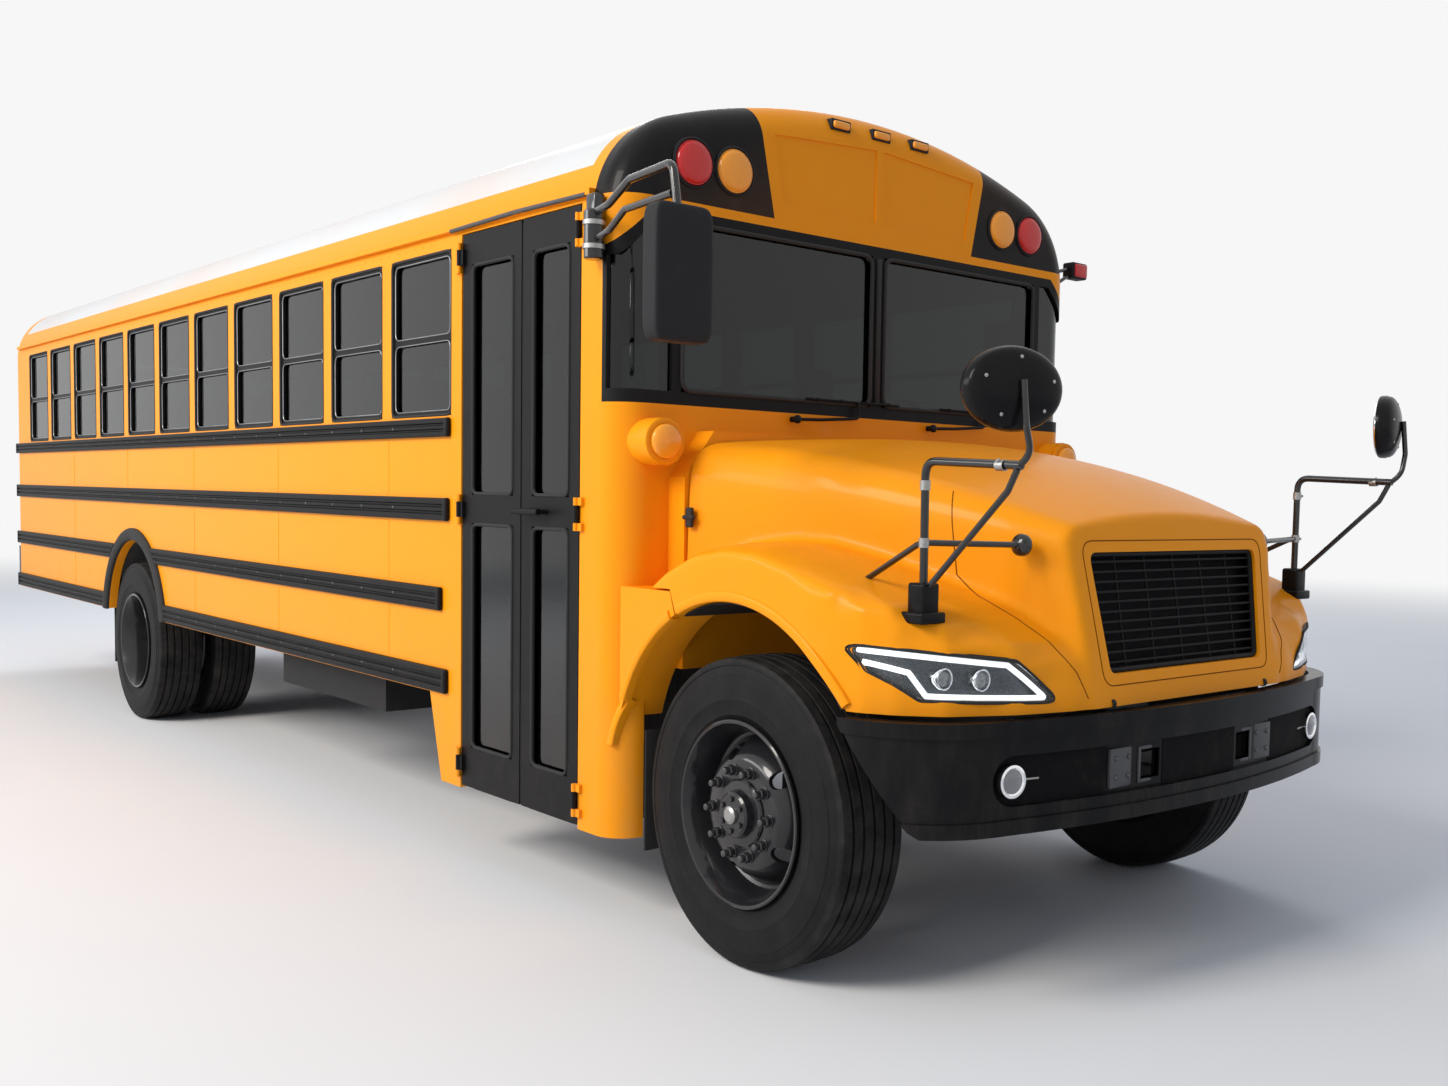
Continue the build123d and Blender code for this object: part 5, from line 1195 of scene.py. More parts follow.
    def front(self, name: str, side: int) -> None:
        """Make one front tyre and wheel."""
        origin, way = (AXLE, side * self.front_y, WHEEL_Z), (0, side, 0)
        tyre, wheel = Form("tyre_front_" + name, Finish.FRONT_TYRE), Form("wheel_front_" + name, Finish.WHEEL)
        self.tyre(tyre, origin, way)
        tyre.finish("front_wheel_" + name, ["front_tyre_" + name], 28)
        self.disc(wheel, self.dome, origin, way, 0.030, 0.206)
        hub = (
            (0.060, 0.112), (0.118, 0.112), (0.124, 0.106), (0.126, 0.080), (0.150, 0.074), (0.156, 0.066),
            (0.158, 0.0),
        )
        wheel.turned(hub, origin, way, 48)
        self.fasten(wheel, origin, way, 0.113)
        for foot in self.circle(origin, way, 6, 0.052, rise=0.155):
            wheel.turned(((0, 0.0095), (0.008, 0.0095), (0.009, 0.008)), foot, way, 6)
        cap = ((0.150, 0.030), (0.166, 0.029), (0.172, 0.020), (0.173, 0))
        wheel.use(Finish.STEEL).turned(cap, origin, way, 24)
        wheel.finish("front_wheel_" + name, ["front_rim_" + name], 28)

    def rear(self, name: str, side: int) -> None:
        """Make one side's twin tyres and wheels."""
        way = (0, side, 0)
        tyres = Form("tyres_rear_" + name, Finish.REAR_TYRE)
        wheels = Form("wheels_rear_" + name, Finish.WHEEL)
        for y, face in zip(self.twin_y, SIDES):
            origin = (REAR_AXLE, side * y, WHEEL_Z)
            self.tyre(tyres, origin, way)
            self.disc(wheels, self.dish, origin, (0, side * face, 0), 0.032, 0.226)
        outer = (REAR_AXLE, side * self.twin_y[0], WHEEL_Z)
        self.fasten(wheels, outer, way, -0.112)
        hub = (
            (-0.19, 0.108), (-0.050, 0.105), (-0.040, 0.098), (-0.038, 0.076), (-0.012, 0.072),
            (-0.006, 0.064), (-0.005, 0),
        )
        wheels.turned(hub, outer, way, 48)
        for foot in self.circle(outer, way, 8, 0.056, rise=-0.007):
            wheels.turned(((0, 0.009), (0.008, 0.009), (0.009, 0.0075)), foot, way, 6)
        tyres.finish("rear_wheels_" + name, ["rear_tyres_" + name], 28)
        wheels.finish("rear_wheels_" + name, ["rear_rims_" + name], 28)

    def build(self) -> None:
        """Make all six tyres and wheels."""
        for name, side in (("left", 1), ("right", -1)):
            self.front(name, side)
            self.rear(name, side)


@dataclass
class Bonnet:
    """The tilting bonnet: a smooth hood between two wings, with arches and openings.

    Attributes:
        stations: Rear, middle and nose sections: half width and height of the shoulder,
            height of the crown, corner radius and half width at the foot.
        rear: The hood's rear edge from the front axle.
        nose: The nose's middle from the front axle.
        nose_mid_z: Its height there.
        lean: Tangent of the nose's lean.
        foot_z: The hood's lower edge.
        wing_ys: Distances out of the wing's sections.
        wing_top: The wing's upper line, from the front axle and up.
        wing_fall: Where the wing's top bends down outward, how fast, and its slope all over.
        plan: How far forward the wing reaches at distances out.
        skin: Thickness of the moulding.
        edge_z: Height of its lower edge.
        arch_r: Radius of the wheel arch.
        arch_z: Height of its centre.
        seam: Foot of the slanted joint with the cowl, and its height.
        grille_half: Half width of the grille opening at its foot and top.
        grille_z: Its foot and top along the lean, from the nose's middle.
        lamp: Corners of a lamp's opening, out and up.
    """

    stations: tuple[tuple[float, ...], ...] = (
        (0.990, 1.724, 1.766, 0.150, 1.004), (0.812, 1.652, 1.712, 0.150, 0.812),
        (0.570, 1.468, 1.508, 0.080, 0.518),
    )
    rear: float = -0.494
    nose: float = 0.904
    nose_mid_z: float = 1.190
    lean: float = 0.1763
    foot_z: float = 0.930
    wing_ys: tuple[float, ...] = (0.430, 0.60, 0.80, 1.00, 1.10, 1.15, 1.18, 1.192)
    wing_top: tuple[Pair, ...] = (
        (-0.62, 1.13), (-0.50, 1.215), (-0.36, 1.305), (-0.20, 1.372), (-0.04, 1.396), (0.12, 1.392),
        (0.30, 1.352), (0.50, 1.290), (0.66, 1.237), (0.76, 1.190), (0.86, 1.125), (0.915, 1.06),
        (0.945, 0.98), (0.955, 0.78),
    )
    wing_fall: Point = (1.08, 2.2, 0.012)
    plan: tuple[Pair, ...] = (
        (0.430, 0.960), (0.620, 0.935), (0.760, 0.905), (0.900, 0.850), (1.000, 0.790), (1.090, 0.700),
        (1.150, 0.590), (1.180, 0.480), (1.192, 0.400), (1.3, 0.2),
    )
    skin: float = 0.016
    edge_z: float = 0.917
    arch_r: float = 0.648
    arch_z: float = 0.560
    seam: Pair = (-0.322, 1.222)
    grille_half: Pair = (0.424, 0.468)
    grille_z: Pair = (-0.178, 0.200)
    lamp: tuple[Pair, ...] = ((1.168, 1.118), (0.805, 1.076), (0.648, 0.946), (1.052, 0.960), (1.142, 1.040))

    def hood(self, inset: float) -> bmesh.types.BMesh:
        """The hood as a closed block, set in from its skin, longer than the real one below and behind."""
        rings = []
        for share in (k / 16 for k in range(-2, 17)):
            half, edge, top, corner, foot = blended(self.stations, max(share, 0))
            half, edge, top, foot = half - inset, edge - inset, top - inset, foot - inset
            ring = [(foot, self.foot_z - 0.16), (foot + (half - foot) * 0.5, (edge + self.foot_z) / 2)]
            low, mid, high = (half, edge - corner), (half, edge), (half - corner, edge + (top - edge) * 0.12)
            for t in (i / 6 for i in range(7)):
                bend = ((1 - t) ** 2 * p + 2 * t * (1 - t) * q + t * t * r for p, q, r in zip(low, mid, high))
                ring.append(tuple(bend))
            for i in range(1, 7):
                y = (half - corner) * (1 - i / 6)
                ring.append((y, edge + (top - edge) * (0.12 + 0.88 * (1 - (y / (half - corner)) ** 2))))
            ring += [(-y, z) for y, z in reversed(ring[:-1])]
            points = []
            for y, z in ring:
                front = self.nose - inset - (z - self.nose_mid_z) * self.lean
                points.append((AXLE + self.rear + share * (front - self.rear), y, z))
            rings.append(points)
        return lofted(rings)

    def wing(self, inset: float, side: int) -> bmesh.types.BMesh:
        """One wing as a closed block, set in from its skin."""
        (rear, _), (_, foot) = self.wing_top[0], self.wing_top[-1]
        bend_y, steep, slope = self.wing_fall
        rings = []
        for y in self.wing_ys:
            drop = max(0.0, y - bend_y) ** 2 * steep + (y - self.wing_ys[0]) * slope
            limit, out = self.plan_front(y) - inset, side * (y - inset)
            tops = [(min(x - inset * (x > 0.7), limit), z - drop - inset) for x, z in self.wing_top]
            rings.append([(AXLE + x, out, z) for x, z in [*tops, (rear, foot)]])
        return lofted(rings)

    def plan_front(self, y: float) -> float:
        """How far forward the wing reaches at a distance from the middle."""
        return height_at(self.plan, y)

    def melted(self, inset: float, voxel: float, rounds: int) -> bmesh.types.BMesh:
        """Hood and wings as one smooth block, set in from the skin."""
        blocks = Form("bonnet_block")
        blocks.join(self.hood(inset))
        for side in SIDES:
            blocks.join(self.wing(inset, side))
        return smoothed(blocks.mesh, voxel, rounds)

    def block(self, low: Point, high: Point) -> bmesh.types.BMesh:
        """A plain cutting block, placed from the front axle."""
        form = Form("block")
        form.box(from_axle(low), from_axle(high))
        return form.mesh

    def ahead_prism(self, outline: Sequence[Pair], low: float, high: float) -> bmesh.types.BMesh:
        """A cutting prism along the bus, from corners out and up."""
        return lofted([(AXLE + x, y, z) for y, z in outline] for x in (low, high))

    def grille_outline(self, margin: float, corner: float) -> list[Pair]:
        """Rounded outline of the grille opening seen from ahead, grown by a margin."""
        (foot_half, top_half), (foot, top) = self.grille_half, self.grille_z
        squash = math.cos(math.atan(self.lean))
        low, high = (self.nose_mid_z + z * squash for z in (foot - margin, top + margin))
        near, far = foot_half + margin, top_half + margin
        return rounded_outline([(-near, low), (near, low), (far, high), (-far, high)], corner)

    def shell(self) -> bmesh.types.BMesh:
        """The hollow moulding with its arches and openings."""
        skin = self.melted(0, 0.014, 10)
        skin = cut(skin, self.block((-1.2, -1.4, 0.5), (self.rear, 1.4, 2.0)))
        skin = cut(skin, self.block((-1.3, -1.5, 0.4), (1.3, 1.5, self.edge_z)))
        seam_x, seam_z = self.seam
        flare = (
            (seam_x + 0.082, seam_z - 0.183), (seam_x + 0.009, seam_z - 0.014), (seam_x + 0.002, seam_z),
            (-0.9, seam_z), (-0.9, 0.6), (seam_x + 0.082, 0.6),
        )
        skin = cut(skin, lofted([(AXLE + x, y, z) for x, z in flare] for y in (-1.4, 1.4)))
        arch = Form("arch")
        arch.bar((AXLE, -1.4, self.arch_z), (AXLE, 1.4, self.arch_z), self.arch_r, 128)
        skin = cut(skin, arch.mesh)
        skin = cut(skin, self.ahead_prism(self.grille_outline(0.0, 0.03), 0.6, 1.2))
        for side in SIDES:
            lamp = [(side * y, z) for y, z in rounded_outline(self.lamp, 0.022)]
            skin = cut(skin, self.ahead_prism(lamp, 0.44, 1.2))
        return cut(skin, self.melted(self.skin + 0.004, 0.02, 6))

    def build(self) -> None:
        """Make the bonnet's moulding."""
        form = Form("bonnet_moulding", Finish.YELLOW)
        form.join(self.shell())
        form.finish("bonnet", ["bonnet"], 38)


@dataclass
class Headlamps:
    """Slanted lamp units in the wings: dark housing, two projectors, light pipe and clear lens.

    Attributes:
        upper: Upper edge of the lens, distance out and height.
        lower: Lower edge.
        stroke: The light pipe's route in the same terms.
        projectors: Centres of the two round lamps.
        projector_r: Radius of a projector's lens.
        depth: How deep the housing is.
        seat: How far the lens lies behind the wing's face.
        wall_steps: Beads that make up the housing's side wall.
        wall_pitch: Distance between two beads.
        wall_r: Radius of a bead.
        seal_r: Radius of the rubber seal round the lens.
        pipe_r: Radius of the light pipe.
        pipe_depth: How far behind the lens it lies.
    """

    upper: tuple[Pair, ...] = ((0.650, 0.948), (0.805, 1.074), (1.166, 1.116))
    lower: tuple[Pair, ...] = ((0.650, 0.948), (1.052, 0.962), (1.142, 1.042), (1.166, 1.116))
    stroke: tuple[Pair, ...] = (
        (1.148, 1.101), (0.818, 1.061), (0.690, 0.960), (1.030, 0.973), (1.066, 1.040), (1.140, 1.066),
    )
    projectors: tuple[Pair, ...] = ((0.985, 1.022), (0.885, 1.018))
    projector_r: float = 0.027
    depth: float = 0.062
    seat: float = 0.006
    wall_steps: int = 5
    wall_pitch: float = 0.012
    wall_r: float = 0.0068
    seal_r: float = 0.0045
    pipe_r: float = 0.0088
    pipe_depth: float = 0.020

    def face(self, y: float) -> float:
        """Where the lens lies along the bus at a distance out."""
        return AXLE + Bonnet().plan_front(y) - self.seat

    def plate(self, form: Form, margin: float, depth: float, thickness: float) -> None:
        """Add a plate that follows the wing inside the lamp's outline.

        Args:
            form: The piece.
            margin: How far it stays inside the opening.
            depth: How far behind the wing's face it lies.
            thickness: Its thickness.
        """
        columns, rows = 40, 8
        first, last = self.upper[0][0] + 1.6 * margin, self.upper[-1][0] - margin
        rings = []
        for i in range(columns + 1):
            y = first + (last - first) * i / columns
            low, high = height_at(self.lower, y) + margin, height_at(self.upper, y) - margin
            low, high = min(low, (low + high) / 2), max(high, (low + high) / 2)
            heights = [low + (high - low) * k / rows for k in range(rows + 1)]
            front, rear = self.face(y) - depth, self.face(y) - depth - thickness
            rings.append([(front, y, z) for z in heights] + [(rear, y, z) for z in reversed(heights)])
        part = lofted(rings)
        bmesh.ops.remove_doubles(part, verts=part.verts[:], dist=0.0002)
        bmesh.ops.recalc_face_normals(part, faces=part.faces[:])
        form.join(part)

    def route(self, corners: Sequence[Pair], depth: float) -> list[Point]:
        """Lay a route of (distance out, height) corners along the wing's face."""
        places = []
        for (y0, z0), (y1, z1) in zip(corners, corners[1:]):
            steps = max(2, int(math.hypot(y1 - y0, z1 - z0) / 0.03))
            places += [(y0 + (y1 - y0) * i / steps, z0 + (z1 - z0) * i / steps) for i in range(steps)]
        return [(self.face(y) - depth, y, z) for y, z in [*places, corners[-1]]]

    def build(self) -> None:
        """Make both lamps."""
        form = Form("headlamp_units", Finish.LAMP_GLASS, Finish.SATIN_BLACK)
        self.plate(form, 0.004, 0.0, 0.003)
        form.use(Finish.LAMP_DARK)
        self.plate(form, 0.002, self.depth, 0.006)
        edge = rounded_outline(Bonnet().lamp, 0.020)
        edge.append(edge[0])
        form.use(Finish.RUBBER).pipe(self.route(edge, 0.001), self.seal_r, 0.002, 8)
        form.use(Finish.SATIN_BLACK)
        for step in range(1, self.wall_steps + 1):
            form.pipe(self.route(edge, self.wall_pitch * step), self.wall_r, 0.002, 6)
        form.use(Finish.LIGHT_PIPE).pipe(self.route(self.stroke, self.pipe_depth), self.pipe_r, 0.006, 12)
        r = self.projector_r
        ring = ((0.0, r + 0.003), (0.030, r + 0.008), (0.034, r + 0.006), (0.034, r + 0.001), (0.010, r))
        lens = ((0.004, r), (0.022, r), (0.031, r * 0.82), (0.037, r * 0.5), (0.039, 0))
        for y, z in self.projectors:
            origin = (self.face(y) - self.depth, y, z)
            form.use(Finish.CHROME).turned(ring, origin, AHEAD, 40, closed=True)
            form.use(Finish.BEAM).turned(lens, origin, AHEAD, 40)
        form.mirrored()
        form.finish("bonnet", ["headlamps"], 40)


@dataclass
class GrilleBars:
    """The grille's rounded frame, thin slats and uprights, and a near-black sheet of painted shade behind
    them.

    Attributes:
        set_back: How far it lies behind the nose.
        rows: Slats across.
        uprights: Upright bars.
        slat_r: Half thickness of a slat.
        frame_r: Half thickness of the frame.
        gap: How far the frame stays inside the opening.
        sheet: How far behind the bars the painted shade sheet lies, and its thickness.
    """

    set_back: float = 0.022
    rows: int = 11
    uprights: int = 5
    slat_r: float = 0.0042
    frame_r: float = 0.011
    gap: float = 0.006
    sheet: Pair = (0.045, 0.006)

    def spot(self, y: float, height: float, ahead: float = 0.0) -> Vector:
        """A place on the grille's leaning plane, or ahead of it."""
        lean = math.atan(Bonnet().lean)
        back = self.set_back + height * math.sin(lean) - ahead
        return Vector((AXLE + Bonnet().nose - back, y, Bonnet().nose_mid_z + height * math.cos(lean)))

    def build(self) -> None:
        """Make the grille."""
        form = Form("grille_bars", Finish.SATIN_BLACK)
        (foot_half, top_half), (foot, top) = Bonnet().grille_half, Bonnet().grille_z
        near, far, low, high = foot_half - self.gap, top_half - self.gap, foot + self.gap, top - self.gap
        corners = [(-near, low), (near, low), (far, high), (-far, high)]
        loop = [self.spot(y, z) for y, z in rounded_outline(corners, 0.028)]
        middle = (loop[0] + loop[-1]) / 2
        form.pipe([middle, *loop, middle], self.frame_r, 0.002, 10)
        for i in range(self.rows):
            height = foot + (top - foot) * (i + 1) / (self.rows + 1)
            half = foot_half + (top_half - foot_half) * (height - foot) / (top - foot) - 0.010
            form.pipe([self.spot(y, height) for y in (-half, 0, half)], self.slat_r, 0.01, 8)
        for i in range(self.uprights):
            y = (i - (self.uprights - 1) / 2) * 2 * top_half / (self.uprights + 1)
            form.bar(self.spot(y, low, -0.007), self.spot(y, high, -0.007), self.slat_r, 10)
        # The near-black sheet behind the bars is painted shade in the grille opening.
        outline = [(y * 1.12, z + math.copysign(0.05, z)) for y, z in corners]
        (depth, thickness), up = self.sheet, self.spot(0, 1) - self.spot(0, 0)
        form.use(Finish.SHADE).slab(outline, self.spot(0, 0, -depth), (0, 1, 0), up, thickness)
        form.finish("bonnet", ["grille"], 40)


@dataclass
class CrossoverMirrors:
    """Oval mirrors on braced tube frames over the wings, both sides.

    Places are measured from the front axle.

    Attributes:
        head: Centre of the left head.
        half: Half depth, half width and half height of a head.
        turn: How far a head is turned outward, in radians.
        post: Foot and bend of the upright tube.
        arm_end: Where arm and stem meet.
        joint: Where the braces leave the post.
        disc: Round foot on the hood's side.
        foot: Small bolted foot behind the post.
        tube_r: Radius of the main tube.
        brace_r: Radius of the braces and the stem.
        rim_x: How far ahead of a head's middle its rolled rim ends.
        rim_share: The rim's end as a share of the full oval.
        screw_angles: Where the back's screws stand, in degrees.
        screw_share: How far out they stand.
    """

    head: Point = (1.043, 1.043, 1.840)
    half: Point = (0.058, 0.150, 0.115)
    turn: float = 0.34
    post: tuple[Point, Point] = ((0.707, 1.022, 1.262), (0.707, 1.025, 1.650))
    arm_end: Point = (1.070, 1.040, 1.636)
    joint: Point = (0.705, 1.023, 1.415)
    disc: Point = (0.766, 0.668, 1.408)
    foot: Point = (0.417, 0.996, 1.284)
    tube_r: float = 0.0125
    brace_r: float = 0.0095
    rim_x: float = 0.014
    rim_share: float = 0.975
    screw_angles: tuple[float, ...] = (20, 92, 165, 225, 300)
    screw_share: float = 0.72

    def on_head(self, ahead: float, y: float, z: float) -> Vector:
        """A place on the turned head."""
        return Vector(from_axle(self.head)) + Matrix.Rotation(self.turn, 3, "Z") @ Vector((ahead, y, z))

    def clamp(self, form: Form, at: Vector, way: Sequence[float]) -> None:
        """Add a bright clamp with its screw round the main tube."""
        r = self.tube_r
        profile = ((-0.014, r), (-0.014, r + 0.003), (0.014, r + 0.003), (0.014, r))
        form.use(Finish.STEEL).turned(profile, at, way, 24, closed=True)
        side = Vector(way).orthogonal().normalized()
        form.bar(at + side * r, at + side * (r + 0.010), 0.005, 10)
        form.use(Finish.BLACK_TUBE)

    def shape(self, form: Form, layers: Sequence[Pair]) -> None:
        """Add an oval turned shape on the head from distances forward and shares of the full oval."""
        _, wide, high = self.half
        around = [polar(360 * i / 56) for i in range(56)]
        rings = []
        for ahead, share in layers:
            spots = around if share > 0.01 else [(0.0, 0.0)]
            rings.append([self.on_head(ahead, share * wide * c, share * high * s) for c, s in spots])
        form.rings(rings)

    def oval(self, form: Form) -> None:
        """Add the head: a domed black back, a rolled rim and the bright mirror."""
        rise = self.half[0] - self.rim_x
        rim = [(-0.016, 0.985), (-0.010, 1.0), (0.006, 1.0), (self.rim_x, self.rim_share)]
        dome = [(self.rim_x + rise * s, self.rim_share * c) for c, s in map(polar, range(9, 91, 9))]
        form.use(Finish.BLACK)
        self.shape(form, rim + dome)
        mirror = [(-0.017 - 0.020 * s, 0.955 * c) for c, s in map(polar, range(90, -1, -10))]
        form.use(Finish.CHROME)
        self.shape(form, [*mirror, (-0.006, 0.955)])

    def frame_tubes(self, form: Form) -> None:
        """Add the bent tubes, their clamps and feet."""
        places = (*self.post, self.head, self.arm_end, self.joint)
        foot, bend, head, end, joint = (Vector(from_axle(point)) for point in places)
        form.pipe([foot, bend, end + Vector((0.012, 0, 0))], self.tube_r, 0.045)
        front = self.on_head(self.half[0] + 0.006, 0, 0.02)
        rise = [end + Vector((-0.01, 0, -0.012)), end + Vector((0.045, 0.002, 0.03))]
        form.pipe([*rise, Vector((front.x + 0.012, front.y, head.z - 0.10)), front], self.brace_r, 0.06)
        brace = [foot + Vector((0.030, 0.006, 0.03)), end + Vector((-0.035, 0, -0.07))]
        form.pipe([*brace, end + Vector((-0.002, 0, -0.01))], self.brace_r, 0.04)
        form.bar(joint, from_axle(self.disc), self.brace_r)
        stay = [joint, joint + Vector((-0.03, -0.002, -0.008)), from_axle(self.foot)]
        form.pipe(stay, self.brace_r, 0.02)
        self.clamp(form, joint + Vector((0.0015, 0.001, 0)), UP)
        self.clamp(form, foot.lerp(bend, 0.82), UP)
        self.clamp(form, end + Vector((-0.06, 0, 0)), AHEAD)
        disc = ((-0.012, 0.034), (0.004, 0.034), (0.012, 0.028), (0.016, 0.014), (0.022, 0.0))
        form.turned(disc, from_axle(self.disc), (0.1, 1, 0.1), 36)
        small = ((-0.016, 0.016), (0.004, 0.016), (0.008, 0.010), (0.010, 0))
        form.turned(small, from_axle(self.foot), (0, 0.3, 1), 24)
        form.use(Finish.BLACK)
        form.block((foot.x, foot.y, 1.245), (0.034, 0.034, 0.055), 0.009, 3)
        form.block((foot.x, foot.y, 1.199), (0.046, 0.050, 0.017), 0.007, 3)

    def build(self) -> None:
        """Make both mirrors with their frames and screws."""
        form = Form("crossover_frames", Finish.BLACK_TUBE)
        self.frame_tubes(form)
        self.oval(form)
        form.mirrored()
        form.finish("bonnet", ["crossover_mirrors"], 38)
        deep, wide, high = self.half
        share = self.screw_share
        ahead = self.rim_x + (deep - self.rim_x) * math.sqrt(1 - (share / self.rim_share) ** 2)
        screws = []
        for side in SIDES:
            flip = Matrix.Diagonal((1, side, 1))
            for c, s in map(polar, self.screw_angles):
                y, z = share * wide * c, share * high * s
                way = Matrix.Rotation(self.turn, 3, "Z") @ Vector((1, y * 1.2, z * 1.8)).normalized()
                screws.append((flip @ self.on_head(ahead, y, z), flip @ way))
        studs.set_on("mirror_screws", screws, 0.0055, 0.003, Finish.STEEL, "bonnet", 10)


@dataclass
class SideMirrors:
    """The tall right mirror on two bent tubes, the left mirror and the left lamp pod.

    Attributes:
        right: Centre of the right head from the front axle.
        left: Centre of the left head.
        size: Depth, width and height of a head.
        square: How square its shell is: 1 for an ellipsoid, towards 0 for a box.
        split: How far below its middle the two glasses meet, as a share of its height.
        tubes: Radius with the right tubes' places ahead of the axle, out and up.
        bracket: Foot of the right bracket's tube.
        bracket_plate: Lower and upper edge of its plate on the wall.
        straps: Heights of the two bright straps round it.
        arm_x: Where the left arms stand on the wall.
        arm_rise: How far they lie above and below the left head's middle.
        arm_r: Radius of the left arms.
        pod: Centre of the small lamp pod.
    """

    right: Point = (-0.030, -1.378, 2.212)
    left: Point = (-1.150, 1.375, 2.212)
    size: Point = (0.092, 0.216, 0.418)
    square: float = 0.24
    split: float = 0.18
    tubes: tuple[tuple[float, tuple[Point, ...]], ...] = (
        (0.0135, (
            (-0.690, 1.262, 2.505), (-0.560, 1.290, 2.510), (-0.380, 1.325, 2.560), (-0.060, 1.378, 2.555),
            (-0.030, 1.378, 2.400),
        )),
        (0.0115, (
            (-0.690, 1.262, 2.415), (-0.540, 1.300, 2.420), (-0.400, 1.330, 2.465), (-0.060, 1.378, 2.462),
        )),
    )
    bracket: Point = (-0.700, -1.260, 2.345)
    bracket_plate: Pair = (2.360, 2.575)
    straps: Pair = (2.388, 2.470)
    arm_x: float = AXLE - 0.840
    arm_rise: float = 0.150
    arm_r: float = 0.0115
    pod: Point = (-0.700, 1.376, 2.630)

    def rounded(self, value: float) -> float:
        """Push a share of a ball's half size towards a box's."""
        return math.copysign(abs(value) ** self.square, value)

    def shell(self, form: Form, centre: Point, half: Point) -> None:
        """Add a rounded block of half sizes about its middle."""
        part = bmesh.new()
        bmesh.ops.create_uvsphere(part, u_segments=48, v_segments=24, radius=1)
        for vert in part.verts:
            flat = math.hypot(vert.co.x, vert.co.y)
            east, north = (vert.co.x / flat, vert.co.y / flat) if flat > 1e-6 else (0.0, 0.0)
            ring = self.rounded(flat)
            shares = (self.rounded(east) * ring, self.rounded(north) * ring, self.rounded(vert.co.z))
            vert.co = Vector(middle + share * reach for middle, share, reach in zip(centre, shares, half))
        form.use(Finish.PLASTIC).join(part)

    def head(self, form: Form, centre: Point) -> None:
        """Add a mirror head: rounded shell and two glasses facing the rear."""
        deep, wide, high = self.size
        x, y, z = from_axle(centre)
        self.shell(form, (x + 0.004, y, z), (deep / 2 - 0.004, wide / 2, high / 2))
        form.use(Finish.CHROME)
        split, half = z - high * self.split, wide / 2 - 0.016
        for low, top in ((split + 0.006, z + high / 2 - 0.018), (z - high / 2 + 0.018, split - 0.006)):
            form.box((x - deep / 2, y - half, low), (x - 0.02, y + half, top), 0.010, 3)

    def right_bracket(self, form: Form) -> None:
        """Add the right mirror's tubes with the round bracket on the wall."""
        form.use(Finish.BLACK_TUBE)
        for radius, places in self.tubes:
            form.pipe([from_axle((x, -out, z)) for x, out, z in places], radius, 0.05)
        x, y, z = from_axle(self.bracket)
        form.turned(((0, 0.030), (0.006, 0.035), (0.164, 0.035), (0.170, 0.030)), (x, y, z), UP, 36)
        low, high = self.bracket_plate
        form.box((x - 0.050, -HALF_WIDTH - 0.044, low), (x + 0.010, -HALF_WIDTH - 0.001, high), 0.008, 3)
        form.use(Finish.STEEL)
        strap = ((-0.008, 0.035), (-0.008, 0.039), (0.008, 0.039), (0.008, 0.035))
        for height in self.straps:
            form.turned(strap, (x, y, height), UP, 36, closed=True)

    def left_arms(self, form: Form) -> None:
        """Add the left mirror's two arms with their feet."""
        form.use(Finish.BLACK_TUBE)
        end_x, end_y, middle_z = from_axle(self.left)
        for z in (middle_z - self.arm_rise, middle_z + self.arm_rise):
            x = self.arm_x
            form.pipe([(x, HALF_WIDTH - 0.02, z), (x - 0.02, 1.30, z), (end_x, end_y, z)], self.arm_r, 0.04)
            form.block((x, HALF_WIDTH + 0.001, z), (0.03, 0.007, 0.03), 0.004)

    def lamp_pod(self, form: Form) -> None:
        """Add the pod with its red lens and two stays."""
        x, y, z = from_axle(self.pod)
        form.use(Finish.PLASTIC)
        form.box((x - 0.038, y - 0.054, z - 0.038), (x + 0.030, y + 0.053, z + 0.038), 0.010, 3)
        form.use(Finish.RED)
        form.box((x + 0.020, y - 0.044, z - 0.030), (x + 0.039, y + 0.043, z + 0.030), 0.008, 3)
        form.use(Finish.BLACK_TUBE)
        form.bar((x, HALF_WIDTH - 0.03, 2.600), (x, 1.335, 2.638), 0.0085)
        form.bar((x, HALF_WIDTH - 0.01, 2.540), (x, 1.335, 2.612), 0.0085)

    def build(self) -> None:
        """Make both mirrors and the pod."""
        form = Form("side_mirrors", Finish.PLASTIC, Finish.BLACK_TUBE)
        self.head(form, self.right)
        self.head(form, self.left)
        self.right_bracket(form)
        self.left_arms(form)
        self.lamp_pod(form)
        form.finish("bus", ["rear_view_mirrors"], 38)


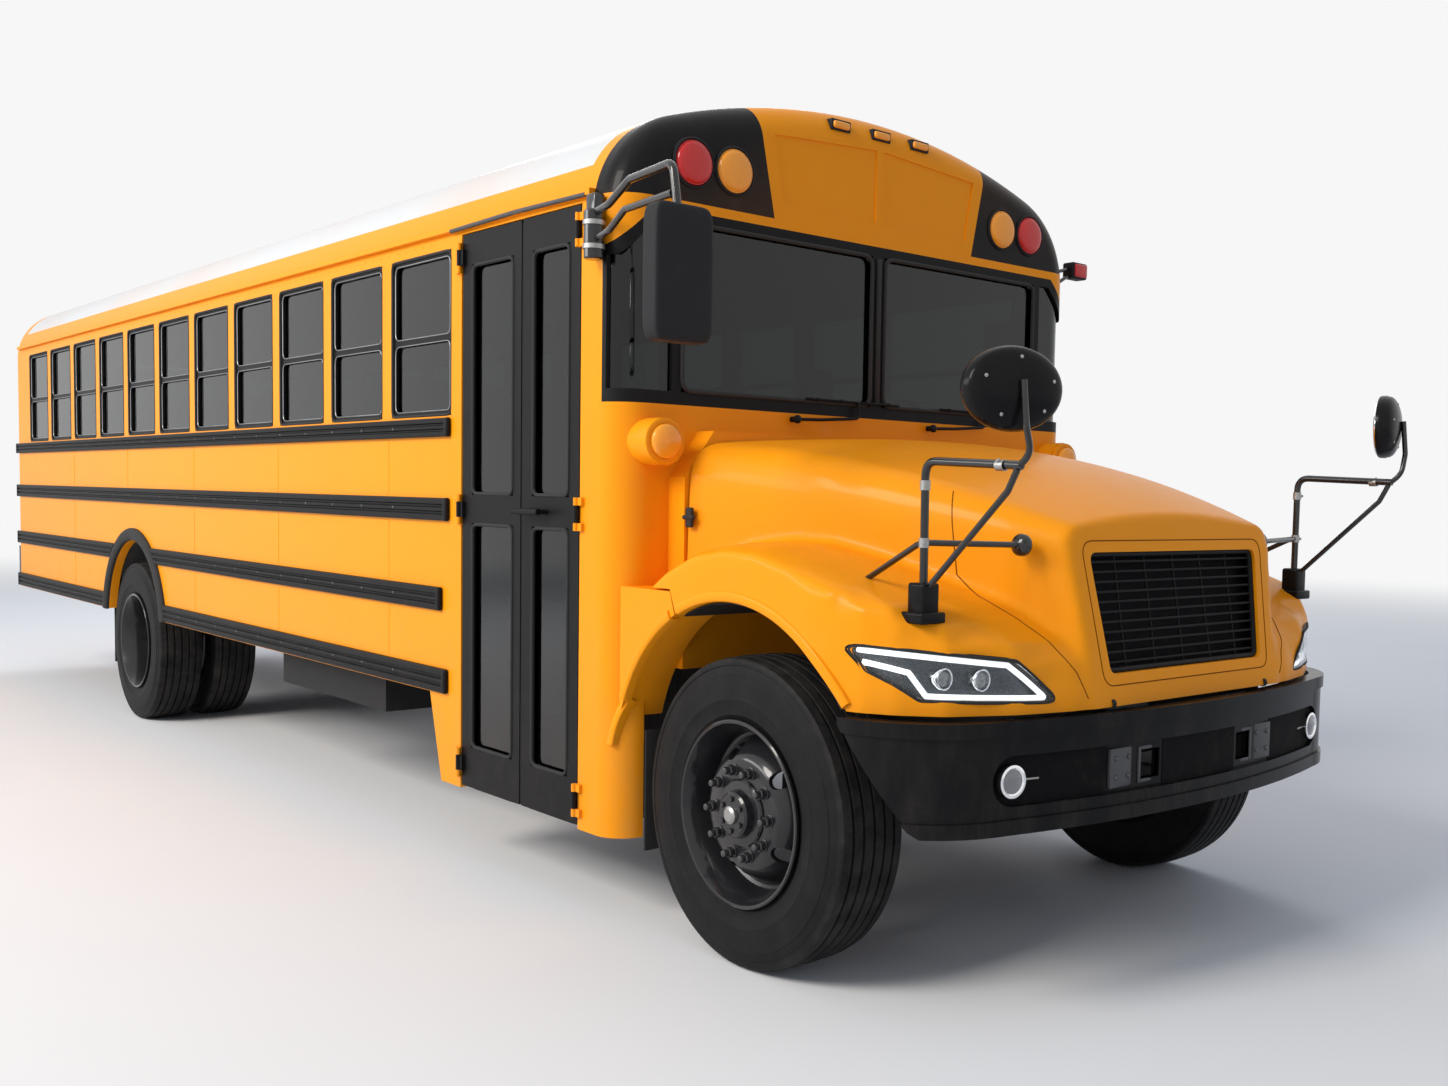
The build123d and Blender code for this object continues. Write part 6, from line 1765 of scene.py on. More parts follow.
@dataclass
class Lamps:
    """Warning, stop, turn and clearance lamps with their bezels.

    Attributes:
        warning_r: Radius of the large round lenses.
        turn_r: Radius of the turn lamps on the cowl.
        turn_place: A turn lamp's place from the front axle, out and up.
        front_lamps: Finish and place of the lamps over the windscreen, out and up.
        rear_lamps: Those on the rear wall.
        clearance: Places across of the small lamps on the front cap.
        clearance_z: Their height.
    """

    warning_r: float = 0.080
    turn_r: float = 0.061
    turn_place: Point = (-0.500, 1.092, 1.722)
    front_lamps: tuple[tuple[Finish, float, float], ...] = (
        (Finish.RED, 0.915, 2.720), (Finish.AMBER, 0.732, 2.721),
    )
    rear_lamps: tuple[tuple[Finish, float, float], ...] = (
        (Finish.RED, 0.915, 2.690), (Finish.AMBER, 0.732, 2.690), (Finish.RED, 0.860, 1.630),
        (Finish.AMBER, 1.040, 1.630),
    )
    clearance: tuple[float, ...] = (-0.217, 0.0, 0.217)
    clearance_z: float = 2.985

    def warning(self, form: Form, finish: Finish, place: Point, way: Point) -> None:
        """Add a domed lens with steps moulded in its rim and a black bezel."""
        r = self.warning_r
        rim = [(-0.030, r), (0.004, r), (0.008, r * 0.97), (0.008, r * 0.93), (0.012, r * 0.90)]
        dome = [(0.012 + 0.012 * s, r * 0.90 * c) for c, s in map(polar, range(12, 91, 13))]
        form.use(finish).turned([*rim, *dome, (0.0242, 0.0)], place, way, 56)
        face = ((0.006, r + 0.0005), (0.010, r + 0.004), (0.006, r + 0.010))
        bezel = ((-0.030, r + 0.0005), *face, (-0.030, r + 0.012))
        form.use(Finish.PLASTIC).turned(bezel, place, way, 56, closed=True)

    def turn(self, form: Form, place: Point) -> None:
        """Add a turn lamp in its yellow collar."""
        r = self.turn_r
        dome = [(0.010 + 0.024 * s, r * c) for c, s in map(polar, range(10, 90, 12))]
        form.use(Finish.AMBER).turned([(-0.02, r), (0.010, r), *dome, (0.0345, 0)], place, AHEAD, 48)
        face = ((0.002, r + 0.001), (0.004, r + 0.012), (0.0, r + 0.020))
        collar = ((-0.05, r + 0.001), *face, (-0.05, r + 0.022))
        form.use(Finish.YELLOW).turned(collar, place, AHEAD, 48, closed=True)

    def build(self) -> None:
        """Make every lamp on the body."""
        red, amber = Form("red_lamp_units", Finish.RED), Form("amber_lamp_units", Finish.AMBER)
        for wall_x, way, lamps in ((NOSE_X, AHEAD, self.front_lamps), (TAIL_X, (-1, 0, 0), self.rear_lamps)):
            for finish, y, z in lamps:
                for side in SIDES:
                    self.warning(red if finish is Finish.RED else amber, finish, (wall_x, side * y, z), way)
        x, y, z = from_axle(self.turn_place)
        for side in SIDES:
            self.turn(amber, (x, side * y, z))
        back, z = NOSE_X - 0.03, self.clearance_z
        for y in self.clearance:
            amber.use(Finish.AMBER)
            amber.box((back, y - 0.042, z - 0.014), (NOSE_X + 0.0135, y + 0.042, z + 0.014), 0.009, 4)
            amber.use(Finish.PLASTIC)
            amber.box((back, y - 0.050, z - 0.021), (NOSE_X + 0.004, y + 0.050, z + 0.021), 0.003)
        amber.finish("bus", ["amber_lamps"], 40)
        red.finish("bus", ["red_lamps"], 40)


@dataclass
class BumperTrim:
    """Fog lamps, handles, plates, near-black strips of painted shade in the pocket and bolt heads on the
    front bumper.

    Attributes:
        fog: Centre of the left fog lamp from the front axle.
        fog_way: The way it faces.
        face_r: Radius of the bumper's face, seen from above.
        face_x: How far its middle is ahead of the front axle.
        pocket_depth: Depth of the long pocket.
        pocket_half: Half the pocket's length.
        pocket_r: Radius of its round ends.
        shade_strips: Ends of the lined parts, distances out.
        handle: Distance out and half width of the small bright bar.
        hook: Distance out and half size of the tow hook's square hole.
        border: Width of the border round it.
        plate: Ends of the bolted plate, distances from the hook's middle.
    """

    fog: Point = (0.901, 0.837, 0.728)
    fog_way: Point = (1, 0.12, 0)
    face_r: float = 3.657
    face_x: float = 1.010
    pocket_depth: float = 0.026
    pocket_half: float = 0.905
    pocket_r: float = 0.0745
    # linings: Ends of the painted shade strips in the pocket, distances out.
    shade_strips: tuple[Pair, Pair] = ((0.462, 0.904), (0.0, 0.205))
    handle: Pair = (0.755, 0.024)
    hook: Pair = (0.265, 0.046)
    border: float = 0.012
    plate: Pair = (0.075, 0.190)

    def face(self, y: float) -> Vector:
        """The bumper's front at the fog lamps' height and a distance out."""
        return skin_at("front_bumper", (AXLE + 1.3, y, self.fog[2]), (-1, 0, 0))

    def shade_strip(self, form: Form, inner: float, outer: float) -> None:
        """Cover part of the long pocket, between two distances out, with a thin near-black plate of painted
        shade.
        """
        rings = []
        for i in range(17):
            y = inner + (outer - inner) * i / 16
            past = max(0.0, y - (self.pocket_half - self.pocket_r))
            reach = math.sqrt(max(self.pocket_r ** 2 - past ** 2, 0.0001))
            x = AXLE + self.face_x - self.face_r + math.sqrt((self.face_r - self.pocket_depth) ** 2 - y ** 2)
            z = self.fog[2]
            corners = ((0.0004, -reach), (0.002, -reach), (0.002, reach), (0.0004, reach))
            rings.append([(x + ahead, y, z + rise) for ahead, rise in corners])
        form.rings(rings)

    def build(self) -> None:
        """Make the trim."""
        form = Form("bumper_trim", Finish.CHROME)
        place = from_axle(self.fog)
        bezel = ((-0.01, 0.036), (0.006, 0.036), (0.010, 0.041), (0.008, 0.049), (-0.01, 0.050))
        form.turned(bezel, place, self.fog_way, 40, closed=True)
        lens = ((-0.008, 0.036), (0.004, 0.036), (0.008, 0.030), (0.011, 0.018), (0.012, 0))
        form.use(Finish.BEAM).turned(lens, place, self.fog_way, 40)
        y, half = self.handle
        start, end = (self.face(y + way * half) + Vector((0.003, 0, 0)) for way in SIDES)
        form.use(Finish.STEEL).bar(start, end, 0.0035, 10)
        (y, half), z = self.hook, self.fog[2]
        outer = half + self.border
        x = self.face(y + half + 0.02).x
        form.use(Finish.BRACKET)
        for y_low, y_high, z_low, z_high in (
            (-outer, -half, -outer, outer), (half, outer, -outer, outer), (-half, half, half, outer),
            (-half, half, -outer, -half),
        ):
            form.box((x - 0.012, y + y_low, z + z_low), (x + 0.006, y + y_high, z + z_high), 0.003)
        x = self.face(y + 0.13).x
        form.box((x - 0.012, y + self.plate[0], z - 0.062), (x + 0.0045, y + self.plate[1], z + 0.062), 0.004)
        # Near-black strips at the back of the pocket: painted shade in the recess.
        form.use(Finish.SHADE)
        for inner, outer in self.shade_strips:
            self.shade_strip(form, inner, outer)
        form.mirrored()
        form.finish("bus", smooth=40)
        places = [
            ((x + 0.0045, side * (y + out), z + rise), AHEAD)
            for side in SIDES for out in (0.100, 0.165) for rise in (-0.03, 0.03)
        ]
        studs.set_on("bumper_bolts", places, 0.009, 0.006, Finish.NUT, "bus", 6)


@dataclass
class BonnetTrim:
    """Rolled arch lips, black wheel liners and the rubber latches of the bonnet.

    Attributes:
        lip: Inner and outer radius of the rolled lip.
        liner_r: Radius of the liner.
        wing_span: Angles that the wing covers, in degrees from straight ahead.
        flare_span: Angles that the cowl's flare covers.
        liner_y: Inner and outer edge of the liner.
        latch: Middle of the left latch from the front axle, out and up.
    """

    lip: Pair = (0.640, 0.676)
    liner_r: float = 0.636
    wing_span: Pair = (34.5, 115.0)
    flare_span: Pair = (119.0, 172.0)
    liner_y: Pair = (0.640, 1.168)
    latch: Point = (-0.470, 1.010, 1.459)

    def band(self, form: Form, span: Pair, section: Callable[[float], Sequence[Pair]]) -> None:
        """Sweep a section round the front wheel arch.

        Args:
            form: The piece.
            span: First and last angle in degrees.
            section: Gives the section's (radius, distance out) corners at an angle.
        """
        rings = []
        for i in range(49):
            angle = span[0] + (span[1] - span[0]) * i / 48
            c, s = polar(angle)
            rings.append([(AXLE + r * c, y, Bonnet().arch_z + r * s) for r, y in section(angle)])
        form.rings(rings)

    def lip_section(self, node: str, angle: float) -> list[Pair]:
        """Section of a rolled lip that follows a node's outer face."""
        low, high = self.lip
        c, s = polar(angle)
        reach = high - 0.004
        face = skin_at(node, (AXLE + reach * c, 1.6, Bonnet().arch_z + reach * s), (0, -1, 0)).y
        middle, half = (low + high) / 2, (high - low) / 2
        rolled = [(middle + half * c, face + 0.001 + 0.008 * s) for c, s in map(polar, range(0, 181, 20))]
        return [(high, face - 0.012), *rolled, (low, face - 0.030), (low + 0.006, face - 0.034)]

    def liner_section(self, _: float) -> list[Pair]:
        """Section of the liner, with a turned-in edge, the same at every angle."""
        r, (inner, outer) = self.liner_r, self.liner_y
        skin = ((r, inner), (r, outer), (r - 0.004, outer), (r - 0.004, inner + 0.004))
        return [*skin, (r - 0.10, inner + 0.004), (r - 0.10, inner)]

    def build(self) -> None:
        """Make lips, liners and latches."""
        lips = Form("wing_lips", Finish.YELLOW)
        self.band(lips, self.wing_span, partial(self.lip_section, "bonnet"))
        lips.use(Finish.PLASTIC)
        self.band(lips, self.wing_span, self.liner_section)
        x, y, z = from_axle(self.latch)
        lips.use(Finish.RUBBER)
        lips.box((x - 0.016, y - 0.0105, z - 0.035), (x + 0.018, y + 0.004, z + 0.035), 0.005, 3)
        lips.bar((x - 0.030, y, z), (x + 0.030, y, z), 0.008, 12)
        lips.mirrored()
        lips.finish("bonnet", smooth=40)
        flares = Form("flare_lips", Finish.YELLOW)
        self.band(flares, self.flare_span, partial(self.lip_section, "cowl"))
        flares.mirrored()
        flares.finish("bus", smooth=40)


@dataclass
class BonnetGrooveShade:
    """Thin dark lines of painted shade along the bonnet's grooves: the edge round the grille and the joint
    between nose and wings.

    Attributes:
        margin: How far the edge stays from the grille opening.
        joint: The joint's route on one side, from the front axle.
        joint_way: The way it drops onto the left side.
        shade_line_r: Half width of a groove.
    """

    margin: float = 0.036
    joint: tuple[Point, ...] = (
        (0.520, 0.740, 1.620), (0.545, 0.760, 1.500), (0.580, 0.780, 1.360), (0.660, 0.745, 1.270),
        (0.760, 0.680, 1.190), (0.850, 0.620, 1.110), (0.915, 0.565, 1.020), (0.945, 0.535, 0.935),
    )
    joint_way: Point = (-0.45, -0.75, -0.48)
    # shade_line_r: Half width of a painted shade line.
    shade_line_r: float = 0.0020

    def laid(self, tree: BVHTree, route: Sequence[Vector], way: Vector) -> list[Vector]:
        """Drop a route onto the moulding.

        Args:
            tree: The moulding's faces.
            route: Points outside it or near its skin.
            way: Direction in which they drop.

        Returns:
            The points that met it.
        """
        places = [before.lerp(after, i / 6) for before, after in zip(route, route[1:]) for i in range(6)]
        met = [tree.ray_cast(place - way * 0.45, way)[0] for place in places]
        return [point for point in met if point is not None]

    def build(self) -> None:
        """Make the painted shade lines along the grooves."""
        tree = tree_of(bpy.data.objects["bonnet_moulding"].data, Matrix.Identity(4))
        # Dark lines laid on the moulding are painted shade of its grooves.
        form = Form("bonnet_groove_shade", Finish.GROOVE_SHADE)
        edge = [Vector((AXLE + 1.0, y, z)) for y, z in Bonnet().grille_outline(self.margin, 0.05)]
        spots = self.laid(tree, [*edge, edge[0]], Vector((-1, 0, 0)))
        form.pipe([*spots, spots[0]], self.shade_line_r, 0.001, 6)
        for side in SIDES:
            joint = [Vector(from_axle((x, side * y, z))) for x, y, z in self.joint]
            way = (Matrix.Diagonal((1, side, 1)) @ Vector(self.joint_way)).normalized()
            form.pipe(self.laid(tree, joint, way), self.shade_line_r, 0.001, 6)
        form.finish("bonnet", smooth=60)


@dataclass
class SideBody:
    """Window gaskets, latches, rub-rail caps, arch rubbers, mudflaps, rivets and laps of the sides.

    Attributes:
        first_window: Middle of the rearmost window from the front axle.
        pitch: Distance between windows.
        half: Half width of a window opening.
        sill: Height of the openings' lower edge.
        head: Height of their upper edge.
        meeting: Height of the bar where the sashes meet.
        windows: Windows on the right side.
        driver: Middle and half width of the driver's window, on the left only.
        rails: Lower and upper edge of each rub rail with its front end.
        rail_bolt_step: Distance between a rail's bolts.
        bolt_head: Radius and height of their heads.
        rivet_rows: Height and spacing of each row of rivets.
        rivet_head: Radius and height of a rivet's head.
        gasket_r: Radius of the window rubbers.
        sash_r: Radius of the bright sash edges.
        laps: Lower and upper end of each part of a sheet lap.
        arch: Centre height, inner and outer radius of the rear arch rubber.
        arch_gap: Half length and height of the space that the arch takes from rows and laps.
        foot_z: Height of the arch rubber's ends.
        rear_flap: Inner and outer edge, foot and top of the rear mudflaps.
        front_flap: The same of the front ones.
        drip: Places of the drip rail over the entrance, from the front axle.
    """

    first_window: float = -8.779
    pitch: float = 0.6644
    half: float = 0.284
    sill: float = 1.845
    head: float = 2.521
    meeting: float = 2.168
    windows: int = 11
    driver: Pair = (AXLE - 1.350, 0.450)
    rails: tuple[Point, ...] = (
        (1.757, 1.834, -1.862), (1.409, 1.503, -1.871), (1.033, 1.129, -1.935), (0.688, 0.788, -1.882),
    )
    rail_bolt_step: float = 0.332
    bolt_head: Pair = (0.0075, 0.004)
    rivet_rows: tuple[Pair, ...] = ((1.812, 0.083), (2.556, 0.083), (1.300, 0.166), (0.900, 0.166))
    rivet_head: Pair = (0.0042, 0.0012)
    gasket_r: float = 0.007
    sash_r: float = 0.0028
    laps: tuple[Pair, ...] = ((0.80, 1.020), (1.140, 1.400), (1.510, 1.750))
    arch: Point = (0.560, 0.606, 0.684)
    arch_gap: Pair = (0.72, 1.25)
    foot_z: float = 0.682
    rear_flap: tuple[float, float, float, float] = (0.602, 1.163, 0.300, 0.958)
    front_flap: tuple[float, float, float, float] = (0.962, 1.098, 0.262, 0.698)
    drip: tuple[Point, ...] = (
        (-1.83, -HALF_WIDTH - 0.012, 2.586), (-1.3, -HALF_WIDTH - 0.014, 2.592),
        (-0.80, -HALF_WIDTH - 0.012, 2.588),
    )

    def at_arch(self, x: float, height: float) -> bool:
        """Whether a place on the side lies beside the rear arch."""
        reach, top = self.arch_gap
        return abs(x - REAR_AXLE) < reach and height < top

    def window_x(self, count: float) -> float:
        """Place along the bus, counted in windows from the middle of the rearmost one."""
        return AXLE + self.first_window + self.pitch * count

    def gaskets(self) -> None:
        """Make the loops, bright inner edges and latches of all side windows."""
        rubber, bright = Form("window_gaskets", Finish.RUBBER), Form("sash_edges", Finish.SASH)
        sashes = ((self.sill + 0.023, self.meeting - 0.014), (self.meeting + 0.014, self.head - 0.023))
        for side in SIDES:
            outer, inner = side * (HALF_WIDTH - 0.004), side * (HALF_WIDTH - 0.0085)
            places = [(self.window_x(i), self.half) for i in range(self.windows)] + [self.driver] * (side > 0)
            for middle, half in places:
                low, high = self.sill + 0.003, self.head - 0.003
                rubber.gasket(lambda x, z: (x, outer, z), middle, half - 0.003, low, high, self.gasket_r)
                for low, high in sashes:
                    sash = (middle, half - 0.0235, low, high)
                    bright.gasket(lambda x, z: (x, inner, z), *sash, self.sash_r)
                for shift in (-0.16, 0.16):
                    latch = (middle + shift, side * (HALF_WIDTH - 0.045), self.meeting + 0.012)
                    bright.block(latch, (0.022, 0.005, 0.008), 0.003)
        rubber.finish("bus", smooth=45)
        bright.finish("bus", smooth=45)

    def rail_ends(self) -> None:
        """Make the rounded end caps of the rub rails and their bolts."""
        form = Form("rail_caps", Finish.RAIL_BLACK)
        bolts = []
        rear = TAIL_X + 0.120
        for low, high, front in self.rails:
            ends = ((AXLE + front - 0.018, AXLE + front + 0.014), (rear - 0.014, rear + 0.018))
            for side in SIDES:
                face, edge = side * (HALF_WIDTH + 0.001), side * (HALF_WIDTH + 0.0225)
                for start, end in ends:
                    form.box((start, face, low - 0.001), (end, edge, high + 0.001), 0.008, 3)
                for i in range(int((AXLE + front - rear) / self.rail_bolt_step)):
                    x = rear + 0.12 + self.rail_bolt_step * i
                    if not self.at_arch(x, low):
                        bolts.append(((x, side * (HALF_WIDTH + 0.0195), (low + high) / 2), (0, side, 0)))
        form.finish("bus", smooth=40)
        studs.set_on("rail_bolts", bolts, *self.bolt_head, Finish.NUT, "bus", 8)

    def rivets(self) -> None:
        """Set the rivet rows along the window band, the eaves and the skirt, and up the posts."""
        start, end = TAIL_X + 0.24, AXLE - 1.90
        spots = []
        for height, step in self.rivet_rows:
            row = [start + step * i for i in range(int((end - start) / step))]
            spots += [(x, height) for x in row if not self.at_arch(x, height)]
        low, high = self.sill + 0.03, self.head - 0.03
        heights = [low + (high - low) * k / 6 for k in range(7)]
        spots += [(self.window_x(i - 0.5), z) for i in range(self.windows + 1) for z in heights]
        places = [((x, side * HALF_WIDTH, z), (0, side, 0)) for x, z in spots for side in SIDES]
        studs.set_on("panel_rivets", places, *self.rivet_head, Finish.YELLOW, "bus", 6)

    def arch_rubbers(self) -> None:
        """Make the rounded rubbers of the rear arches and all mudflaps."""
        form = Form("arch_lips", Finish.RUBBER)
        centre_z, inner, outer = self.arch
        middle, half = (inner + outer) / 2, (outer - inner) / 2
        rounded = [(middle + half * c, 0.010 + 0.019 * s) for c, s in map(polar, range(15, 180, 15))]
        section = [(outer, 0.0005), (outer, 0.010), *rounded, (inner, 0.010), (inner, 0.0005)]
        start = math.degrees(math.asin((self.foot_z - centre_z) / middle))
        turns = [polar(start + (180 - 2 * start) * i / 72) for i in range(73)]
        rear_x = REAR_AXLE - 0.690
        flaps = ((rear_x, self.rear_flap), (NOSE_X, self.front_flap))
        for side in SIDES:
            form.rings(
                [(REAR_AXLE + r * c, side * (HALF_WIDTH + out), centre_z + r * s) for r, out in section]
                for c, s in turns
            )
            for x, (inside, outside, low, high) in flaps:
                form.box((x + 0.001, side * inside, low), (x + 0.011, side * outside, high), 0.003)
            for rib in range(4):
                form.block((rear_x + 0.001, side * (0.66 + 0.13 * rib), 0.615), (0.003, 0.012, 0.285), 0.001)
        form.finish("bus", ["arch_rubbers"], 40)

    def sheet_laps(self) -> None:
        """Lay the lap seams of the side sheets and the drip rail over the entrance."""
        form = Form("sheet_laps", Finish.YELLOW)
        for side in SIDES:
            for x in (self.window_x(2 * k + 1.5) for k in range(5)):
                for low, high in self.laps:
                    face, top = side * (HALF_WIDTH - 0.001), side * (HALF_WIDTH + 0.0016)
                    if not self.at_arch(x, low):
                        form.box((x - 0.020, face, low), (x + 0.020, top, high), 0.0006, 1)
        form.finish("bus", smooth=30)
        drip = Form("door_drip_rail", Finish.BRACKET)
        drip.pipe([from_axle(point) for point in self.drip], 0.009, 0.1, 10)
        drip.finish("bus", smooth=40)

    def build(self) -> None:
        """Make all of it."""
        self.gaskets()
        self.rail_ends()
        self.rivets()
        self.arch_rubbers()
        self.sheet_laps()


@dataclass
class Windscreen:
    """Rubber seals of the two large panes with the bar between them, and the wipers.

    Attributes:
        glass: Lower and upper edge of the panes.
        divider: Half width of the middle bar.
        mullion: The panes' outer edge.
        pivots: Places across of the wipers' pivots.
        pivot_z: Their height.
        arm_length: Reach of a wiper's arm across the screen.
        blade: Where a blade starts from its pivot, and its length.
        blade_z: Height of the parked blades.
        holders: Places of a blade's holders, as shares of its length.
    """

    glass: Pair = (1.905, 2.508)
    divider: float = 0.032
    mullion: float = 0.958
    pivots: Pair = (-0.441, 0.300)
    pivot_z: float = 1.834
    arm_length: float = 0.360
    blade: Pair = (0.060, 0.500)
    blade_z: float = 1.918
    holders: tuple[float, ...] = (0.12, 0.37, 0.63, 0.88)

    def seals(self) -> None:
        """Make the seals."""
        seal = Form("screen_seals", Finish.RUBBER)
        x, (low, high) = NOSE_X + 0.002, self.glass
        middle, half = (self.mullion + self.divider) / 2, (self.mullion - self.divider) / 2 - 0.004
        for side in SIDES:
            loop = (side * middle, side * half, low + 0.004, high - 0.004)
            seal.gasket(lambda y, z: (x, y, z), *loop, 0.0085, 0.045, 10)
        seal.bar((x + 0.001, 0, low + 0.01), (x + 0.001, 0, high - 0.01), 0.012, 16)
        seal.finish("bus", smooth=45)

    def wiper(self, form: Form, pivot: float) -> None:
        """Add one wiper: pivot, bent arm, blade and its rubber."""
        x, z, blade_z = NOSE_X, self.pivot_z, self.blade_z
        boss = ((-0.07, 0.011), (0.028, 0.011), (0.030, 0.016), (0.040, 0.016), (0.044, 0.010), (0.046, 0))
        form.use(Finish.SATIN_BLACK).turned(boss, (x, pivot, z), AHEAD, 24)
        end = pivot + self.arm_length - 0.03
        arm = [(x + 0.034, pivot, z), (x + 0.036, pivot + 0.12, z + 0.004), (x + 0.026, end, z + 0.020)]
        form.pipe([*arm, (x + 0.018, end, blade_z)], 0.0065, 0.03, 10)
        start, length = pivot + self.blade[0], self.blade[1]
        form.box((x + 0.009, start, blade_z - 0.004), (x + 0.019, start + length, blade_z + 0.004), 0.003)
        for share in self.holders:
            form.block((x + 0.015, start + length * share, blade_z), (0.007, 0.008, 0.006), 0.002)
        low, high = start + 0.006, start + length - 0.006
        form.use(Finish.RUBBER)
        form.box((x + 0.001, low, blade_z - 0.0015), (x + 0.012, high, blade_z + 0.0015), 0.001, 1)

    def build(self) -> None:
        """Make seals and wipers."""
        self.seals()
        form = Form("wiper_arms", Finish.SATIN_BLACK)
        for pivot in self.pivots:
            self.wiper(form, pivot)
        form.finish("bus", ["wipers"], 40)


@dataclass
class Entrance:
    """Gaskets of the door's panes, the rubbers where the leaves meet and those at their feet.

    Attributes:
        panes: Lower and upper edge of each leaf's panes.
        leaves: Each leaf's name, the rear and front edge of its glass from the front axle, and
            which way it lies from the joint between them.
        split: Where the leaves meet.
        loops: How far each gasket lies inside the leaf's face, with its cord's radius.
    """

    panes: tuple[Pair, Pair] = ((0.490, 1.406), (1.520, 2.438))
    leaves: tuple[tuple[str, Pair, int], ...] = (
        ("front", (-1.190, -0.925), 1), ("rear", (-1.672, -1.337), -1),
    )
    split: float = -1.271
    loops: tuple[Pair, Pair] = ((0.002, 0.0075), (0.042, 0.006))

    def build(self) -> None:
        """Make the trim of both leaves."""
        outer = -(HALF_WIDTH - 0.002)
        for name, (rear, front), ahead in self.leaves:
            form = Form(f"door_gasket_{name}", Finish.RUBBER)
            middle, half = AXLE + (rear + front) / 2, (front - rear) / 2
            for low, high in self.panes:
                pane = (middle, half - 0.005, low + 0.005, high - 0.005)
                for depth, radius in self.loops:
                    form.gasket(lambda x, z: (x, outer + depth, z), *pane, radius)
            meeting = AXLE + self.split + ahead * 0.0055
            form.block((meeting, outer + 0.020, 1.4435), (0.0025, 0.016, 1.1085), 0.002)
            form.block((middle, outer + 0.020, 0.3235), (0.16, 0.012, 0.0045), 0.003)
            form.finish("door_" + name, smooth=45)


@dataclass
class Cab:
    """Dashboard, steering column, a round steering wheel and two dials.

    Attributes:
        dash: The dashboard's section, from the front axle and up.
        dash_left: Distance out of the dashboard's left end.
        dash_width: The dashboard's width.
        wheel_r: Radius of the steering wheel.
        hub: Its middle from the front axle.
        column: The column's direction, towards the driver.
        dials: Middle between the dials, from the front axle.
    """

    dash: tuple[Pair, ...] = (
        (-0.652, 1.182), (-0.652, 1.828), (-0.812, 1.838), (-0.978, 1.700), (-0.950, 1.500), (-0.810, 1.182),
    )
    dash_left: float = 1.088
    dash_width: float = 1.566
    wheel_r: float = 0.208
    hub: Point = (-1.176, 0.620, 1.805)
    column: Point = (-0.850, 0, 0.527)
    dials: Point = (-0.905, 0.620, 1.775)

    def build(self) -> None:
        """Make the cab's fittings."""
        form = Form("driver_controls", Finish.PLASTIC)
        dash = [(AXLE + x, z) for x, z in self.dash]
        form.slab(dash, (0, self.dash_left, 0), AHEAD, UP, self.dash_width, 0.018)
        way, hub = Vector(self.column).normalized(), Vector(from_axle(self.hub))
        form.bar(hub - way * 0.42, hub - way * 0.02, 0.032, 24)
        out = way.orthogonal().normalized()
        turns = [Matrix.Rotation(2 * math.pi * i / 48, 3, way) for i in range(49)]
        around = [hub + (turn @ out) * self.wheel_r for turn in turns]
        form.use(Finish.RUBBER).pipe(around, 0.0135, 0.002, 10)
        boss = ((-0.03, 0.040), (-0.01, 0.050), (0.010, 0.048), (0.016, 0.030), (0.018, 0))
        form.turned(boss, hub, way, 32)
        for turn in (90, 210, 330):
            spoke = Matrix.Rotation(math.radians(turn), 3, way) @ out
            bend = hub + spoke * self.wheel_r * 0.6 - way * 0.006
            form.pipe([hub + spoke * 0.03, bend, hub + spoke * self.wheel_r], 0.009, 0.05, 10)
        x, y, z = from_axle(self.dials)
        bezel = ((0, 0.052), (0.006, 0.055), (0.010, 0.050), (0.006, 0.046))
        for shift in (-0.11, 0.11):
            form.use(Finish.CHROME).turned(bezel, (x, y + shift, z), (-0.62, 0, 0.78), 32, closed=True)
        form.finish("bus", ["dashboard"], 38)


@dataclass
class StopArm:
    """White border of the blank octagon and its two round lamps, on both faces.

    Attributes:
        border: Section of the border: share of the octagon with distance from the plate's middle.
        lamp_rise: How far the lamps stand above and below the octagon's centre.
    """

    border: tuple[Pair, ...] = ((0.955, 0.0035), (0.955, 0.0055), (0.885, 0.0055), (0.885, 0.0035))
    lamp_rise: float = 0.150

    def build(self) -> None:
        """Make the border on the stop arm's own body."""
        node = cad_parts["stop_arm"]
        corners = [node.matrix_world @ vert.co for vert in node.data.vertices]
        (low_x, _), (low_y, high_y), (low_z, high_z) = ((min(row), max(row)) for row in zip(*corners))
        reach = (high_z - low_z) / 2
        x, y, z = low_x + reach, (low_y + high_y) / 2, (high_z + low_z) / 2
        radius = reach / math.cos(math.pi / 8)
        eighths = [polar(22.5 + 45 * k) for k in range(8)]
        form = Form("stop_border", Finish.STOP_WHITE)
        for face in SIDES:
            rings = [
                [(x + share * radius * c, y + face * out, z + share * radius * s) for c, s in eighths]
                for share, out in self.border
            ]
            form.use(Finish.STOP_WHITE).rings(rings, looped=True)
            for rise in (self.lamp_rise, -self.lamp_rise):
                lens = ((0, 0.036), (0.004, 0.036), (0.007, 0.028), (0.008, 0))
                form.use(Finish.RED).turned(lens, (x, y + face * 0.004, z + rise), (0, face, 0), 32)
        form.finish("stop_arm", smooth=40)


